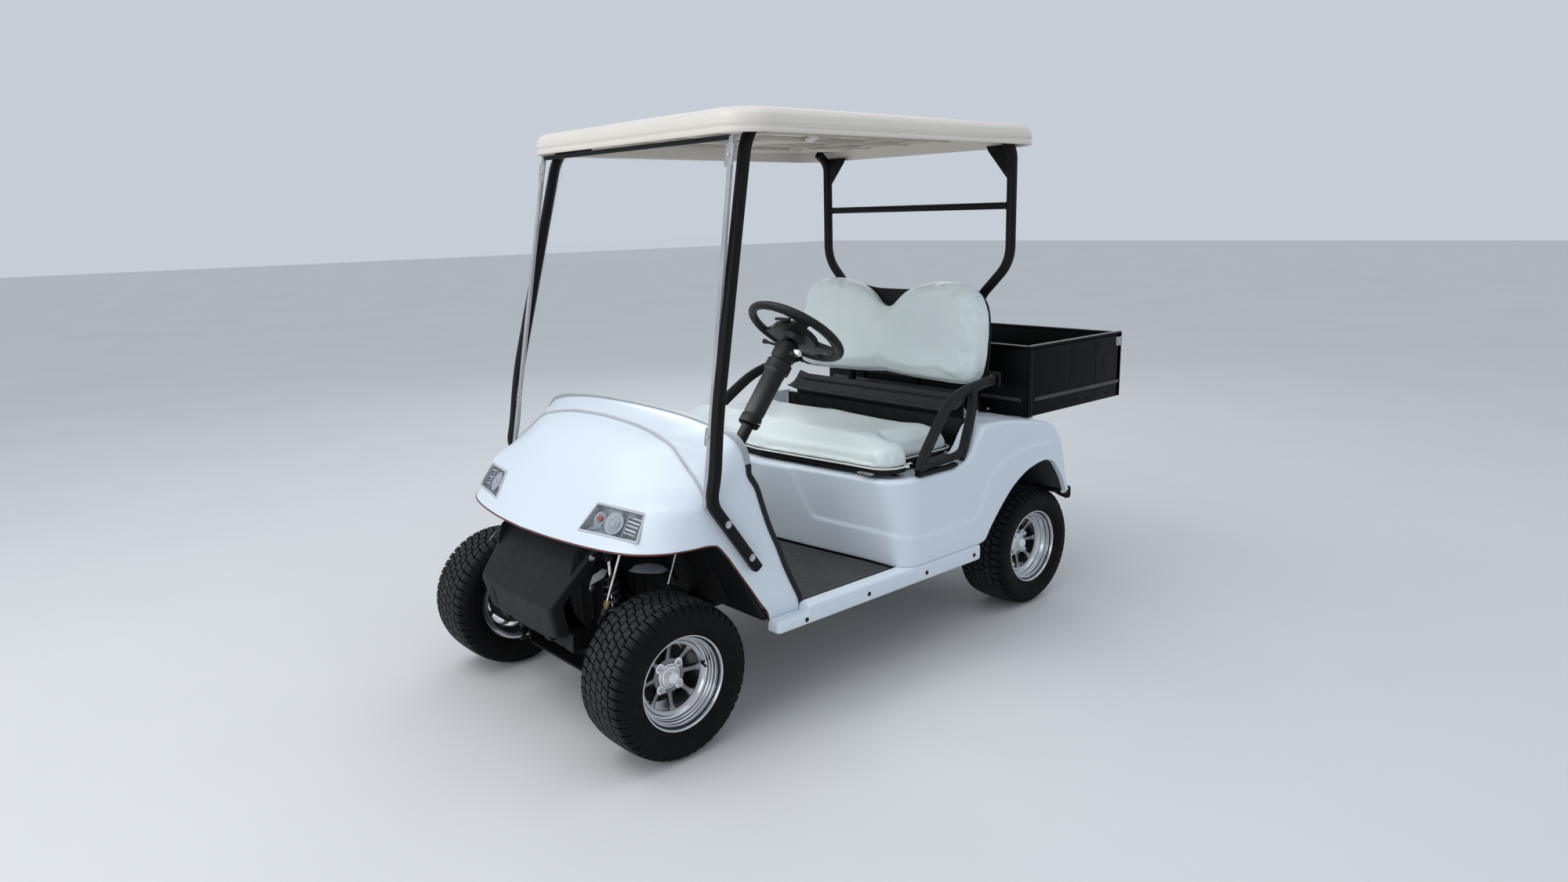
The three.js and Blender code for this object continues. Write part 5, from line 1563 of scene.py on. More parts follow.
# ------------------------------------------------------------------ roof
def make_roof():
    lo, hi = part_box("roof_canopy")
    z0, z1 = lo.z, hi.z
    y0, y1 = lo.y, hi.y
    half = hi.x
    cy = (y0 + y1) / 2
    def ring(inset, r=0.110, per=14, straight=14):
        r = max(r - inset * 0.8, 0.02)
        hx, ya, yb = half - inset, y0 + inset, y1 - inset
        out = []
        for cx_, cy_, a0 in ((hx - r, yb - r, 0), (-hx + r, yb - r, 90), (-hx + r, ya + r, 180), (hx - r, ya + r, 270)):
            for i in range(per + 1):
                a = math.radians(a0 + 90 * i / per)
                out.append((cx_ + r * math.cos(a), cy_ + r * math.sin(a)))
        P = []
        n = len(out)
        for i in range(n):
            P.append(out[i])
            nx_ = out[(i + 1) % n]
            if (i + 1) % (per + 1) == 0:
                for k in range(1, straight):
                    t = k / straight
                    P.append((out[i][0] * (1 - t) + nx_[0] * t, out[i][1] * (1 - t) + nx_[1] * t))
        return P
    def crown(x, y):
        return (z1 - 0.0050) + 0.0050 * max(0.0, 1 - (x / (half - 0.05)) ** 2) * max(0.0, 1 - ((y - cy) / (0.5 * (y1 - y0) - 0.05)) ** 2)
    outer = [(0.0035, z0), (0.0010, z0 + 0.0012), (0.0, z0 + 0.004), (0.0, z0 + 0.012), (0.0022, z0 + 0.015), (0.0022, z0 + 0.020), (0.0002, z0 + 0.023), (0.0004, z0 + 0.030), (0.0016, z0 + 0.036),
             (0.0040, z0 + 0.046), (0.0080, z0 + 0.0535), (0.016, z0 + 0.0610), (0.027, z0 + 0.0670), (0.038, z0 + 0.0700), (0.050, z0 + 0.0710)]
    verts, faces = [], []
    rings = []
    for (ins, z) in outer:
        P = ring(ins)
        rings.append(len(verts))
        for (x, y) in P:
            verts.append((x, y, z))
    m = len(P)
    base = P
    bx = [(x, y) for x, y in base]
    for s in (0.985, 0.965, 0.955, 0.945, 0.93, 0.85, 0.72, 0.56, 0.38, 0.2):
        rings.append(len(verts))
        drop = {0.965: -0.0012, 0.955: -0.0028, 0.945: -0.0012}.get(s, 0.0)   # a rain channel round the top
        for (x, y) in bx:
            X, Y = x * s, cy + (y - cy) * s
            verts.append((X, Y, max(z0 + 0.0710, crown(X, Y)) + drop))
    verts.append((0, cy, crown(0, cy)))
    for a, b in zip(rings[:-1], rings[1:]):
        for k in range(m):
            l = (k + 1) % m
            faces.append((a + k, a + l, b + l, b + k))
    for k in range(m):
        faces.append((rings[-1] + k, rings[-1] + (k + 1) % m, len(verts) - 1))
    # underside: lip, inner wall and ceiling
    under = [(0.0070, z0 + 0.0004), (0.0105, z0 + 0.002), (0.0120, z0 + 0.006), (0.0130, z0 + 0.036), (0.0160, z0 + 0.042), (0.0300, z0 + 0.0445), (0.0500, z0 + 0.0450)]
    start = rings[0]
    prev = start
    for (ins, z) in under:
        P = ring(ins)
        idx = len(verts)
        for (x, y) in P:
            verts.append((x, y, z))
        for k in range(m):
            l = (k + 1) % m
            faces.append((prev + l, prev + k, idx + k, idx + l))
        prev = idx
    for s in (0.9, 0.6, 0.3):
        idx = len(verts)
        for (x, y) in P:
            verts.append((x * s, cy + (y - cy) * s, z0 + 0.0455))
        for k in range(m):
            l = (k + 1) % m
            faces.append((prev + l, prev + k, idx + k, idx + l))
        prev = idx
    verts.append((0, cy, z0 + 0.0455))
    for k in range(m):
        faces.append((prev + (k + 1) % m, prev + k, len(verts) - 1))
    ob = mesh_object("roof_moulding", verts, faces, CREAM, True)
    bm = bmesh.new(); bm.from_mesh(ob.data); bmesh.ops.recalc_face_normals(bm, faces=bm.faces); bm.to_mesh(ob.data); bm.free()
    shade(ob, True, 38)
    parts = [ob]
    # shallow raised panels on the side bands, and stiffening ribs under the roof in a darker brown copy of the cream:
    # painted shade
    for sg in (1, -1):
        for (ya, yb) in ((y0 + 0.20, cy - 0.06), (cy + 0.0, y1 - 0.22)):
            parts.append(rounded_box("band_panel", (sg * (half - 0.003) - 0.0022, ya, z0 + 0.016), (sg * (half - 0.003) + 0.0022, yb, z0 + 0.034), 0.0018, CREAM, 2))
    zb = z0 + 0.0455
    for x in (-0.40, -0.20, 0.0, 0.20, 0.40):
        parts.append(sweep("rib", [(x, y0 + 0.06, zb), (x, y1 - 0.06, zb)], [(-0.001, -0.012), (-0.010, -0.0085), (-0.012, -0.006), (-0.012, 0.006), (-0.010, 0.0085), (-0.001, 0.012)], CREAM_PAINTED_SHADE, up=(0, 0, 1)))
    for y in (y0 + 0.16, cy - 0.22, cy + 0.10, cy + 0.38, y1 - 0.12):
        parts.append(sweep("rib", [(-half + 0.05, y, zb), (half - 0.05, y, zb)], [(-0.001, -0.012), (-0.008, -0.0085), (-0.010, -0.006), (-0.010, 0.006), (-0.008, 0.0085), (-0.001, 0.012)], CREAM_PAINTED_SHADE, up=(0, 0, 1)))
    for a, b in (((0.54, y1 - 0.42), (0.30, y1 - 0.10)), ((-0.54, y1 - 0.42), (-0.30, y1 - 0.10)), ((0.20, cy - 0.05), (0.0, cy + 0.10)), ((-0.20, cy - 0.05), (0.0, cy + 0.10))):
        parts.append(sweep("brace", [(a[0], a[1], zb - 0.004), (b[0], b[1], zb - 0.004)], [(0.0, -0.014), (-0.012, -0.012), (-0.013, 0.012), (0.0, 0.014)], CREAM, up=(0, 0, 1)))
    body = merge("roof_moulding", parts)
    shade(body, True, 38)
    finish_piece(body, "cart", ["roof_canopy"])


# darker brown copy of the roof cream for the ribs underneath: painted shade
CREAM_PAINTED_SHADE = surface("roof_underside_painted_shade", (0.50, 0.44, 0.36), (0.58, 0.52, 0.44), 3.0, (0.5, 0.65), grain=(700, 0.25, 0.0006))
make_roof()


def rounded_section(w, h, r, n=3):
    """Closed outline of a tube w wide (u) and h deep (v) with rounded corners."""
    out = []
    for cx, cy, a0 in ((w / 2 - r, h / 2 - r, 0), (-w / 2 + r, h / 2 - r, 90), (-w / 2 + r, -h / 2 + r, 180), (w / 2 - r, -h / 2 + r, 270)):
        for i in range(n + 1):
            a = math.radians(a0 + 90 * i / n)
            out.append((cx + r * math.cos(a), cy + r * math.sin(a)))
    return out


def make_struts():
    # front: from under the roof down past the windshield to the cheek
    P = [(0.490, 0.452, 1.738), (0.498, 0.352, 1.732), (0.504, 0.322, 1.684), (0.560, 0.150, 0.975), (0.568, 0.126, 0.800), (0.568, 0.107, 0.728), (0.568, 0.265, 0.506)]
    path = round_path([at(*p) for p in P], [0.02, 0.05, 0.12, 0.05, 0.055], 8)
    tube_ = sweep("s", path, rounded_section(0.031, 0.031, 0.009), BLACK_STEEL, up=(1, 0, 0), angle=40)
    parts = [tube_]
    # plugs, saddle clips and fixing bolts
    d = (Vector(P[6]) - Vector(P[5])).normalized()
    foot = at(*P[6])
    parts.append(turn_between("plug", foot - d * 0.001, foot + d * 0.004, [(0, 0.0135), (0.6, 0.013), (1, 0.009)], SKIN_BLACK, 20))
    for t in (0.30, 0.82):
        q = at(*(Vector(P[5]) * (1 - t) + Vector(P[6]) * t))
        parts.append(bolt("b", q + Vector((0.0150, 0, 0)), (1, 0, 0), r=0.0062, head=0.005, mat=ZINC))
        side = d.cross(Vector((1, 0, 0)))
        o = [(-0.026, -0.019), (0.026, -0.019), (0.026, 0.019), (-0.026, 0.019)]
        parts.append(plate("saddle", rounded_poly(o, 0.006, 3), 0.004, q - Vector((0.0195, 0, 0)) + Vector((0.001, 0, 0)), d, side, BLACK_STEEL, r=0.0008))
    # under the roof: a foot plate with two bolts
    top = at(0.490, 0.412, 1.7345)
    parts.append(rounded_box("pad", top + Vector((-0.030, -0.055, 0.014)), top + Vector((0.030, 0.045, 0.0225)), 0.003, BLACK_STEEL, 2))
    for dy in (-0.04, 0.03):
        parts.append(bolt("b", top + Vector((0.022, dy, 0.0140)), (0, 0, -1), r=0.005, head=0.004, mat=ZINC))
    # light clips that hold the sheet, at the top and above the hood
    Wd = Vector((0, 0.171, 0.973)).normalized()
    def on_glass(z):
        t = (z - 0.735) / 0.973
        return Vector((0, 0.110 + 0.171 * t, z))
    for z, hgt in ((1.655, 0.062), (0.905, 0.052)):
        g = on_glass(z)
        t = (z - 0.735) / 0.973
        x1 = 0.545 - 0.042 * t
        c = at(x1 + 0.001, g.y - 0.0015, z)
        o = [(-hgt / 2, -0.020), (hgt / 2, -0.020), (hgt / 2, 0.013), (-hgt / 2, 0.013)]
        parts.append(plate("clip", rounded_poly(o, 0.005, 3), 0.0035, c - Vector((0, 0.0055, 0)), Wd, (1, 0, 0), CLIP_GREY, r=0.0008))
        parts.append(bolt("b", c + Vector((-0.006, -0.0058, 0.0)), (0, -1, 0.17), r=0.0042, head=0.0035, mat=ZINC, dome=True))
    left = merge("front_strut_left_tube", parts)
    shade(left, True, 40)
    right = mirrored(left, "front_strut_right_tube")
    shade(right, True, 40)
    finish_piece(left, "cart", ["front_strut_left"])
    finish_piece(right, "cart", ["front_strut_right"])

    # rear frame: two bent legs with a cross tube
    X, Y = 0.467, 1.592
    R = [(X, 1.540, 1.741), (X, Y, 1.700), (X, Y, 1.310), (0.330, 1.588, 1.172), (0.330, 1.584, 0.742)]
    rp = round_path([at(*p) for p in R], [0.05, 0.06, 0.05], 10)
    parts = []
    for sg in (1, -1):
        pth = [Vector((p.x * sg, p.y, p.z)) for p in rp]
        parts.append(sweep("r", pth, rounded_section(0.031, 0.031, 0.009), BLACK_STEEL, up=(0, 1, 0), angle=40))
        # wedge foot on the sloping deck
        c = at(0.330 * sg, 1.584, 0.0)
        o = [(-0.052, 0.0), (0.052, 0.0)]
        zt = 0.744
        parts.append(rounded_box("foot", c + Vector((-0.044, -0.046, 0.7385)), c + Vector((0.044, 0.046, 0.7535)), 0.004, BLACK_STEEL, 2))
        parts.append(turn_between("collar", c + Vector((0, 0, 0.752)), c + Vector((0, 0, 0.784)), [(0, 0.026), (0.3, 0.0235), (1, 0.021)], BLACK_STEEL, 28))
        for dx in (-0.031, 0.031):
            for dy in (-0.033, 0.033):
                parts.append(bolt("b", c + Vector((dx, dy, 0.7533)), (0, 0, 1), r=0.0055, head=0.005, mat=ZINC))
        # top pad and gusset
        t = at(X * sg, 1.560, 1.741)
        parts.append(rounded_box("pad", t + Vector((-0.032, -0.060, 0.010)), t + Vector((0.032, 0.050, 0.0165)), 0.003, BLACK_STEEL, 2))
        g0 = at((X - 0.012) * sg, Y - 0.003, 0)
        o = [(0.0, 1.600), (0.0, 1.722), (-0.098, 1.722), (-0.090, 1.704)]
        o = [(a * sg, b) for a, b in o]
        parts.append(plate("gusset", o, 0.0045, g0, (1, 0, 0), (0, 0, 1), BLACK_STEEL, r=0.0008))
        for dy in (-0.045, 0.035):
            parts.append(bolt("b", t + Vector((0.022 * sg, dy, 0.0100)), (0, 0, -1), r=0.005, head=0.004, mat=ZINC))
        parts.append(turn_between("weld", at((X - 0.014) * sg, Y, 1.511), at((X - 0.024) * sg, Y, 1.511), [(0, 0.0165), (0.5, 0.0155), (1, 0.0128)], BLACK_STEEL, 24))
    parts.append(tube("x", [at(-X + 0.006, Y, 1.511), at(-0.2, Y, 1.511), at(0.2, Y, 1.511), at(X - 0.006, Y, 1.511)], 0.0125, BLACK_STEEL, 20))
    ob = merge("rear_roof_frame", parts)
    shade(ob, True, 40)
    finish_piece(ob, "cart", ["rear_strut_frame"])


CLIP_GREY = surface("clip_grey_metal", (0.36, 0.36, 0.365), (0.46, 0.46, 0.465), 20, (0.3, 0.45), metal=0.6, grain=(400, 0.2, 0.0004))
make_struts()


def hood_height(x, y):
    """Height of the hood skin over a place, by the nearest grid points."""
    d = (COWL_G[:, :, 0] - x) ** 2 + (COWL_G[:, :, 1] - y) ** 2
    idx = np.argsort(d.ravel())[:6]
    w = 1 / (d.ravel()[idx] + 1e-8)
    return float((COWL_G[:, :, 2].ravel()[idx] * w).sum() / w.sum())


def make_windshield():
    # the lower edge follows the hood, the sheet leans back to the roof
    def on(z):
        t = (z - 0.735) / 0.973
        return 0.1085 + 0.171 * t, 0.545 - 0.042 * t
    n_x, n_z = 60, 40
    rows = []
    for i in range(n_x + 1):
        s = -1 + 2 * i / n_x
        rows.append([])
        # foot of the sheet on the hood at this share of the width
        zf = 0.80
        for _ in range(6):
            y, hw = on(zf)
            zf = hood_height(s * hw, y) + 0.0015
        zt = 1.7075
        for k in range(n_z + 1):
            z = zf + (zt - zf) * k / n_z
            y, hw = on(z)
            rr = 0.035
            x = s * hw
            bow = 0.0
            rows[-1].append((x, y + bow + AY, z))
    G = np.array(rows)
    ob = grid_mesh("windshield_sheet", G, GLASS)
    thicken(ob, 0.0045, 0.0)
    shade(ob, True, 30)
    finish_piece(ob, "cart", ["windshield"])
    # edging on both sides and a seal along the hood
    def edging(name, pts, sec, mat, up):
        return sweep(name, pts, sec, mat, up=up, angle=40)
    sec = [(-0.0045, -0.008), (0.0045, -0.008), (0.0055, -0.006), (0.0055, 0.006), (0.0045, 0.008), (-0.0045, 0.008), (-0.0055, 0.006), (-0.0055, -0.006)]
    parts = []
    for i in (0, -1):
        pts = [Vector(p) for p in G[i]]
        parts.append(edging("e", pts, sec, EDGE_GREY, (0, -1, 0.17)))
    e = merge("windshield_side_edging", parts)
    shade(e, True, 40)
    finish_piece(e, "cart")
    pts = [Vector(G[i, 0]) + Vector((0, 0, 0.003)) for i in range(n_x + 1)]
    s2 = [(-0.004, -0.0032), (0.001, -0.0030), (0.0025, -0.0018), (0.0025, 0.0018), (0.001, 0.0030), (-0.004, 0.0032)]
    low = sweep("windshield_hood_seal", pts, s2, SEAL_CLEAR, up=(0, 0, 1), angle=40)
    finish_piece(low, "cart")
    pts = [Vector(G[i, -1]) + Vector((0, 0, -0.002)) for i in range(n_x + 1)]
    topb = sweep("windshield_top_channel", pts, [(-0.010, -0.0055), (0.002, -0.0062), (0.004, 0.0), (0.002, 0.0062), (-0.010, 0.0055)], BLACK_PLASTIC, up=(0, 0, 1), angle=40)
    finish_piece(topb, "cart")


EDGE_GREY = surface("windshield_edging_grey", (0.30, 0.31, 0.32), (0.38, 0.39, 0.40), 9, (0.25, 0.4), grain=(600, 0.25, 0.0005), coat=0.2)
SEAL_CLEAR = surface("seal_pale_rubber", (0.42, 0.43, 0.44), (0.50, 0.51, 0.52), 12, (0.5, 0.7), grain=(500, 0.4, 0.0006))
make_windshield()


# ------------------------------------------------------------------ nose skirt
def make_skirt():
    zs = [(0.592, -0.058, 0.262), (0.575, -0.072, 0.258), (0.540, -0.1025, 0.248), (0.500, -0.1372, 0.2372), (0.460, -0.172, 0.226), (0.432, -0.1965, 0.2182), (0.422, -0.2045, 0.2155), (0.416, -0.2085, 0.214), (0.410, -0.2105, 0.213),
          (0.402, -0.2105, 0.212), (0.380, -0.2055, 0.209), (0.350, -0.199, 0.205), (0.325, -0.193, 0.202), (0.312, -0.188, 0.200), (0.3075, -0.180, 0.196), (0.3070, -0.165, 0.190), (0.3080, -0.152, 0.186)]
    dense = []
    for (a, b) in zip(zs[:-1], zs[1:]):
        n = max(1, int(math.hypot(a[0] - b[0], a[1] - b[1]) / 0.008))
        for k in range(n):
            t = k / n
            dense.append([a[i] * (1 - t) + b[i] * t for i in range(3)])
    dense.append(list(zs[-1]))
    grooves = (-0.102, 0.104)
    rows = []
    for (z, yf, hw) in dense:
        r = 0.012
        back = yf + 0.045 if z < 0.56 else yf + 0.020
        line = [(hw, back)]
        n = 10
        for k in range(1, n):
            line.append((hw, back + (yf + r - back) * k / n))
        for k in range(6):
            a = math.pi / 2 * k / 5
            line.append((hw - r + r * math.cos(a), yf + r - r * math.sin(a)))
        xs = np.linspace(hw - r - 0.004, -(hw - r - 0.004), 110)
        for x in xs:
            d = 0.0
            for g in grooves:
                gx = g + 0.012 * (0.42 - z) * (1 if g > 0 else -1) * 0
                q = abs(x - gx)
                d += 0.0045 * max(0.0, 1 - max(0.0, q - 0.0016) / 0.0035)
            bulge = -0.006 * (1 - (x / hw) ** 2)
            fade = 1.0 if z > 0.418 else max(0.0, 1 - (0.418 - z) / 0.012)
            # the lower face carries a shallow recess
            low = 0.0
            if 0.322 < z < 0.398:
                low = 0.005 * min(1.0, max(0.0, (0.150 - abs(x)) / 0.008)) * min(1.0, (z - 0.322) / 0.008, (0.398 - z) / 0.008)
            line.append((x, yf + d * fade + bulge + low))
        for k in range(6):
            a = math.pi / 2 * (5 - k) / 5
            line.append((-(hw - r + r * math.cos(a)), yf + r - r * math.sin(a)))
        for k in range(n - 1, 0, -1):
            line.append((-hw, back + (yf + r - back) * k / n))
        line.append((-hw, back))
        rows.append([(x, y + AY, z) for x, y in line])
    G = np.array(rows)
    ob = grid_mesh("nose_skirt_panel", G, SKIRT)
    mid_p = ob.data.polygons[(G.shape[1] - 1) * 20 + 70]
    if mid_p.normal.y > 0:
        ob.data.flip_normals()
    thicken(ob, 0.0035)
    shade(ob, True, 35)
    parts = [ob]
    for sg in (1, -1):
        parts.append(lathe("refl", [(0.0, 0.0), (0.0, 0.010), (-0.0035, 0.010), (-0.0052, 0.0075), (-0.0055, 0.0)], RED, 20, "Y", False, tuple(at(0.176 * sg, -0.1885, 0.336)), angle=40))
        for z in (0.545, 0.45):
            parts.append(bolt("b", at(sg * (0.2615 - 0.02 * (0.56 - z) / 0.15 - 0.011), -0.085, z), (sg, 0, 0), r=0.0055, head=0.004, mat=ZINC))
    sk = merge("nose_skirt_panel", parts)
    shade(sk, True, 35)
    finish_piece(sk, "cart", ["nose_skirt"])


SKIRT = surface("skirt_dark_grey_plastic", (0.0095, 0.0098, 0.0112), (0.0135, 0.0138, 0.0150), 4, (0.50, 0.62), spec=0.2, grain=(800, 0.3, 0.0005),
                low_dirt_and_shade=(0.28, 0.46, (0.040, 0.037, 0.032), 0.35))
make_skirt()


# ------------------------------------------------------------------ seat: blown-up foam shapes under vinyl
def rings_solid(name, loops, mat):
    """Closed solid through loops of equal count, the first and last closed to their middles."""
    verts, faces = [], []
    m = len(loops[0])
    for L in loops:
        verts += [tuple(p) for p in L]
    for i in range(len(loops) - 1):
        for k in range(m):
            l = (k + 1) % m
            faces.append((i * m + k, i * m + l, (i + 1) * m + l, (i + 1) * m + k))
    for i, L in ((0, loops[0]), (len(loops) - 1, loops[-1])):
        c = sum((Vector(p) for p in L), Vector()) / m
        verts.append(tuple(c))
        for k in range(m):
            faces.append((i * m + k, i * m + (k + 1) % m, len(verts) - 1))
    ob = mesh_object(name, verts, faces, mat, True)
    bm = bmesh.new(); bm.from_mesh(ob.data); bmesh.ops.recalc_face_normals(bm, faces=bm.faces); bm.to_mesh(ob.data); bm.free()
    return ob


def voxel(ob, size):
    m = ob.modifiers.new("r", "REMESH")
    m.mode = "VOXEL"
    m.voxel_size = size
    m.use_smooth_shade = True
    apply_mods(ob)
    return ob


def relax(ob, rounds, k=0.5):
    m = ob.modifiers.new("s", "SMOOTH")
    m.factor = k
    m.iterations = rounds
    apply_mods(ob)
    return ob


def inflate(ob, cap, pressure=4.0, hold=None, frames=20):
    """Cloth under air pressure for a few frames; no point moves more than cap, and held points stay."""
    base = np.zeros(len(ob.data.vertices) * 3, np.float32)
    ob.data.vertices.foreach_get("co", base)
    base = base.reshape(-1, 3).astype(float)
    sc = bpy.context.scene
    c = ob.modifiers.new("cloth", "CLOTH")
    s = c.settings
    s.quality = 5
    s.mass = 0.35
    s.tension_stiffness = s.compression_stiffness = 18
    s.shear_stiffness = 8
    s.bending_stiffness = 2.0
    s.use_pressure = True
    s.uniform_pressure_force = pressure
    s.effector_weights.gravity = 0
    c.collision_settings.use_collision = False
    if hold is not None:
        g = ob.vertex_groups.new(name="hold")
        for i, w in enumerate(hold(base)):
            if w > 0.01:
                g.add([i], float(w), "REPLACE")
        s.vertex_group_mass = "hold"
    for f in range(1, frames + 1):
        sc.frame_set(f)
    dg = bpy.context.evaluated_depsgraph_get()
    ev = ob.evaluated_get(dg).data
    got = np.zeros(len(ev.vertices) * 3, np.float32)
    ev.vertices.foreach_get("co", got)
    got = got.reshape(-1, 3).astype(float)
    sc.frame_set(1)
    ob.modifiers.clear()
    d = got - base
    ln = np.linalg.norm(d, axis=1)
    k = np.minimum(1.0, cap / np.maximum(ln, 1e-9))
    out = base + d * k[:, None]
    ob.data.vertices.foreach_set("co", out.astype(np.float32).ravel())
    ob.data.update()
    return ob


def rounded_plan(hx, y0, y1, r_front, r_back, n=10, straight=18):
    pts = []
    for cx, cy, a0, r in ((hx - r_back, y1 - r_back, 0, r_back), (-hx + r_back, y1 - r_back, 90, r_back), (-hx + r_front, y0 + r_front, 180, r_front), (hx - r_front, y0 + r_front, 270, r_front)):
        for i in range(n + 1):
            a = math.radians(a0 + 90 * i / n)
            pts.append((cx + r * math.cos(a), cy + r * math.sin(a)))
    out = []
    m = len(pts)
    for i in range(m):
        out.append(pts[i])
        if (i + 1) % (n + 1) == 0:
            a, b = pts[i], pts[(i + 1) % m]
            for k in range(1, straight):
                out.append((a[0] + (b[0] - a[0]) * k / straight, a[1] + (b[1] - a[1]) * k / straight))
    return out


def bow_at(x):
    return float(np.interp(abs(x), [0, 0.240, 0.410, 0.592], [0, 0.026, 0.047, 0.062]))


def seat_outline(y_front, grow=0.0):
    """The seat from above: bowed front, full width at the front corners, narrower between the armrests."""
    half = [(x, y_front + bow_at(x)) for x in (0.0, 0.06, 0.12, 0.18, 0.24, 0.30, 0.36, 0.41, 0.455, 0.490)]
    d = y_front - 0.760
    half += [(0.517, 0.8195 + d), (0.538, 0.832 + d), (0.553, 0.850 + d), (0.5625, 0.872), (0.566, 0.895), (0.5655, 0.915), (0.558, 0.9335), (0.543, 0.9405), (0.522, 0.9435), (0.500, 0.953), (0.4925, 0.972), (0.4902, 1.00),
             (0.490, 1.05), (0.490, 1.10), (0.490, 1.15), (0.489, 1.20), (0.483, 1.232), (0.465, 1.2495), (0.44, 1.2515), (0.38, 1.2515), (0.30, 1.2515), (0.20, 1.2515), (0.10, 1.2515), (0.0, 1.2515)]
    P = catmull([(x, y, 0) for x, y in half], 4)
    P = [(p.x, p.y + AY) for p in P]
    full = P + [(-x, y) for x, y in P[::-1]][1:-1]
    if grow:
        cy = 1.01 + AY
        full = [(x * (1 - grow / 0.56), cy + (y - cy) * (1 - grow / 0.24)) for x, y in full]
    return full


def make_cushion():
    lo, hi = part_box("seat_cushion")
    y0, y1, z0, z1 = lo.y, hi.y, lo.z, hi.z
    sh = 0.007
    def loop(ins, z):
        return [(x, y, z) for x, y in seat_outline(0.760, sh + ins)]
    loops = [loop(0.030, z0 + 0.0045), loop(0.006, z0 + 0.0045), loop(0.0, z0 + 0.012), loop(0.0, z0 + 0.030), loop(0.003, z1 - 0.046),
             loop(0.010, z1 - 0.030), loop(0.022, z1 - 0.019), loop(0.040, z1 - 0.012), loop(0.065, z1 - 0.008), loop(0.12, z1 - 0.006)]
    ob = rings_solid("seat_cushion_pad", loops, VINYL)
    voxel(ob, 0.0085)
    relax(ob, 5)
    def hold(P):
        return np.clip((z0 + 0.014 - P[:, 2]) / 0.008, 0, 1)
    inflate(ob, 0.011, 4.5, hold)
    me = ob.data
    P = np.zeros(len(me.vertices) * 3, np.float32)
    me.vertices.foreach_get("co", P)
    P = P.reshape(-1, 3).astype(float)
    # the sitters' hollows and a soft ridge between them
    x, y, z = P[:, 0], P[:, 1], P[:, 2]
    top = smooth01((z - (z1 - 0.05)) / 0.03)
    for cx in (-0.26, 0.26):
        g = np.exp(-((x - cx) / 0.17) ** 2 - ((y - (y0 + 0.30)) / 0.13) ** 2)
        z -= 0.0085 * g * top
    z += 0.0030 * np.exp(-(x / 0.05) ** 2) * top * smooth01((y - y0 - 0.06) / 0.1)
    z = np.minimum(z, z1 + 0.008)
    P = np.stack([x, np.minimum(y, y1 - 0.001), np.maximum(z, z0)], 1)
    me.vertices.foreach_set("co", P.astype(np.float32).ravel())
    me.update()
    relax(ob, 3, 0.4)
    subdivide(ob, 1)
    shade(ob, True)
    finish_piece(ob, "seat", ["seat_cushion"])
    # welt round the foot of the cover and the board below with its latch
    wp = [Vector((x, y, z0 + 0.006)) for x, y in seat_outline(0.7615, 0.001)[::2]]
    welt = tube("seat_cushion_welt", wp, 0.0032, WELT, 8, closed=True)
    finish_piece(welt, "seat")
    blo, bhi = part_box("seat_board")
    loops = []
    for ins, z in ((0.024, blo.z + 0.0002), (0.015, blo.z + 0.0005), (0.013, blo.z + 0.002), (0.013, bhi.z - 0.002), (0.015, bhi.z)):
        loops.append([(x, y, z) for x, y in seat_outline(0.764, ins)])
    bd = rings_solid("seat_board_tray", loops, BLACK_PLASTIC)
    shade(bd, True, 40)
    parts = [bd]
    c = Vector((0.470, AY + 0.772 + bow_at(0.47), blo.z + 0.004))
    ang = math.atan(0.10)
    latch = rounded_box("latch", (-0.030, -0.010, -0.0075), (0.030, 0.014, 0.0005), 0.003, CLIP_GREY, 2)
    latch.data.transform(Matrix.Translation(c) @ Matrix.Rotation(ang, 4, "Z"))
    parts.append(latch)
    for dx in (-0.42, 0.42):
        parts.append(rounded_box("hinge", (dx - 0.03, bhi.y - 0.018, bhi.z - 0.011), (dx + 0.03, bhi.y + 0.004, bhi.z - 0.003), 0.002, ZINC, 2))
    b2 = merge("seat_board_tray", parts)
    shade(b2, True, 40)
    finish_piece(b2, "seat", ["seat_board"])


WELT = surface("welt_vinyl", (0.62, 0.645, 0.61), (0.68, 0.70, 0.66), 9, (0.35, 0.5), grain=(700, 0.3, 0.0004))
LEAN = math.radians(-6.6)


def leant(p):
    """Upright seat-back places, leant back about the foot line."""
    x, y, z = p
    dy, dz = y - 1.385, z - 0.865
    c, s = math.cos(LEAN), math.sin(LEAN)
    return at(x, 1.385 + dy * c - dz * s, 0.865 + dy * s + dz * c)


LOBES = [(0, 0.886), (0.06, 0.878), (0.16, 0.8735), (0.30, 0.8725), (0.405, 0.874), (0.448, 0.884), (0.472, 0.908), (0.482, 0.960), (0.486, 1.040), (0.482, 1.110), (0.466, 1.170), (0.436, 1.214), (0.392, 1.241), (0.335, 1.2535), (0.275, 1.255),
         (0.205, 1.248), (0.155, 1.236), (0.110, 1.217), (0.075, 1.193), (0.046, 1.170), (0.022, 1.158), (0, 1.155)]


def lobe_outline(n=170):
    half = catmull([(x, z, 0) for x, z in LOBES], 10)
    half = resample([(p.x, p.y) for p in half], n)
    left = [(-x, z) for x, z in half[::-1]][1:-1]
    return [tuple(p) for p in half] + left


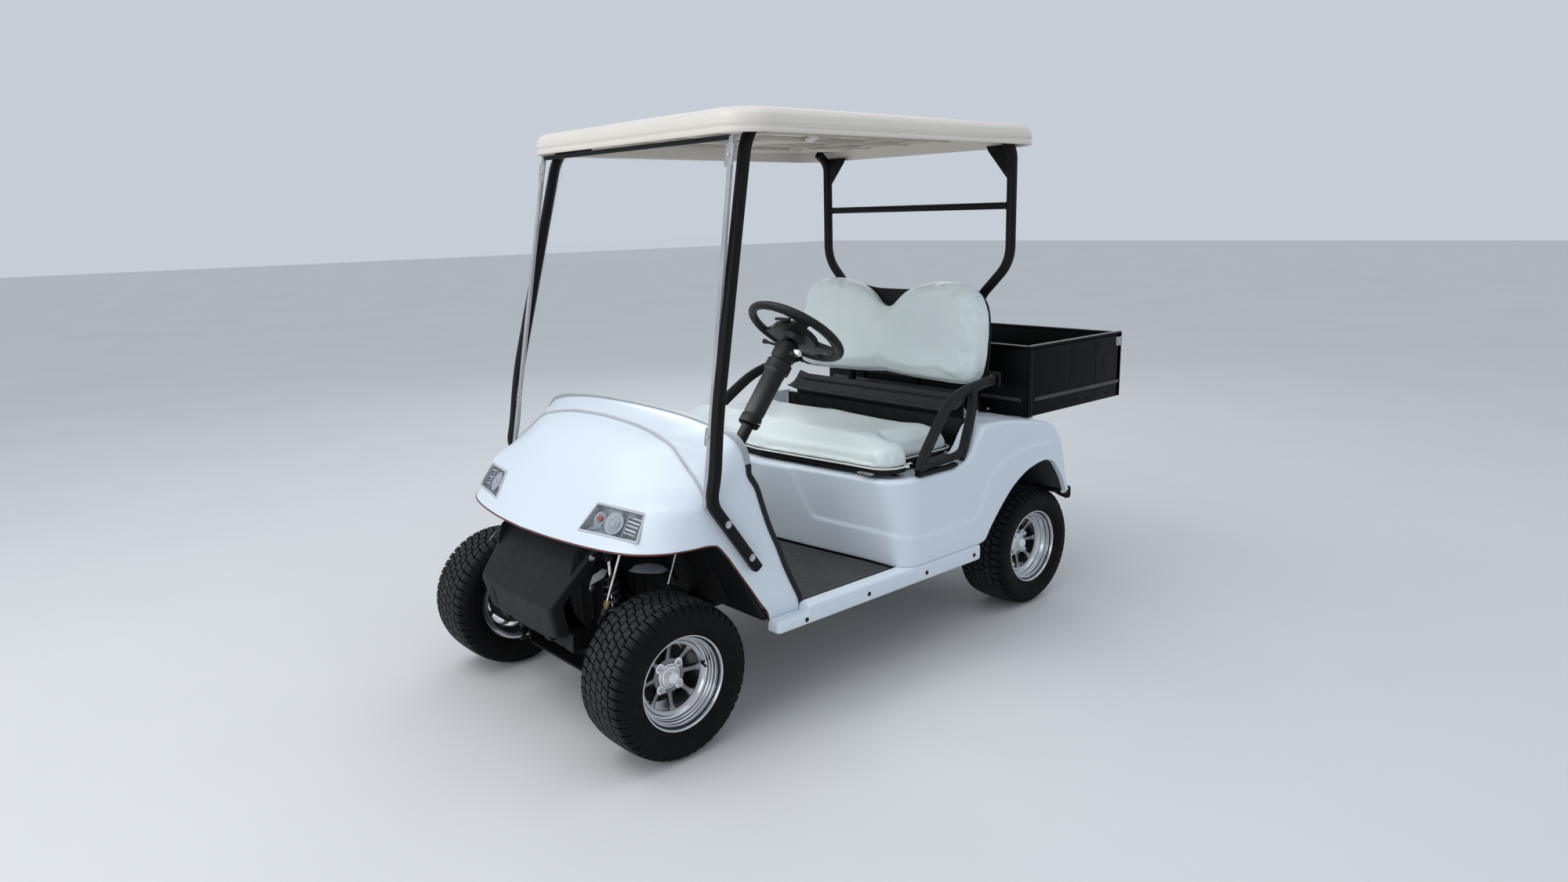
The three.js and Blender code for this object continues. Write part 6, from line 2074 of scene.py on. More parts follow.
def make_back():
    out = lobe_outline()
    cz = 1.045
    def loop(s, y, dz=0.0):
        L = []
        for (x, z) in out:
            r = math.hypot(x, z - cz)
            k = max(0.0, (r - s) / r) if r > 0 else 1
            L.append(leant((x * k, y, cz + (z - cz) * k + dz)))
        return L
    yb, yf = 1.452, 1.385
    sh = 0.007
    loops = [loop(0.060, yb - 0.003), loop(0.020, yb - 0.003), loop(0.009, yb - 0.007), loop(sh, yb - 0.016), loop(sh, yb - 0.030), loop(sh + 0.002, yf + 0.024), loop(sh + 0.010, yf + 0.013), loop(sh + 0.026, yf + 0.0065),
             loop(sh + 0.055, yf + 0.004), loop(0.10, yf + 0.004)]
    ob = rings_solid("seat_back_pad", [[tuple(p) for p in L] for L in loops], VINYL)
    voxel(ob, 0.0075)
    relax(ob, 4)
    n = Vector((0, -math.cos(LEAN), -math.sin(LEAN)))   # towards the sitter
    back_pt = leant((0, yb, 1.0))
    def hold(P):
        d = (P - np.array(back_pt)) @ np.array(n)
        return np.clip((0.012 - d) / 0.008, 0, 1)
    inflate(ob, 0.012, 4.5, hold)
    me = ob.data
    P = np.zeros(len(me.vertices) * 3, np.float32)
    me.vertices.foreach_get("co", P)
    P = P.reshape(-1, 3).astype(float)
    d = (P - np.array(back_pt)) @ np.array(n)
    x = P[:, 0]
    zz = P[:, 2]
    face = smooth01((d - 0.035) / 0.02)
    crease = np.exp(-(x / 0.055) ** 2) * smooth01((zz - 0.90) / 0.30) * 0.011
    lobes_ = 0.0065 * (np.exp(-((np.abs(x) - 0.25) / 0.15) ** 2))
    P = P + np.array(n)[None, :] * ((lobes_ - crease) * face)[:, None]
    # nothing behind the panel or past the solid's faces by more than the foam's own bulge
    d2 = (P - np.array(back_pt)) @ np.array(n)
    over = np.minimum(d2 - 0.0005, 0) + np.maximum(d2 - 0.077, 0)
    P = P - np.array(n)[None, :] * over[:, None]
    me.vertices.foreach_set("co", P.astype(np.float32).ravel())
    me.update()
    relax(ob, 3, 0.4)
    subdivide(ob, 1)
    shade(ob, True)
    finish_piece(ob, "cart", ["seat_back"])
    # black panel behind, a little inside the outline, that fills the notch between the lobes
    plate_out = [(0, 0.880), (0.440, 0.880), (0.470, 0.905), (0.474, 1.040), (0.458, 1.150), (0.425, 1.203), (0.380, 1.228), (0.280, 1.240), (0.200, 1.234), (0.130, 1.222), (0.080, 1.217), (0, 1.216)]
    half = catmull([(x, z, 0) for x, z in plate_out], 6)
    half = [(p.x, p.y) for p in half]
    full = half + [(-x, z) for x, z in half[::-1]][1:-1]
    loops = []
    for s, y in ((0.030, 1.4525), (0.0, 1.4525), (0.0, 1.458), (0.004, 1.4625), (0.012, 1.4645), (0.030, 1.4655), (0.060, 1.4655), (0.066, 1.4685), (0.075, 1.4695), (0.16, 1.4695)):
        L = []
        for (x_, z_) in full:
            r = math.hypot(x_, z_ - cz)
            k = (r - s) / r
            L.append(tuple(leant((x_ * k, y, cz + (z_ - cz) * k))))
        loops.append(L)
    pl = rings_solid("seat_back_shell", loops, BLACK_PLASTIC)
    shade(pl, True, 30)
    parts = [pl]
    # brackets to the armrests and the rails to the roof frame
    for sg in (1, -1):
        a = leant((sg * 0.455, 1.4655, 0.910)); b = leant((sg * 0.522, 1.4655, 0.910))
        parts.append(sweep("wing", [a, b], rounded_section(0.052, 0.0095, 0.003), BLACK_STEEL, up=(0, 0, 1), angle=40))
        for k in (0.25, 0.8):
            parts.append(bolt("b", a * (1 - k) + b * k + Vector((0, 0.0048, 0)), (0, 1, 0.11), r=0.0062, head=0.005, mat=ZINC))
    lo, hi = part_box("seat_back_panel")
    for (za, zb) in ((1.088, 1.110), (0.900, 0.922)):
        for sg in (1, -1):
            zc = (za + zb) / 2
            y_a = leant((0, 1.466, zc)).y
            p0 = Vector((sg * 0.30, y_a, zc)); p1 = Vector((sg * 0.30, hi.y - 0.004, zc))
            p2 = Vector((sg * 0.33, hi.y - 0.002, zc))
            parts.append(sweep("arm", round_path([p0, p1, Vector((sg * 0.345, hi.y + 0.006, zc))], 0.02, 5), rounded_section(0.022, 0.022, 0.005), BLACK_STEEL, up=(0, 0, 1), angle=40))
            parts.append(rounded_box("lug", (min(sg * 0.27, sg * 0.33), y_a - 0.001, zc - 0.024), (max(sg * 0.27, sg * 0.33), y_a + 0.005, zc + 0.024), 0.002, BLACK_STEEL, 2))
            for dz in (-0.015, 0.015):
                parts.append(bolt("b", (sg * 0.283, y_a + 0.005, zc + dz), (0, 1, 0), r=0.0045, head=0.004, mat=ZINC))
            parts.append(bolt("b", (sg * 0.318, y_a + 0.005, zc), (0, 1, 0), r=0.0045, head=0.004, mat=ZINC))
    sh_ = merge("seat_back_shell", parts)
    shade(sh_, True, 35)
    finish_piece(sh_, "cart", ["seat_back_panel"])


make_cushion()
make_back()


def make_tray():
    lo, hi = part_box("seat_tray")
    prof = catmull([(1.3165, 0.7935, 0), (1.328, 0.7965, 0), (1.345, 0.8035, 0), (1.358, 0.8125, 0), (1.372, 0.8285, 0), (1.3865, 0.8475, 0)], 5)
    rows = []
    for x in np.linspace(-0.44, 0.44, 120):
        e = (abs(x) / 0.44)
        lift = 0.010 * smooth01((e - 0.86) / 0.14)
        dip = -0.0018 * (1 if (int((x + 0.44) / 0.022) % 2) and e < 0.8 else 0)
        rows.append([(x, p.x + AY, p.y + lift + (dip if 0.25 < i / len(prof) < 0.6 else 0)) for i, p in enumerate(prof)])
    G = np.array(rows)
    t = grid_mesh("t", G, TRAY_GREY)
    if sum(p.normal.z for p in t.data.polygons) < 0:
        t.data.flip_normals()
    thicken(t, 0.004)
    parts = [t]
    parts.append(tube("edge", [Vector(G[i, 0]) + Vector((0, 0.001, -0.001)) for i in range(0, 120, 3)], 0.0036, TRAY_GREY, 10))
    # upright panel behind with its slits
    parts.append(rounded_box("panel", at(-0.44, 1.3665, 0.7648), at(0.44, 1.3715, 0.8315), 0.0016, BLACK_PLASTIC, 2))
    for x in (-0.40, 0.40):
        parts.append(rounded_box("foot", at(x - 0.022, 1.3715, 0.7650), at(x + 0.022, 1.408, 0.7705), 0.002, BLACK_STEEL, 2))
        parts.append(bolt("b", at(x, 1.392, 0.7705), (0, 0, 1), r=0.0052, head=0.0045, mat=ZINC))
    ob = merge("seat_tray_moulding", parts)
    shade(ob, True, 40)
    finish_piece(ob, "cart", ["seat_tray"])
    # pressed slots with bright edges and a blank tag in the dark space above the tray
    sl = []
    for (a, b, z) in ((0.070, 0.178, 0.8405), (0.212, 0.322, 0.8405), (-0.178, -0.070, 0.8405), (-0.322, -0.212, 0.8405)):
        sl.append(rounded_box("slit", at(a, 1.3858, z - 0.0018), at(b, 1.3882, z + 0.0018), 0.0008, CLIP_GREY, 2))
    sl.append(rounded_box("tag", at(-0.128, 1.3850, 0.8365), at(-0.090, 1.3885, 0.8455), 0.0012, LAMP_WHITE, 2))
    o = merge("tray_slots", sl)
    shade(o, True, 40)
    finish_piece(o, "cart")


TRAY_GREY = surface("tray_grey_plastic", (0.016, 0.017, 0.019), (0.022, 0.023, 0.0255), 5, (0.44, 0.58), spec=0.28, grain=(900, 0.3, 0.0005), dust=((0.05, 0.05, 0.05), 0.25))
make_tray()


def make_armrests():
    # a broad arm up to the seat back, a rear leg and a foot bar, one casting each side, leaning in towards the top
    def A(y, z, dx=0.0):
        return at(0.5855 - 0.32 * (z - 0.650) + dx, y, z)
    front = [(0.956, 0.662), (0.972, 0.680), (1.004, 0.710), (1.054, 0.751), (1.113, 0.799), (1.185, 0.849), (1.271, 0.880), (1.370, 0.893), (1.448, 0.9015)]
    fp = catmull([A(y, z) for y, z in front], 8)
    n = len(fp)
    parts = [sweep("a", fp, rounded_section(0.040, 0.026, 0.010, 4), ARM_BROWN, up=(0, 0, 1), angle=45, scale=[0.92 + 0.14 * math.sin(math.pi * min(1.0, i / (n * 0.75))) for i in range(n)])]
    rear = [(1.176, 0.672), (1.204, 0.699), (1.236, 0.738), (1.263, 0.771), (1.294, 0.814), (1.315, 0.852), (1.326, 0.882)]
    rp = catmull([A(y, z) for y, z in rear], 8)
    parts.append(sweep("r", rp, rounded_section(0.033, 0.026, 0.009, 4), ARM_BROWN, up=(0, 1, 0), angle=45))
    foot = [(0.962, 0.668), (1.005, 0.6745), (1.101, 0.680), (1.160, 0.683), (1.192, 0.692)]
    bp = catmull([A(y, z) for y, z in foot], 8)
    parts.append(sweep("f", bp, rounded_section(0.024, 0.026, 0.007, 4), ARM_BROWN, up=(0, 0, 1), angle=45))
    # the base on the ledge
    web = [A(1.262, 0.866), A(1.345, 0.884), A(1.324, 0.840), A(1.304, 0.822)]
    o = (web[1] - web[0]).normalized()
    base = [(0.948, 0.6555), (1.00, 0.6555), (1.06, 0.6555), (1.110, 0.6555), (1.140, 0.6585)]
    parts.append(sweep("p", catmull([at(0.5855, y, z) for y, z in base], 6), rounded_section(0.0135, 0.0255, 0.004, 3), BLACK_STEEL, up=(0, 0, 1), angle=45))
    for (y, z) in ((0.9545, 0.668), (1.196, 0.690), (1.436, 0.9005)):
        parts.append(turn_between("pin", A(y, z, 0.0115), A(y, z, 0.0145), [(0, 0.0100), (0.6, 0.0100), (1, 0.0070)], BLACK_STEEL, 18))
    left = merge("armrest_left_casting", parts)
    shade(left, True, 45)
    right = mirrored(left, "armrest_right_casting")
    shade(right, True, 45)
    finish_piece(left, "cart", ["armrest_left"])
    finish_piece(right, "cart", ["armrest_right"])


ARM_BROWN = surface("armrest_dark_plastic", (0.0075, 0.0070, 0.0072), (0.0105, 0.0100, 0.0102), 8, (0.40, 0.54), spec=0.2, grain=(900, 0.3, 0.0005), dust=((0.035, 0.034, 0.033), 0.3))
make_armrests()


# ------------------------------------------------------------------ steering wheel, column
def make_steering():
    jn = [j for j in frame["joints"] if j["name"].startswith("steering_wheel")][0]
    ax = Vector(jn["axis"]).normalized()
    if ax.z < 0:
        ax = -ax
    c = (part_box("steering_wheel")[0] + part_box("steering_wheel")[1]) / 2
    c = at(0.250, 0.730, 1.120)
    ex = Vector((1, 0, 0))
    ey = ax.cross(ex)            # rearwards and down: the driver's side of the wheel
    def W(u, v, h=0.0):
        return c + ex * u + ey * v + ax * h
    R = 0.158
    seg = 96
    verts, faces = [], []
    ns = 16
    for k in range(seg):
        a = 2 * math.pi * k / seg
        er = ex * math.cos(a) + ey * math.sin(a)
        grip = 1.0 + 0.035 * max(0.0, math.sin(a * 14)) * 0
        for j in range(ns):
            t = 2 * math.pi * j / ns
            rr = 0.0142 + 0.0006 * math.cos(a * 48) * (1 if -0.6 < math.cos(t) < 0.2 else 0)
            verts.append(c + er * (R + rr * math.cos(t)) + ax * (0.0135 * math.sin(t)))
    for k in range(seg):
        l = (k + 1) % seg
        for j in range(ns):
            m = (j + 1) % ns
            faces.append((k * ns + j, k * ns + m, l * ns + m, l * ns + j))
    rim = mesh_object("rim", verts, faces, WHEEL_PLASTIC, True)
    bm = bmesh.new(); bm.from_mesh(rim.data); bmesh.ops.recalc_face_normals(bm, faces=bm.faces); bm.to_mesh(rim.data); bm.free()
    parts = [rim]
    # the broad dished centre, open beyond the pad and at the side
    def disc(r, h):
        return [tuple(W(r * math.cos(2 * math.pi * k / 96), r * math.sin(2 * math.pi * k / 96), h)) for k in range(96)]
    loops = [disc(r, h) for r, h in ((0.030, -0.022), (0.060, -0.0215), (0.090, -0.018), (0.125, -0.011), (0.146, -0.0065), (0.1500, -0.002), (0.146, 0.0030),
                                     (0.120, 0.0020), (0.085, 0.0005), (0.066, 0.0030), (0.061, 0.0085), (0.056, 0.0115), (0.045, 0.0130), (0.020, 0.0138))]
    pd = rings_solid("pad", loops, WHEEL_PLASTIC)
    def arc(r0, r1, a0, a1):
        n = 12
        A_ = [math.radians(a0 + (a1 - a0) * k / n) for k in range(n + 1)]
        return [(r1 * math.cos(a), r1 * math.sin(a)) for a in A_] + [(r0 * math.cos(a), r0 * math.sin(a)) for a in reversed(A_)]
    opening = rounded_poly([(-0.150, -0.004), (-0.139, -0.058), (-0.114, -0.095), (-0.075, -0.128), (-0.034, -0.143), (0.015, -0.140), (0.054, -0.125), (0.091, -0.088), (0.03, -0.067), (-0.046, -0.056), (-0.09, -0.030)], 0.010, 4)
    for outline in (opening, arc(0.080, 0.137, -27, 38), arc(0.116, 0.139, 60, 90)):
        cut = plate("cut", outline, 0.08, W(0, 0, -0.04), ex, ey, WHEEL_PLASTIC, r=0)
        bm = bmesh.new(); bm.from_mesh(cut.data); bmesh.ops.recalc_face_normals(bm, faces=bm.faces); bm.to_mesh(cut.data); bm.free()
        boolean(pd, cut)
    parts.append(pd)
    parts.append(turn_between("ring", W(0, 0, 0.0125), W(0, 0, 0.0160), [(0, 0.030), (0.6, 0.030), (1, 0.026)], WHEEL_PLASTIC, 40))
    # clip on the pad and the hub below
    parts.append(rounded_box("clip", W(-0.030, -0.076, 0.0) - Vector((0, 0.006, 0.004)), W(0.030, -0.066, 0.0) + Vector((0, 0.006, 0.012)), 0.003, WHEEL_PLASTIC, 2))
    parts.append(turn_between("hub", W(0, 0, -0.010), W(0, 0, -0.0375), [(0, 0.052), (0.35, 0.050), (0.7, 0.040), (1, 0.036)], WHEEL_PLASTIC, 36))
    ob = merge("steering_wheel_full", parts)
    shade(ob, True, 42)
    finish_piece(ob, "steering_wheel", ["steering_wheel"])

    def A(d, u=0.0, v=0.0):
        return c - ax * d + ex * u + ey * v
    cp = []
    cp.append(turn_between("col", A(0.0385), A(0.782), [(0.0, 0.014), (0.06, 0.014), (0.065, 0.0195), (0.985, 0.0195), (1.0, 0.018)], BLACK_STEEL, 28))
    cp.append(turn_between("shroud", A(0.043), A(0.335), [(0.0, 0.028), (0.02, 0.036), (0.05, 0.0405), (0.20, 0.0405), (0.22, 0.0355), (0.24, 0.0355), (0.26, 0.0425), (0.36, 0.0425), (0.38, 0.0365), (0.42, 0.0345), (0.90, 0.0335), (0.955, 0.0310), (0.97, 0.0345), (0.99, 0.0345), (1.0, 0.027)], WHEEL_PLASTIC, 36))
    cp.append(turn_between("boot", A(0.690), A(0.776), [(0.0, 0.024), (0.08, 0.028), (0.16, 0.0255), (0.26, 0.031), (0.36, 0.0285), (0.46, 0.034), (0.58, 0.0315), (0.68, 0.038), (0.80, 0.036), (0.88, 0.043), (1, 0.045)], SKIN_BLACK, 32))
    # ignition barrel with key, and a short lever on one side
    k0 = A(0.085, 0.030, -0.004)
    cp.append(turn_between("lock", k0, k0 + ex * 0.022 + ax * 0.006, [(0, 0.0125), (0.75, 0.0125), (1, 0.010)], WHEEL_PLASTIC, 20))
    cp.append(turn_between("ring", k0 + ex * 0.022 + ax * 0.006, k0 + ex * 0.0255 + ax * 0.007, [(0, 0.0088), (1, 0.0080)], CHROME, 20))
    cp.append(rounded_box("key", k0 + ex * 0.025 + Vector((0, -0.0075, -0.004)), k0 + ex * 0.046 + Vector((0, 0.0085, 0.020)), 0.0012, CHROME, 2))
    l0 = A(0.062, -0.030, -0.012)
    cp.append(turn_between("lever", l0, l0 - ex * 0.060 - ey * 0.022, [(0, 0.0075), (0.2, 0.005), (0.7, 0.0045), (0.78, 0.0075), (0.97, 0.0080), (1, 0.005)], WHEEL_PLASTIC, 16))
    # clamp halves and the bracket to the dash
    cl = A(0.318)
    cp.append(turn_between("clamp", A(0.318), A(0.352), [(0, 0.0325), (0.1, 0.0352), (0.9, 0.0352), (1, 0.032)], BLACK_STEEL, 30))
    lo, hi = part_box("steering_column")
    p_on = A(0.345)
    z_b = 0.708
    d_b = (c.z - z_b) / ax.z
    q = c - ax * d_b
    cp.append(rounded_box("bracket", (c.x - 0.030, AY + 0.2725, z_b - 0.009), (c.x + 0.030, q.y + 0.012, z_b + 0.009), 0.004, BLACK_STEEL, 2))
    cp.append(rounded_box("bracket_foot", (c.x - 0.048, AY + 0.2725, z_b - 0.030), (c.x + 0.048, AY + 0.2785, z_b + 0.030), 0.002, BLACK_STEEL, 2))
    for dx in (-0.038, 0.038):
        cp.append(bolt("b", (c.x + dx, AY + 0.2785, z_b + 0.018), (0, 1, 0), r=0.0052, head=0.0045, mat=ZINC))
        cp.append(bolt("b", (c.x + dx * 0.9, p_on.y + 0.010, p_on.z - 0.004), (0, 0.6, 0.4), r=0.0045, head=0.004, mat=ZINC))
    col = merge("steering_column_full", cp)
    shade(col, True, 40)
    finish_piece(col, "cart", ["steering_column"])


WHEEL_PLASTIC = surface("wheel_grained_plastic", (0.0055, 0.0055, 0.006), (0.008, 0.008, 0.0085), 8, (0.38, 0.52), spec=0.25, grain=(1000, 0.3, 0.0005), dust=((0.028, 0.028, 0.028), 0.2))
make_steering()


# ------------------------------------------------------------------ cargo box and tailgate
def make_box():
    lo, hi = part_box("cargo_box")
    glo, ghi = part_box("tailgate")
    y0, y1 = lo.y, hi.y
    hx, z0, z1 = hi.x, lo.z, hi.z
    t = 0.0035
    parts = []
    B = lambda *a, **k: parts.append(rounded_box(*a, **k))
    # floor with pressed flutes, walls with a rolled top edge, corner posts
    rows = []
    xs = np.linspace(-hx + 0.006, hx - 0.006, 190)
    for x in xs:
        k = (x + hx) / 0.075
        f = abs((k % 1.0) - 0.5)
        h = 0.006 * (1 - smooth01((f - 0.16) / 0.10)) if abs(x) < hx - 0.06 else 0.0
        rows.append([(x, y, z0 + 0.009 + float(h)) for y in (y0 + 0.006, y0 + 0.02, (y0 + y1) / 2, y1 - 0.004, y1)])
    fl = grid_mesh("floor", np.array(rows), BOX_BLACK)
    if fl.data.polygons[10].normal.z < 0:
        fl.data.flip_normals()
    thicken(fl, 0.003)
    parts.append(fl)
    B("front", (-hx + 0.004, y0, z0), (hx - 0.004, y0 + t, z1 - 0.010), 0.0012, BOX_BLACK, seg=2)
    for sg in (1, -1):
        x0_, x1_ = sorted((sg * hx, sg * (hx - t)))
        B("side", (x0_, y0 + 0.004, z0), (x1_, y1, z1 - 0.010), 0.0012, BOX_BLACK, seg=2)
    # rolled edge: dark tube capped by a bright wear strip along its outer crown
    for sg in (1, -1):
        parts.append(sweep("roll", [(sg * (hx - 0.0085), y0 + 0.012, z1 - 0.0115), (sg * (hx - 0.0085), y1, z1 - 0.0115)], rounded_section(0.020, 0.017, 0.007, 4), BOX_BLACK, up=(0, 0, 1), angle=40))
        x0_, x1_ = sorted((sg * (hx - 0.0005), sg * (hx - 0.0165)))
        B("crown", (x0_, y0 + 0.002, z1 - 0.0030), (x1_, y1, z1), 0.0013, RIM_GREY, seg=2)
    parts.append(sweep("roll", [(-hx + 0.012, y0 + 0.0085, z1 - 0.0115), (hx - 0.012, y0 + 0.0085, z1 - 0.0115)], rounded_section(0.020, 0.017, 0.007, 4), BOX_BLACK, up=(0, 0, 1), angle=40))
    B("crown", (-hx + 0.0005, y0 + 0.0005, z1 - 0.0030), (hx - 0.0005, y0 + 0.0165, z1), 0.0013, RIM_GREY, seg=2)
    # swaged ribs along the walls, outside
    zr = 0.800
    for sg in (1, -1):
        parts.append(sweep("rib", [(sg * (hx - 0.0022), y0 + 0.050, zr - 0.003), (sg * (hx - 0.0022), y1 - 0.020, zr - 0.003)], [(-0.010, -0.001), (-0.006, 0.0024), (0.006, 0.0024), (0.010, -0.001)], RIB_GREY if sg else RIB_GREY, up=(0, 0, 1), angle=30)
                     if False else rounded_box("rib", (min(sg * (hx - 0.001), sg * (hx + 0.0022)), y0 + 0.045, zr - 0.007), (max(sg * (hx - 0.001), sg * (hx + 0.0022)), y1 - 0.015, zr + 0.007), 0.002, RIB_GREY, 3))
        for y in (y0 + 0.008, y0 + 0.235, y0 + 0.45):
            x0_, x1_ = sorted((sg * hx, sg * (hx - 0.010)))
            B("post", (x0_ - 0.0002, y + 0.0, z0 + 0.002), (x1_ + 0.0002, y + 0.026, z1 - 0.018), 0.0025, BOX_BLACK, seg=2)
        x0_, x1_ = sorted((sg * hx, sg * (hx - 0.022)))
        B("corner", (x0_, y1 - 0.030, z0), (x1_, y1, z1 - 0.004), 0.003, BOX_BLACK, seg=2)
    for x in (-0.30, 0.0, 0.30):
        B("post", (x - 0.013, y0 - 0.0, z0 + 0.002), (x + 0.013, y0 + 0.010, z1 - 0.018), 0.0025, BOX_BLACK, seg=2)
    B("frontrib", (-hx + 0.03, y0 - 0.0018, zr - 0.007), (hx - 0.03, y0 + 0.002, zr + 0.007), 0.0018, RIB_GREY, seg=3)
    # rear sill: closes the ends of the flutes
    B("sill", (-hx + 0.006, y1 - 0.007, z0 + 0.0002), (hx - 0.006, y1 - 0.0005, z0 + 0.0140), 0.001, BOX_BLACK, seg=2)
    # under rails
    for x in (-0.42, 0.0, 0.42):
        B("under", (x - 0.02, y0 + 0.02, z0 + 0.0004), (x + 0.02, y1 - 0.01, z0 + 0.010), 0.002, BOX_BLACK, seg=2)
    # rivets
    for sg in (1, -1):
        for y in np.linspace(y0 + 0.03, y1 - 0.015, 9):
            parts.append(bolt("r", (sg * (hx + 0.0), y, z0 + 0.022), (sg, 0, 0), r=0.0036, head=0.0022, mat=BOX_BLACK, washer=False, dome=True))
    # latch stays on the rear corners
    for sg in (1, -1):
        x = sg * (hx - 0.004)
        B("catch", (min(x, x + sg * 0.006), y1 - 0.040, z1 - 0.058), (max(x, x + sg * 0.006), y1 + 0.002, z1 - 0.022), 0.002, CLIP_GREY, seg=2)
        parts.append(bolt("b", (x + sg * 0.006, y1 - 0.025, z1 - 0.040), (sg, 0, 0), r=0.005, head=0.0035, mat=ZINC))
    ob = merge("cargo_box_shell", parts)
    shade(ob, True, 35)
    finish_piece(ob, "cart", ["cargo_box"])
    # tailgate: pressed sheet with a frame, three panels and a bottom hinge
    parts = []
    gx, gy0, gy1, gz0, gz1 = ghi.x, glo.y, ghi.y, glo.z, ghi.z
    parts.append(rounded_box("sheet", (-gx, gy0 + 0.001, gz0 + 0.004), (gx, gy0 + 0.005, gz1 - 0.004), 0.0012, BOX_BLACK, 2))
    parts.append(sweep("top", [(-gx, gy0 + 0.0085, gz1 - 0.0085), (gx, gy0 + 0.0085, gz1 - 0.0085)], rounded_section(0.0165, 0.0165, 0.006, 4), BOX_BLACK, up=(0, 0, 1), angle=40))
    parts.append(rounded_box("crown", (-gx, gy0 + 0.001, gz1 - 0.003), (gx, gy1 - 0.001, gz1), 0.0012, RIM_GREY, 2))
    for x in (-gx + 0.012, -gx / 3, gx / 3, gx - 0.012):
        parts.append(rounded_box("rib", (x - 0.012, gy0 + 0.004, gz0 + 0.010), (x + 0.012, gy1 - 0.003, gz1 - 0.014), 0.003, BOX_BLACK, 2))
    for z in (gz0 + 0.05, (gz0 + gz1) / 2, gz1 - 0.055):
        parts.append(rounded_box("rib", (-gx + 0.01, gy0 + 0.004, z - 0.008), (gx - 0.01, gy1 - 0.006, z + 0.008), 0.003, BOX_BLACK, 2))
    for x in (-0.36, 0.0, 0.36):
        parts.append(turn_between("knuckle", (x - 0.045, gy0 + 0.0085, gz0 + 0.0075), (x + 0.045, gy0 + 0.0085, gz0 + 0.0075), [(0, 0.0072), (0.02, 0.0075), (0.98, 0.0075), (1, 0.0072)], ZINC, 18))
    for sg in (1, -1):
        x = sg * (gx - 0.03)
        parts.append(rounded_box("handle_plate", (x - 0.022, gy1 - 0.004, gz1 - 0.072), (x + 0.022, gy1 - 0.0012, gz1 - 0.030), 0.001, CLIP_GREY, 2))
        parts.append(turn_between("knob", (x, gy1 - 0.004, gz1 - 0.050), (x, gy1 - 0.0002, gz1 - 0.050), [(0, 0.008), (0.7, 0.008), (1, 0.006)], ZINC, 18))
    ob = merge("tailgate_panel", parts)
    shade(ob, True, 35)
    finish_piece(ob, "tailgate", ["tailgate"])


BOX_BLACK = surface("box_black_coat", (0.0030, 0.0033, 0.0033), (0.0045, 0.0048, 0.0048), 3, (0.46, 0.6), spec=0.10, grain=(1200, 0.25, 0.0005), orange=(140, 0.1, 0.0005), dust=((0.022, 0.021, 0.020), 0.3))
RIM_GREY = surface("worn_rim_grey", (0.16, 0.16, 0.17), (0.24, 0.24, 0.25), 14, (0.3, 0.45), metal=0.5, grain=(500, 0.3, 0.0004))
RIB_GREY = surface("rib_rubbed_coat", (0.018, 0.019, 0.019), (0.050, 0.050, 0.049), 9, (0.3, 0.45), grain=(800, 0.3, 0.0004))
make_box()


def make_supports():
    lo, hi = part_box("cargo_supports")
    parts = []
    zt = hi.z
    for sg in (1, -1):
        def bx(x0, x1, ya, yb, za, zb, r=0.004, mat=None):
            a, b = sorted((sg * x0, sg * x1))
            parts.append(rounded_box("b", (a, AY + ya, za), (b, AY + yb, zb), r, mat or BLACK_STEEL, 2))
        bx(0.180, 0.225, 1.745, 2.280, 0.700, zt)
        bx(0.180, 0.225, 1.660, 1.760, 0.724, zt)
        bx(0.182, 0.223, 1.862, 1.890, 0.3905, 0.712)
        bx(0.168, 0.237, 1.850, 1.902, 0.3905, 0.398, 0.002)
        bx(0.168, 0.237, 1.850, 1.902, 0.694, 0.7005, 0.002)
        # deck bracket: a light grey pressed block on a wider grey plate
        bx(0.462, 0.498, 1.644, 1.682, 0.727, zt, 0.003, BRACKET_GREY)
        bx(0.448, 0.512, 1.630, 1.696, 0.7265, 0.7335, 0.002, BRACKET_GREY)
        for dx, dy in ((0.455, 1.638), (0.505, 1.688)):
            parts.append(bolt("b", (sg * dx, AY + dy, 0.7333), (0, 0, 1), r=0.0042, head=0.0035, mat=ZINC))
        # gusset between post and beam
        o = [(0.0, 0.0), (0.075, 0.0), (0.0, -0.085)]
        parts.append(plate("g", o, 0.004, (sg * 0.2005, AY + 1.888, 0.702), (0, 1, 0), (0, 0, 1), BLACK_STEEL, r=0.0006))
    parts.append(rounded_box("cross", (-0.494, AY + 1.650, 0.7255), (0.494, AY + 1.676, zt), 0.003, BLACK_STEEL, 2))
    ob = merge("cargo_support_frame", parts)
    shade(ob, True, 38)
    finish_piece(ob, "cart", ["cargo_supports"])


BRACKET_GREY = surface("bracket_grey", (0.26, 0.265, 0.28), (0.32, 0.325, 0.34), 12, (0.4, 0.55), metal=0.3, grain=(500, 0.3, 0.0005))
make_supports()


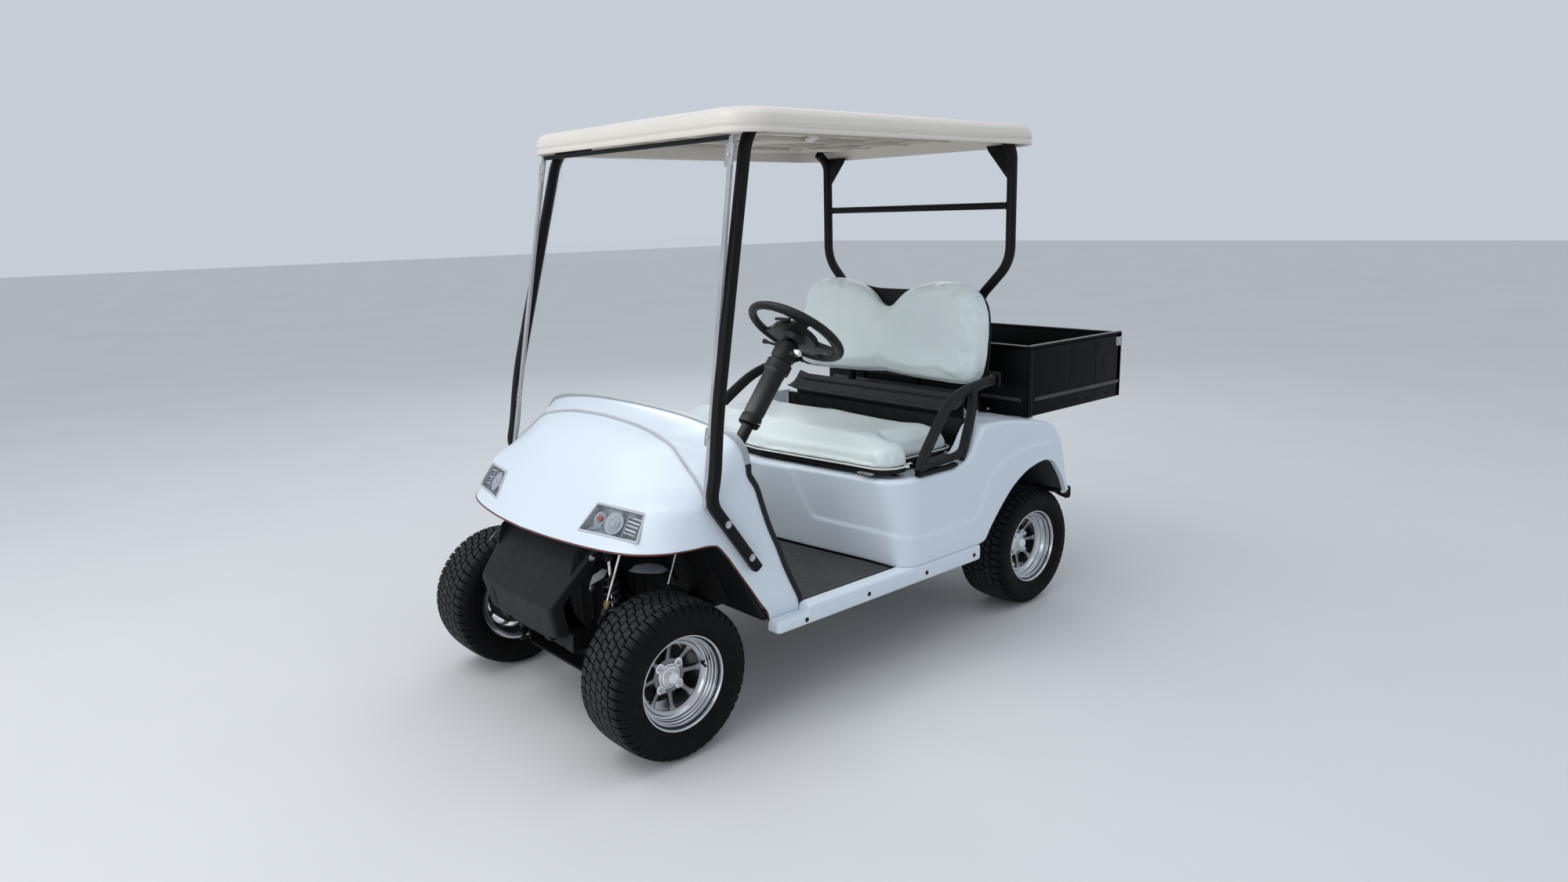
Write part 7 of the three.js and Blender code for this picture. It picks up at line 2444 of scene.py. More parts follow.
def make_bumper():
    lo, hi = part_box("rear_bumper")
    z0, z1 = lo.z, hi.z
    zc = (z0 + z1) / 2
    path = [(-0.566, 1.8625), (-0.530, 1.879), (-0.495, 1.898), (-0.44, 1.907), (0.44, 1.907), (0.495, 1.898), (0.530, 1.879), (0.566, 1.8625)]
    pts = catmull([at(x, y, zc) for x, y in path], 6)
    h = (z1 - z0)
    sec = rounded_section(h, 0.030, 0.011, 4)
    parts = [sweep("b", pts, sec, BLACK_STEEL, up=(0, 0, 1), angle=40)]
    for sg in (1, -1):
        parts.append(bolt("b", at(sg * 0.556, 1.851, zc + 0.006), Vector((sg * 0.45, -0.9, 0)), r=0.0065, head=0.006, mat=ZINC))
        parts.append(bolt("b", at(sg * 0.30, 1.9215, zc), (0, 1, 0), r=0.007, head=0.005, mat=ZINC))
        parts.append(rounded_box("pad", at(sg * 0.36 - 0.03, 1.915, z0 + 0.008), at(sg * 0.36 + 0.03, 1.9245, z1 - 0.008), 0.004, SKIN_BLACK, 2))
        # stay from the bumper's end to the tail of the wing
        parts.append(rounded_box("stay", at(min(sg * 0.530, sg * 0.575), 1.802, z1 - 0.006), at(max(sg * 0.530, sg * 0.575), 1.866, z1 - 0.001), 0.0016, BLACK_STEEL, 2))
    ob = merge("rear_bumper_bar", parts)
    shade(ob, True, 40)
    finish_piece(ob, "cart", ["rear_bumper"])


make_bumper()


# ------------------------------------------------------------------ frame, running gear, floor, dash, pedals
def box_at(name, x0, x1, y0, y1, z0, z1, r, mat, seg=2):
    return rounded_box(name, (min(x0, x1), y0 + AY, z0), (max(x0, x1), y1 + AY, z1), r, mat, seg)


def both(objs):
    return objs + [mirrored(o, o.name + "_m") for o in objs]


def make_frame():
    parts = []
    one = []
    path = [at(0.2025, y, z) for y, z in ((-0.149, 0.292), (0.6, 0.292), (1.236, 0.292), (1.262, 0.2955), (1.372, 0.3555), (1.398, 0.360), (1.60, 0.360), (1.955, 0.360))]
    one.append(sweep("rail", path, rounded_section(0.059, 0.0444, 0.006, 3), BLACK_STEEL, up=(0, 0, 1), angle=40))
    for y, z in ((-0.149, 0.292), (1.955, 0.360)):
        one.append(box_at("cap", 0.183, 0.222, y - 0.0009, y + 0.0009, z - 0.027, z + 0.027, 0.0008, SKIN_BLACK))
    for y in (0.33, 0.62, 0.90, 1.16):
        one.append(box_at("outrigger", 0.2255, 0.300, y - 0.017, y + 0.017, 0.298, 0.3215, 0.003, BLACK_STEEL))
        one.append(bolt("b", at(0.285, y, 0.2978), (0, 0, -1), r=0.006, head=0.005))
    for y in (1.404, 1.956 - 0.03):
        one.append(bolt("b", at(0.180, y, 0.36), (-1, 0, 0), r=0.008, head=0.006))
    parts += both(one)
    for y0, y1, z0, z1 in ((-0.149, -0.101, 0.264, 0.320), (0.341, 0.389, 0.2635, 0.317), (1.181, 1.229, 0.2635, 0.317), (1.901, 1.949, 0.335, 0.385)):
        parts.append(box_at("cross", -0.1805, 0.1805, y0, y1, z0, z1, 0.005, BLACK_STEEL, 3))
        for sx in (-1, 1):
            g = [(0, 0), (0.030, 0), (0, 0.030)]
            parts.append(plate("gusset", g, 0.005, at(sx * 0.180, y1, z1 - 0.008), (-sx, 0, 0), (0, 1, 0), BLACK_STEEL))
    for sx in (-1, 1):
        parts.append(box_at("hook", sx * 0.110, sx * 0.150, -0.180, -0.1405, 0.286, 0.306, 0.005, BLACK_STEEL))
    fr = merge("chassis_frame_rails", parts)
    finish_piece(fr, "cart", ["chassis_frame"])


def make_front_suspension():
    P = []
    P.append(box_at("b", -0.2235, 0.2235, -0.0595, 0.0595, 0.136, 0.146, 0.003, BLACK_STEEL))
    P.append(box_at("t", -0.2235, 0.2235, -0.0595, 0.0595, 0.2515, 0.2615, 0.003, BLACK_STEEL))
    one = [box_at("s", 0.213, 0.2235, -0.0595, 0.0595, 0.146, 0.2515, 0.002, BLACK_STEEL)]
    # tower with folded flanges and its bolts
    tower = [(-0.058, 0.0), (0.050, 0.0), (0.050, 0.120), (0.018, 0.245), (-0.006, 0.302), (-0.058, 0.302)]
    one.append(plate("tower", tower, 0.0105, at(0.2258, 0, 0.258), (0, 1, 0), (0, 0, 1), BLACK_STEEL, 0.0015))
    one.append(sweep("fl", [at(0.247, 0.047, 0.262), at(0.247, 0.047, 0.376), at(0.247, 0.016, 0.500), at(0.247, -0.008, 0.556)], rounded_section(0.007, 0.028, 0.002, 2), BLACK_STEEL, up=(0, 1, 0), angle=40))
    one.append(sweep("fl", [at(0.247, -0.0545, 0.262), at(0.247, -0.0545, 0.40), at(0.247, -0.0545, 0.546)], rounded_section(0.007, 0.022, 0.002, 2), BLACK_STEEL, up=(0, 1, 0), angle=40))
    for y, z in ((-0.02, 0.30), (0.02, 0.30), (-0.02, 0.44), (0.0, 0.36)):
        one.append(bolt("b", at(0.2365, y, z), (1, 0, 0), r=0.007, head=0.006))
    one.append(box_at("cap", 0.231, 0.281, -0.0575, -0.0185, 0.547, 0.559, 0.003, BLACK_STEEL))
    one.append(bolt("b", at(0.262, SPR_Y, 0.559), (0, 0, 1), r=0.008, head=0.006))
    # lower wishbone
    for y in (-0.070, 0.070):
        one.append(turn_between("arm", at(0.236, y, 0.153), at(0.362, y * 0.12, 0.153), [(0, 0.0090), (0.1, 0.0072), (0.9, 0.0072), (1, 0.009)], BLACK_STEEL, 16))
        one.append(turn_between("bush", at(0.234, y - 0.014, 0.153), at(0.234, y + 0.014, 0.153), [(0, 0.0068), (0.06, 0.0068), (0.06, 0.0058), (0.94, 0.0058), (0.94, 0.0068), (1, 0.0068)], SKIN_BLACK, 18))
    web = [(0, -0.054), (0.085, -0.016), (0.100, 0.0), (0.085, 0.016), (0, 0.054), (0.022, 0.0)]
    one.append(plate("web", web, 0.006, at(0.262, 0, 0.150), (1, 0, 0), (0, 1, 0), BLACK_STEEL, 0.001))
    one.append(turn_between("ball", at(0.372, 0, 0.1465), at(0.372, 0, 0.1600), [(0, 0.012), (0.12, 0.0175), (0.85, 0.0175), (1, 0.013)], CAST, 24))
    # seat of the spring leg on the wishbone
    for y in (SPR_Y - 0.017, SPR_Y + 0.012):
        one.append(box_at("lug", 0.276, 0.304, y, y + 0.005, 0.1475, 0.1600, 0.001, BLACK_STEEL))
    # upper arm
    for y in (0.0, 0.030):
        one.append(turn_between("arm", at(0.238, y, 0.306), at(0.366, y * 0.2, 0.306), [(0, 0.0062), (0.08, 0.0049), (1, 0.0049)], BLACK_STEEL, 14))
    one.append(turn_between("ball", at(0.372, 0, 0.3012), at(0.372, 0, 0.3110), [(0, 0.011), (0.15, 0.0145), (0.85, 0.0145), (1, 0.010)], CAST, 24))
    # damper rods with their hexagon ends, and a pale bracket plate above each wheel
    a, b = at(0.300, -0.0210, 0.556), at(0.300, -0.0745, 0.421)
    one.append(turn_between("rod", a, b, [(0, 0.0042), (1, 0.0042)], ZINC, 16))
    d = (b - a).normalized()
    one.append(turn_between("nut", b - d * 0.004, b + d * 0.012, [(0, 0.0088), (1, 0.0088)], BRASS, 6))
    one.append(turn_between("nut", b + d * 0.012, b + d * 0.020, [(0, 0.0068), (1, 0.0068)], ZINC, 6))
    one.append(turn_between("nut", b + d * 0.020, b + d * 0.040, [(0, 0.0098), (0.8, 0.0098), (1, 0.006)], CAST, 16))
    one.append(sweep("hook", catmull([a, a - d * 0.012 + Vector((-0.004, 0, 0)), a - d * 0.016 + Vector((-0.020, 0, 0.002)), at(0.279, -0.028, 0.553)], 5), circle(0.0042, 10), ZINC))
    one.append(sweep("foot", catmull([b + d * 0.038, b + d * 0.060 + Vector((-0.012, 0, 0)), at(0.262, -0.078, 0.34), at(0.240, -0.052, 0.32)], 5), circle(0.006, 10), BLACK_STEEL))
    a, b = at(0.300, 0.176, 0.512), at(0.300, 0.140, 0.420)
    one.append(turn_between("rod", a, b, [(0, 0.0030), (1, 0.0030)], ZINC, 14))
    one.append(sweep("line", catmull([b, at(0.298, 0.128, 0.40), at(0.285, 0.095, 0.37), at(0.262, 0.06, 0.33), at(0.240, 0.044, 0.31)], 5), circle(0.0042, 10), SKIN_BLACK))
    one.append(sweep("line", catmull([a, at(0.300, 0.190, 0.535), at(0.285, 0.215, 0.560), at(0.25, 0.238, 0.575)], 5), circle(0.0042, 10), SKIN_BLACK))
    leaf = [(-0.070, -0.012), (-0.045, 0.008), (0.0, 0.017), (0.045, 0.014), (0.066, 0.0), (0.040, -0.012), (0.0, -0.016), (-0.045, -0.016)]
    one.append(plate("leaf", leaf, 0.003, at(0.318, 0.062, 0.492), (0.10, 1, -0.30), (-0.55, 0.25, 0.80), GEAR_GREY, 0.0008))
    one.append(plate("leaf", [(-0.034, -0.010), (-0.012, 0.010), (0.022, 0.012), (0.034, 0.0), (0.015, -0.012)], 0.003, at(0.300, -0.100, 0.505), (0.05, 1, 0.33), (-0.5, -0.1, 0.85), GEAR_GREY, 0.0008))
    one.append(sweep("stay", [at(0.318, 0.03, 0.497), at(0.27, 0.022, 0.470), at(0.236, 0.018, 0.452)], rounded_section(0.012, 0.004, 0.001, 2), BLACK_STEEL, up=(0, 1, 0)))
    one.append(sweep("stay", [at(0.300, -0.090, 0.506), at(0.27, -0.062, 0.525), at(0.238, -0.055, 0.535)], rounded_section(0.012, 0.004, 0.001, 2), BLACK_STEEL, up=(0, 1, 0)))
    # brake hose
    one.append(tube("hose", catmull([at(0.238, 0.030, 0.40), at(0.262, 0.055, 0.385), at(0.285, 0.060, 0.345), at(0.292, 0.046, 0.30), at(0.284, 0.036, 0.285)], 6), 0.0045, SKIN_BLACK, 10))
    P += both(one)
    # steering rack across the top of the box
    P.append(turn_between("rack", at(-0.170, 0.086, 0.236), at(0.170, 0.086, 0.236), [(0, 0.012), (0.02, 0.019), (0.12, 0.019), (0.14, 0.0145), (0.86, 0.0145), (0.88, 0.019), (0.98, 0.019), (1, 0.012)], CAST, 24))
    for x in (-0.13, 0.13):
        P.append(box_at("clamp", x - 0.014, x + 0.014, 0.0605, 0.102, 0.214, 0.222, 0.002, BLACK_STEEL))
    ob = merge("front_suspension_frame", P)
    finish_piece(ob, "cart", ["front_suspension"])


def make_spring_legs():
    for side, s in (("left", 1), ("right", -1)):
        a, b = at(s * 0.262, SPR_Y, 0.544), at(s * 0.290, SPR_Y, 0.166)
        P = [turn_between("rod", a, a.lerp(b, 0.45), [(0, 0.0055), (1, 0.0055)], CHROME, 16),
             turn_between("body", a.lerp(b, 0.40), a.lerp(b, 0.93), [(0, 0.0130), (0.02, 0.0145), (0.9, 0.0145), (1, 0.011)], BLACK_STEEL, 24),
             turn_between("seat", a.lerp(b, 0.160), a.lerp(b, 0.185), [(0, 0.016), (0.2, 0.0240), (1, 0.0240)], BLACK_STEEL, 28),
             turn_between("seat", a.lerp(b, 0.790), a.lerp(b, 0.815), [(0, 0.0240), (0.8, 0.0240), (1, 0.016)], BLACK_STEEL, 28),
             turn_between("bump", a.lerp(b, 0.20), a.lerp(b, 0.29), [(0, 0.010), (0.3, 0.0125), (0.5, 0.009), (0.8, 0.012), (1, 0.008)], SKIN_BLACK, 18)]
        d = (b - a)
        L = d.length
        dn = d.normalized()
        u = dn.orthogonal().normalized()
        v = dn.cross(u)
        turns, path = 9.5, []
        for k in range(int(turns * 18) + 1):
            t = k / (turns * 18)
            e = 0.5 - 0.5 * math.cos(math.pi * t)
            q = 0.19 + 0.595 * (0.80 * t + 0.20 * e)
            path.append(a + d * q + (u * math.cos(2 * math.pi * turns * t) + v * math.sin(2 * math.pi * turns * t)) * 0.0200)
        P.append(tube("coil", path, 0.0033, SPRING_GREY, 8))
        P.append(turn_between("eye", at(s * 0.262, SPR_Y - 0.011, 0.536), at(s * 0.262, SPR_Y + 0.011, 0.536), [(0, 0.010), (1, 0.010)], CAST, 20))
        P.append(turn_between("eye", at(s * 0.2895, SPR_Y - 0.0115, 0.1745), at(s * 0.2895, SPR_Y + 0.0115, 0.1745), [(0, 0.0105), (1, 0.0105)], CAST, 20))
        P.append(turn_between("pin", at(s * 0.2895, SPR_Y - 0.016, 0.1745), at(s * 0.2895, SPR_Y + 0.016, 0.1745), [(0, 0.0055), (1, 0.0055)], ZINC, 6))
        ob = merge("spring_leg_%s_coil" % side, P)
        finish_piece(ob, "cart", ["spring_leg_" + side])


def make_knuckles():
    for side, s in (("left", 1), ("right", -1)):
        P = [turn_between("kingpin", at(s * 0.372, 0, 0.1655), at(s * 0.372, 0, 0.2940), [(0, 0.011), (0.02, 0.0145), (0.18, 0.0150), (0.20, 0.0125), (0.80, 0.0125), (0.82, 0.0150), (0.98, 0.0145), (1, 0.011)], GEAR_BROWN, 24),
             box_at("block", s * 0.366, s * 0.402, -0.0235, 0.0235, 0.204, 0.258, 0.007, GEAR_BROWN, 3),
             turn_between("stub", at(s * 0.398, 0, 0.230), at(s * 0.474, 0, 0.230), [(0, 0.0225), (0.15, 0.0165), (1, 0.0165)], CAST, 24),
             turn_between("drum", at(s * 0.4445, 0, 0.230), at(s * 0.4675, 0, 0.230), [(0, 0.050), (0.1, 0.058), (0.35, 0.0598), (0.42, 0.0560), (0.5, 0.0598), (0.62, 0.056), (0.7, 0.0598), (0.92, 0.0598), (1, 0.054)], CAST, 44)]
        arm = [at(s * 0.3700, 0.010, 0.214), at(s * 0.3620, 0.030, 0.214), at(s * 0.350, 0.062, 0.214), at(s * 0.343, 0.090, 0.214), at(s * 0.342, 0.1135, 0.214)]
        P.append(sweep("arm", catmull(arm, 5), rounded_section(0.0145, 0.0150, 0.004, 3), GEAR_BROWN, up=(0, 0, 1), angle=40))
        P.append(turn_between("boss", at(s * 0.342, 0.104, 0.2055), at(s * 0.342, 0.104, 0.2230), [(0, 0.0085), (0.1, 0.0105), (0.9, 0.0105), (1, 0.0085)], GEAR_BROWN, 20))
        P.append(turn_between("nut", at(s * 0.342, 0.104, 0.2230), at(s * 0.342, 0.104, 0.2290), [(0, 0.0078), (1, 0.0078)], ZINC, 6))
        for ang in range(0, 360, 60):
            c, q = math.cos(math.radians(ang)), math.sin(math.radians(ang))
            P.append(bolt("b", at(s * 0.4444, 0.036 * c, 0.230 + 0.036 * q), (-s, 0, 0), r=0.0045, head=0.004, washer=False))
        ob = merge("knuckle_%s_upright" % side, P)
        finish_piece(ob, "knuckle_" + side, ["knuckle_" + side])
    P = [turn_between("bar", at(-0.300, 0.104, 0.190), at(0.300, 0.104, 0.190), [(0, 0.0085), (1, 0.0085)], BLACK_STEEL, 20)]
    for s in (1, -1):
        P.append(turn_between("adj", at(s * 0.262, 0.104, 0.190), at(s * 0.285, 0.104, 0.190), [(0, 0.0098), (1, 0.0098)], ZINC, 6))
        P.append(turn_between("neck", at(s * 0.298, 0.104, 0.190), at(s * 0.336, 0.104, 0.190), [(0, 0.0075), (0.3, 0.0062), (1, 0.0070)], ZINC, 16))
        P.append(turn_between("ball", at(s * 0.342, 0.104, 0.1805), at(s * 0.342, 0.104, 0.1985), [(0, 0.006), (0.15, 0.0092), (0.6, 0.0098), (0.85, 0.0085), (1, 0.006)], CAST, 22))
        P.append(turn_between("boot", at(s * 0.342, 0.104, 0.1985), at(s * 0.342, 0.104, 0.2052), [(0, 0.0088), (0.4, 0.0096), (1, 0.0060)], SKIN_BLACK, 22))
    ob = merge("tie_rod_bar", P)
    finish_piece(ob, "tie_rod", ["tie_rod"])


def make_rear_gear():
    y, z = 1.681, 0.230
    P = []
    P.append(turn_between("axle", at(-0.334, y, z), at(0.334, y, z), [(0, 0.033), (0.02, 0.034), (0.05, 0.030), (0.36, 0.030), (0.395, 0.034), (0.41, 0.046), (0.44, 0.070), (0.47, 0.086), (0.50, 0.0915), (0.575, 0.0915), (0.58, 0.0905), (0.60, 0.082), (0.645, 0.062), (0.665, 0.040), (0.69, 0.030), (0.95, 0.030), (0.98, 0.034), (1, 0.033)], CAST, 56))
    P.append(turn_between("flange", at(0.028, y, z), at(0.036, y, z), [(0, 0.092), (0.2, 0.0945), (0.8, 0.0945), (1, 0.092)], CAST, 48))
    for k in range(10):
        a = 2 * math.pi * k / 10
        P.append(bolt("b", at(0.036, y + 0.0865 * math.cos(a), z + 0.0865 * math.sin(a)), (1, 0, 0), r=0.0048, head=0.0045, washer=False))
    P.append(turn_between("plug", at(0.05, y + 0.088, z), at(0.05, y + 0.096, z), [(0, 0.012), (0.5, 0.012), (0.6, 0.008), (1, 0.008)], ZINC, 6))
    one = [turn_between("stub", at(0.333, y, z), at(0.456, y, z), [(0, 0.0168), (1, 0.0168)], CAST, 24),
           turn_between("drum", at(0.3955, y, z), at(0.4295, y, z), [(0, 0.060), (0.06, 0.084), (0.18, 0.0878), (0.3, 0.0878), (0.36, 0.0840), (0.44, 0.0878), (0.5, 0.0840), (0.58, 0.0878), (0.9, 0.0878), (1, 0.080)], CAST, 56),
           turn_between("plate", at(0.384, y, z), at(0.3955, y, z), [(0, 0.045), (0.2, 0.082), (0.8, 0.0885), (1, 0.0885)], BLACK_STEEL, 48)]
    # leaves
    ends = [(1.402, 0.306), (1.47, 0.258), (1.543, 0.213), (1.60, 0.195), (1.630, 0.1895), (1.681, 0.1885), (1.732, 0.1895), (1.762, 0.195), (1.819, 0.213), (1.892, 0.258), (1.958, 0.306)]
    sec = rounded_section(0.0055, 0.049, 0.0015, 2)
    one.append(sweep("leaf", catmull([at(0.287, a, b) for a, b in ends], 6), sec, BLACK_STEEL, up=(0, 0, 1), angle=40))
    for k, cut in enumerate((1, 2, 3)):
        sub = ends[cut:len(ends) - cut]
        one.append(sweep("leaf", catmull([at(0.287, a, b - 0.0062 * (k + 1)) for a, b in sub], 6), sec, BLACK_STEEL, up=(0, 0, 1), angle=40))
    for yy in (1.404, 1.956):
        one.append(turn_between("eye", at(0.2615, yy, 0.304), at(0.3125, yy, 0.304), [(0, 0.0115), (1, 0.0115)], BLACK_STEEL, 24))
        one.append(turn_between("pin", at(0.2565, yy, 0.304), at(0.3175, yy, 0.304), [(0, 0.0075), (1, 0.0075)], ZINC, 6))
        for x in (0.2585, 0.3130):
            one.append(plate("hanger", [(-0.013, 0.0), (-0.011, -0.009), (0.0, -0.014), (0.011, -0.009), (0.013, 0.0), (0.012, 0.066), (-0.012, 0.066)], 0.004, at(x, yy, 0.304), (0, 1, 0), (0, 0, 1), BLACK_STEEL))
        one.append(box_at("arm", 0.2256, 0.314, yy - 0.012, yy + 0.012, 0.348, 0.3715, 0.003, BLACK_STEEL))
    for yy in (y - 0.040, y + 0.040):
        u = [at(0.262, yy, 0.172), at(0.262, yy, 0.240), at(0.266, yy, 0.262), at(0.287, yy, 0.270), at(0.308, yy, 0.262), at(0.312, yy, 0.240), at(0.312, yy, 0.172)]
        one.append(tube("ubolt", catmull(u, 5), 0.0048, ZINC, 10))
        for x in (0.262, 0.312):
            one.append(turn_between("n", at(x, yy, 0.1745), at(x, yy, 0.1805), [(0, 0.0085), (1, 0.0085)], ZINC, 6))
    one.append(box_at("pad", 0.255, 0.319, y - 0.052, y + 0.052, 0.1795, 0.1835 - 0.0015, 0.001, BLACK_STEEL))
    one.append(box_at("saddle", 0.264, 0.310, y - 0.030, y + 0.030, 0.1925, 0.203, 0.003, CAST))
    # damper from the axle to the rail
    a, b = at(0.240, y + 0.045, 0.212), at(0.240, y + 0.165, 0.352)
    one.append(turn_between("damp", a, a.lerp(b, 0.62), [(0, 0.010), (0.06, 0.0165), (0.95, 0.0165), (1, 0.012)], BLACK_STEEL, 22))
    one.append(turn_between("damp", a.lerp(b, 0.60), b, [(0, 0.0055), (1, 0.0055)], CHROME, 16))
    P += both(one)
    ob = merge("rear_axle_assembly", P)
    finish_piece(ob, "cart", ["rear_axle"])
    M = [turn_between("motor", at(-0.2575, 1.510, 0.238), at(-0.0305, 1.510, 0.238), [(0, 0.030), (0.005, 0.062), (0.03, 0.072), (0.10, 0.0755), (0.15, 0.0755), (0.155, 0.0725), (0.80, 0.0725), (0.805, 0.0755), (0.93, 0.0755), (0.97, 0.070), (1, 0.045)], CAST, 56)]
    for k in range(26):
        t = 0.19 + 0.59 * k / 25
        x = -0.2575 + 0.227 * t
        M.append(turn_between("fin", at(x - 0.0013, 1.510, 0.238), at(x + 0.0013, 1.510, 0.238), [(0, 0.0722), (0.1, 0.0755), (0.9, 0.0755), (1, 0.0722)], CAST, 44))
    for k in range(6):
        a = 2 * math.pi * k / 6 + 0.3
        M.append(bolt("b", at(-0.2560, 1.510 + 0.055 * math.cos(a), 0.238 + 0.055 * math.sin(a)), (-1, 0, 0), r=0.0045, head=0.004, washer=False))
    for k, x in enumerate((-0.225, -0.195)):
        M.append(turn_between("term", at(x, 1.468, 0.296), at(x, 1.458, 0.310), [(0, 0.007), (0.5, 0.007), (0.55, 0.0045), (1, 0.0045)], BRASS, 14))
        M.append(tube("cable", catmull([at(x, 1.459, 0.308), at(x, 1.430, 0.330), at(x + 0.01, 1.36, 0.335), at(x + 0.03, 1.25, 0.338 - 0.004), at(x * 0.8 + 0.02, 1.165, 0.345)], 6), 0.0062, (RED_CABLE if k else SKIN_BLACK), 10))
    ob = merge("drive_motor_housing", M)
    finish_piece(ob, "cart", ["drive_motor"])
    B = []
    for i in range(2):
        for j in range(3):
            x0 = -0.168 + 0.113 * j
            y0 = 0.932 + 0.119 * i
            B.append(box_at("cell", x0, x0 + 0.110, y0, y0 + 0.116, 0.3200, 0.560, 0.005, BATT_CASE, 3))
            B.append(box_at("lid", x0 - 0.0004, x0 + 0.1104, y0 - 0.0004, y0 + 0.1164, 0.561, 0.578, 0.004, BLACK_PLASTIC, 3))
            for k in range(3):
                B.append(turn_between("cap", at(x0 + 0.025 + 0.030 * k, y0 + 0.058, 0.577), at(x0 + 0.025 + 0.030 * k, y0 + 0.058, 0.586), [(0, 0.011), (0.7, 0.011), (1, 0.009)], BATT_CAP, 20))
            for yy in (0.018, 0.098):
                B.append(turn_between("post", at(x0 + 0.055, y0 + yy, 0.577), at(x0 + 0.055, y0 + yy, 0.592), [(0, 0.010), (0.3, 0.010), (0.35, 0.0075), (1, 0.0070)], ZINC, 18))
        for j in range(2):
            xa = -0.168 + 0.113 * j + 0.055
            yy = 0.932 + 0.119 * i + (0.098 if j else 0.018)
            B.append(tube("link", catmull([at(xa, yy, 0.590), at(xa + 0.03, yy, 0.596), at(xa + 0.083, yy, 0.596), at(xa + 0.113, yy, 0.590)], 5), 0.0036, SKIN_BLACK, 10))
    ob = merge("battery_pack_cells", B)
    finish_piece(ob, "cart", ["battery_pack"])


def make_floor():
    # floor moulding: flat tray with the toe board rising to the dash, ribs below
    prof = [(0.896, 0.3235), (0.896, 0.3395), (0.330, 0.3395), (0.318, 0.3402), (0.309, 0.345), (0.222, 0.500), (0.166, 0.645), (0.1655, 0.6545), (0.1545, 0.6545), (0.1545, 0.640), (0.211, 0.494), (0.297, 0.333), (0.303, 0.3245)]
    parts = [plate("pan", prof, 1.0890, at(-0.5445, 0, 0), (0, 1, 0), (0, 0, 1), BLACK_PLASTIC, 0.0015)]
    for x in (-0.42, -0.30, -0.15, 0.0, 0.15, 0.30, 0.42):
        parts.append(plate("rib", [(0.008, 0.0), (0.09, 0.145), (0.142, 0.285), (0.150, 0.285), (0.104, 0.145), (0.026, 0.0)], 0.004, at(x - 0.002, 0.304, 0.352), (0, -1, 0), (0, 0, 1), BLACK_PLASTIC, 0.0008))
    for x in (-0.50, -0.25, 0.25, 0.50):
        parts.append(bolt("b", at(x, 0.2075, 0.540), (0, 0.86, 0.5), r=0.005, head=0.003, dome=True, mat=BLACK_STEEL))
    fp = merge("floor_pan_moulding", parts)
    finish_piece(fp, "cart", ["floor_pan"])
    # mat: bowed rear edge, ribbed field inside a plain border
    hx, z0, z1 = 0.5365, 0.3405, 0.3450
    outline = rounded_poly([(-hx, 0.331), (hx, 0.331), (hx, 0.871), (0.410, 0.861), (0.240, 0.840), (0.0, 0.8145), (-0.240, 0.840), (-0.410, 0.861), (-hx, 0.871)], 0.012)
    mat = plate("mat", outline, z1 - z0, at(0, 0, z0), (1, 0, 0), (0, 1, 0), MAT_RUBBER, 0.0012)
    P = [mat]
    n = 86
    for k in range(n):
        x = -0.505 + 1.010 * k / (n - 1)
        ye = 0.8145 + bow_at(x) * 1.0 - 0.022
        P.append(rounded_box("rib", (x - 0.0032, AY + 0.352, z1 - 0.0010), (x + 0.0032, AY + ye, z1 + 0.0009), 0.0009, MAT_RUBBER, 2))
    for x in (-0.46, 0.46):
        P.append(turn_between("button", at(x, 0.342, z1 - 0.0005), at(x, 0.342, z1 + 0.0012), [(0, 0.007), (0.7, 0.007), (1, 0.005)], SKIN_BLACK, 18))
    m = merge("floor_mat_rubber", P)
    finish_piece(m, "cart", ["floor_mat"])
    # deck behind the seat
    deck = [(1.2405, 0.6635), (1.3535, 0.6635), (1.3600, 0.6665), (1.3620, 0.672), (1.3620, 0.757), (1.3650, 0.7620), (1.3710, 0.7630), (1.450, 0.7553), (1.540, 0.7457), (1.640, 0.7222), (1.712, 0.7015), (1.722, 0.6960), (1.760, 0.6475), (1.7845, 0.560), (1.8118, 0.4405),
            (1.8042, 0.4405), (1.7775, 0.556), (1.7525, 0.6455), (1.7155, 0.6905), (1.638, 0.7145), (1.538, 0.7380), (1.449, 0.7475), (1.372, 0.7545), (1.3700, 0.7500), (1.3700, 0.664), (1.3670, 0.6585), (1.3600, 0.6562), (1.2405, 0.6562)]
    D = [plate("deck", deck, 0.9988, at(-0.4994, 0, 0), (0, 1, 0), (0, 0, 1), WHITE, 0.0012)]
    for x in (-0.43, 0.43):
        for yy, zz in ((1.42, 0.7588), (1.60, 0.7325)):
            D.append(bolt("b", at(x, yy, zz - 0.0005), (0, 0.12, 1), r=0.006, head=0.004, dome=True, mat=BLACK_STEEL))
    d = merge("rear_deck_panel", D)
    shade(d, True, 35)
    finish_piece(d, "cart", ["rear_deck"])


def make_seat_well():
    # dark lining of the well behind the cushion, up to the tray
    P = [box_at("floor", -0.488, 0.488, 1.2560, 1.3600, 0.6643, 0.6668, 0.001, BLACK_PLASTIC),
         box_at("wall", -0.488, 0.488, 1.3588, 1.3612, 0.6660, 0.7642, 0.001, BLACK_PLASTIC),
         box_at("cap", -0.488, 0.488, 1.3588, 1.3790, 0.7634, 0.7650, 0.0007, BLACK_PLASTIC)]
    for k in range(9):
        x = -0.44 + 0.11 * k
        P.append(box_at("rib", x - 0.003, x + 0.003, 1.3560, 1.3592, 0.6680, 0.7570, 0.001, BLACK_PLASTIC))
    for x in (-0.38, 0.0, 0.38):
        P.append(bolt("b", at(x, 1.300, 0.6666), (0, 0, 1), r=0.005, head=0.003, dome=True, mat=BLACK_STEEL))
    ob = merge("seat_well_lining", P)
    finish_piece(ob, "cart")


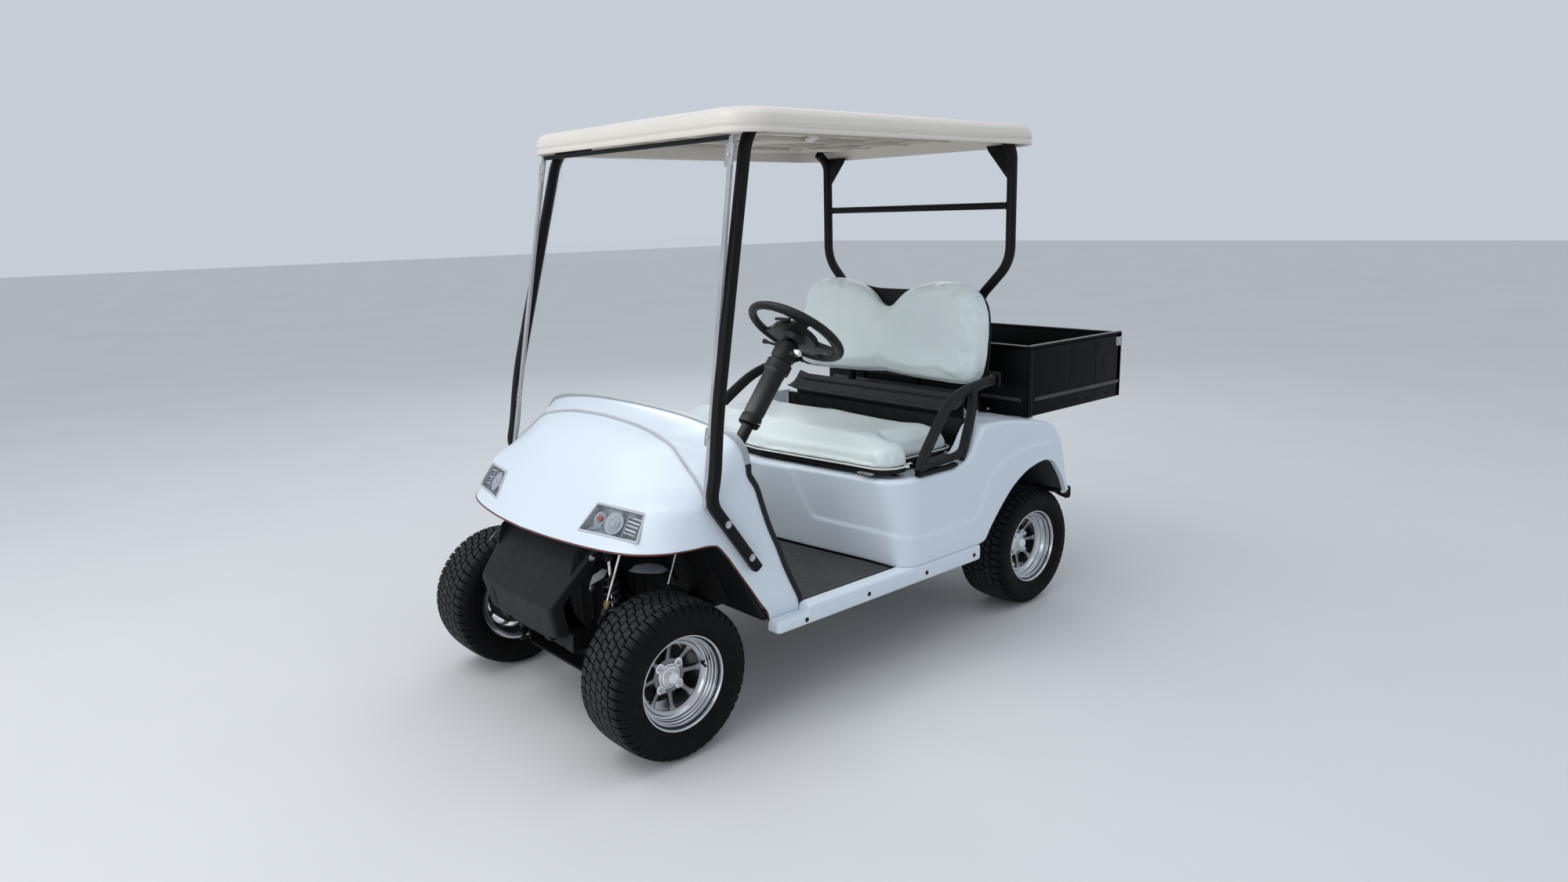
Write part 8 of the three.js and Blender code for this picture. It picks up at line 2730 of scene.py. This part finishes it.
def make_dash():
    # panel under the rear edge of the hood
    crown = [(0.0, 0.9225), (0.130, 0.9205), (0.250, 0.9155), (0.350, 0.9065), (0.450, 0.8905), (0.500, 0.8725), (0.534, 0.8405), (0.5455, 0.800), (0.5455, 0.645)]
    right = [(p.x, p.y) for p in catmull([(x, z, 0) for x, z in crown[:8]], 5)] + [(0.5455, 0.72), (0.5455, 0.655), (0.5415, 0.6435), (0.530, 0.6405)]
    outline = [(x, z) for x, z in right] + [(-x, z) for x, z in right[::-1]][:-1]
    main = plate("panel", outline, 0.0210, at(0, 0.2714, 0), (1, 0, 0), (0, 0, 1), BLACK_PLASTIC, 0.0025)
    # pockets cut into the panel
    cutters = []
    for x0, x1, z0, z1 in ((-0.470, -0.150, 0.715, 0.835), (0.395, 0.505, 0.715, 0.815)):
        c = rounded_box("c", (x0, AY + 0.262, z0), (x1, AY + 0.300, z1), 0.012, BLACK_PLASTIC, 4)
        boolean(main, c)
    P = [main]
    for x0, x1, z0, z1 in ((-0.470, -0.150, 0.715, 0.835), (0.395, 0.505, 0.715, 0.815)):
        rp = rounded_poly([(x0, z0), (x1, z0), (x1, z1), (x0, z1)], 0.014)
        P.append(tube("lip", [at(x, 0.2716, z) for x, z in rp], 0.0022, BLACK_PLASTIC, 8, closed=True))
        P.append(box_at("net", x0 + 0.004, x1 - 0.004, 0.2612, 0.2640, z0 + 0.004, z0 + 0.042, 0.001, TRAY_GREY))
    # battery meter, key switch and direction rocker
    P.append(box_at("meter", 0.110, 0.190, 0.2700, 0.2748, 0.800, 0.842, 0.0035, TRAY_GREY, 3))
    P.append(box_at("meter_face", 0.116, 0.184, 0.2742, 0.2756, 0.806, 0.836, 0.0008, METER_FACE, 2))
    for k in range(8):
        P.append(box_at("bar", 0.121 + 0.0074 * k, 0.1258 + 0.0074 * k, 0.2752, 0.2762, 0.812, 0.828, 0.0003, LAMP_WHITE if k < 6 else RED, 1))
    P.append(turn_between("key", at(0.055, 0.270, 0.822), at(0.055, 0.282, 0.822), [(0, 0.0150), (0.3, 0.0150), (0.4, 0.0120), (0.9, 0.0115), (1, 0.010)], ZINC, 28))
    P.append(box_at("key_slot", 0.0537, 0.0563, 0.2818, 0.2826, 0.8165, 0.8275, 0.0003, SKIN_BLACK, 1))
    P.append(box_at("rocker_frame", 0.085, 0.113 - 0.010, 0.2700, 0.2745, 0.740, 0.780, 0.003, TRAY_GREY, 3))
    P.append(box_at("rocker_key", 0.0880, 0.1000, 0.2735, 0.2785, 0.744, 0.776, 0.003, SKIN_BLACK, 3))
    # dark strips down the rear edges of the cheeks
    edge = [(0.262, 0.765), (0.279, 0.734), (0.295, 0.684), (0.327, 0.598), (0.355, 0.539), (0.389, 0.454), (0.425, 0.386), (0.4435, 0.353)]
    for s in (1, -1):
        pth = [at(s * 0.5497, y + 0.0085, z + 0.002) for y, z in edge[:7]] + [at(s * 0.5497, 0.4500, 0.3535)]
        pth = catmull(pth, 6)
        n = len(pth)
        sc = []
        for p in pth:
            bulge = math.exp(-((p.z - 0.665) / 0.035) ** 2)
            sc.append(1.0 + 0.28 * bulge)
        P.append(sweep("strip", pth, rounded_section(0.0155, 0.0072, 0.0028, 3), BLACK_PLASTIC, up=(0, 1, 0), scale=sc, angle=40))
        P.append(sweep("lip", catmull([at(s * 0.5505, y, z) for y, z in ((0.2660, 0.760), (0.2655, 0.768), (0.2655, 0.790))] + [at(s * 0.5360, 0.2660, 0.8385)], 5), circle(0.0028, 8), BLACK_PLASTIC))
    ob = merge("dash_panel_moulding", P)
    shade(ob, True, 35)
    finish_piece(ob, "cart", ["dash_panel"])


def make_pedals():
    P = [turn_between("bar", at(0.151, 0.2065, 0.575), at(0.419, 0.2065, 0.575), [(0, 0.0075), (1, 0.0075)], BLACK_STEEL, 20)]
    for x, yf, zt, zb, w, p0, p1 in ((0.195, 0.324, 0.571, 0.452, 0.014, 0.431, 0.489), (0.375, 0.314, 0.571, 0.432, 0.014, 0.401, 0.499)):
        arm = round_path([at(x, 0.208, zt - 0.001), at(x, yf, zt - 0.001), at(x, yf, zb)], 0.035, 8)
        P.append(sweep("arm", arm, rounded_section(0.0100, 0.0130, 0.002, 2), BLACK_STEEL, up=(0, -0.7, 0.7), angle=40))
        P.append(turn_between("hub", at(x - 0.012, 0.2068, 0.575), at(x + 0.012, 0.2068, 0.575), [(0, 0.0125), (1, 0.0125)], BLACK_STEEL, 22))
        hw = 0.034 if x < 0.3 else 0.0245
        P.append(box_at("pad", x - hw, x + hw, yf + 0.0058, yf + 0.0150, p0, p1, 0.0035, SKIN_BLACK, 3))
        k = 0
        z = p0 + 0.008
        while z < p1 - 0.006:
            P.append(box_at("rib", x - hw + 0.004, x + hw - 0.004, yf + 0.0145, yf + 0.0172, z, z + 0.0038, 0.0011, SKIN_BLACK, 2))
            z += 0.0088
    # return spring on the brake arm
    c0, c1 = at(0.212, 0.2085, 0.570), at(0.240, 0.2085, 0.570)
    path = []
    for k in range(6 * 14 + 1):
        t = k / (6 * 14)
        a = 2 * math.pi * 6 * t
        path.append(c0.lerp(c1, t) + Vector((0, 0.0115 * math.cos(a), 0.0115 * math.sin(a))))
    P.append(tube("spring", path, 0.0012, ZINC, 6))
    ob = merge("pedals_hanging", P)
    finish_piece(ob, "cart", ["pedals"])


def make_tail_details():
    P = []
    for s in (1, -1):
        # round red lamps with a dark ring on the rear panel beside the deck
        P2 = []
        base = at(s * 0.548, 1.7905, 0.560)
        n = Vector((0, 0.975, 0.222))
        P2.append(turn_between("ring", base - n * 0.004, base + n * 0.008, [(0, 0.0300), (0.7, 0.0300), (0.9, 0.0285), (1, 0.0265)], BLACK_PLASTIC, 36))
        P2.append(turn_between("lens", base + n * 0.004, base + n * 0.0145, [(0, 0.0262), (0.4, 0.0262), (0.7, 0.0235), (0.9, 0.017), (1, 0.008)], RED, 36))
        for r in (0.006, 0.012, 0.018):
            P2.append(turn_between("ridge", base + n * (0.0142 - 0.22 * r), base + n * (0.0152 - 0.22 * r), [(0, r + 0.0012), (1, r + 0.0006)], RED, 30))
        P += P2
    ob = merge("tail_lamps_red", P)
    finish_piece(ob, "cart")


SPR_Y = -0.038
GEAR_GREY = surface("pale_grey_bracket", (0.22, 0.235, 0.26), (0.29, 0.305, 0.33), 12, (0.4, 0.55), metal=0.4, grain=(500, 0.3, 0.0005))
GEAR_BROWN = surface("knuckle_cast_iron", (0.075, 0.066, 0.058), (0.115, 0.102, 0.090), 18, (0.5, 0.7), metal=0.35, grain=(600, 0.45, 0.0008), low_dirt_and_shade=(0.10, 0.35, (0.07, 0.06, 0.05), 0.4))
SPRING_GREY = surface("coil_spring_coat", (0.030, 0.031, 0.034), (0.045, 0.046, 0.049), 20, (0.3, 0.42), grain=(600, 0.25, 0.0004), coat=0.2, coat_rough=0.2)
RED_CABLE = surface("red_cable_sleeve", (0.22, 0.016, 0.012), (0.28, 0.024, 0.018), 20, (0.45, 0.6), grain=(600, 0.3, 0.0004))
BATT_CASE = surface("battery_case_plastic", (0.030, 0.033, 0.042), (0.042, 0.045, 0.055), 12, (0.4, 0.55), grain=(700, 0.3, 0.0005))
BATT_CAP = surface("battery_caps", (0.26, 0.045, 0.03), (0.32, 0.06, 0.04), 20, (0.4, 0.5), grain=(600, 0.3, 0.0004))
METER_FACE = surface("meter_face_plastic", (0.012, 0.013, 0.016), (0.02, 0.021, 0.025), 20, (0.12, 0.2), coat=0.5, coat_rough=0.05, grain=(600, 0.2, 0.0003))
def make_wheel_wells():
    # splash panels between the frame and the front wheels, with pressed ribs
    for side, sg in (("left", 1), ("right", -1)):
        out = [(-0.095, 0.325), (0.200, 0.325), (0.200, 0.500), (0.160, 0.590), (-0.080, 0.590), (-0.125, 0.560), (-0.150, 0.470), (-0.135, 0.380)]
        P = [plate("well", out, 0.0025, at(sg * 0.2190, 0, 0), (0, 1, 0), (0, 0, 1), WELL_BLACK, 0.0008)]
        for y in (-0.11, -0.075, 0.075, 0.115, 0.155):
            P.append(box_at("rib", sg * 0.2195, sg * 0.2245, y - 0.005, y + 0.005, 0.345, 0.560 if y < 0.13 else 0.54, 0.002, WELL_BLACK))
        for y, z in ((-0.085, 0.340), (0.180, 0.340), (0.130, 0.575), (-0.065, 0.575)):
            P.append(bolt("b", at(sg * 0.2218, y, z), (sg, 0, 0), r=0.005, head=0.003, dome=True, mat=BLACK_STEEL))
        ob = merge("front_wheel_well_%s_panel" % side, P)
        finish_piece(ob, "cart")


WELL_BLACK = surface("splash_panel_plastic", (0.0055, 0.0055, 0.006), (0.0085, 0.0085, 0.009), 6, (0.5, 0.65), spec=0.2, grain=(700, 0.3, 0.0005), low_dirt_and_shade=(0.3, 0.5, (0.03, 0.027, 0.024), 0.4))
make_wheel_wells()
make_frame()
make_front_suspension()
make_spring_legs()
make_knuckles()
make_rear_gear()
make_floor()
make_seat_well()
make_dash()
make_pedals()
make_tail_details()
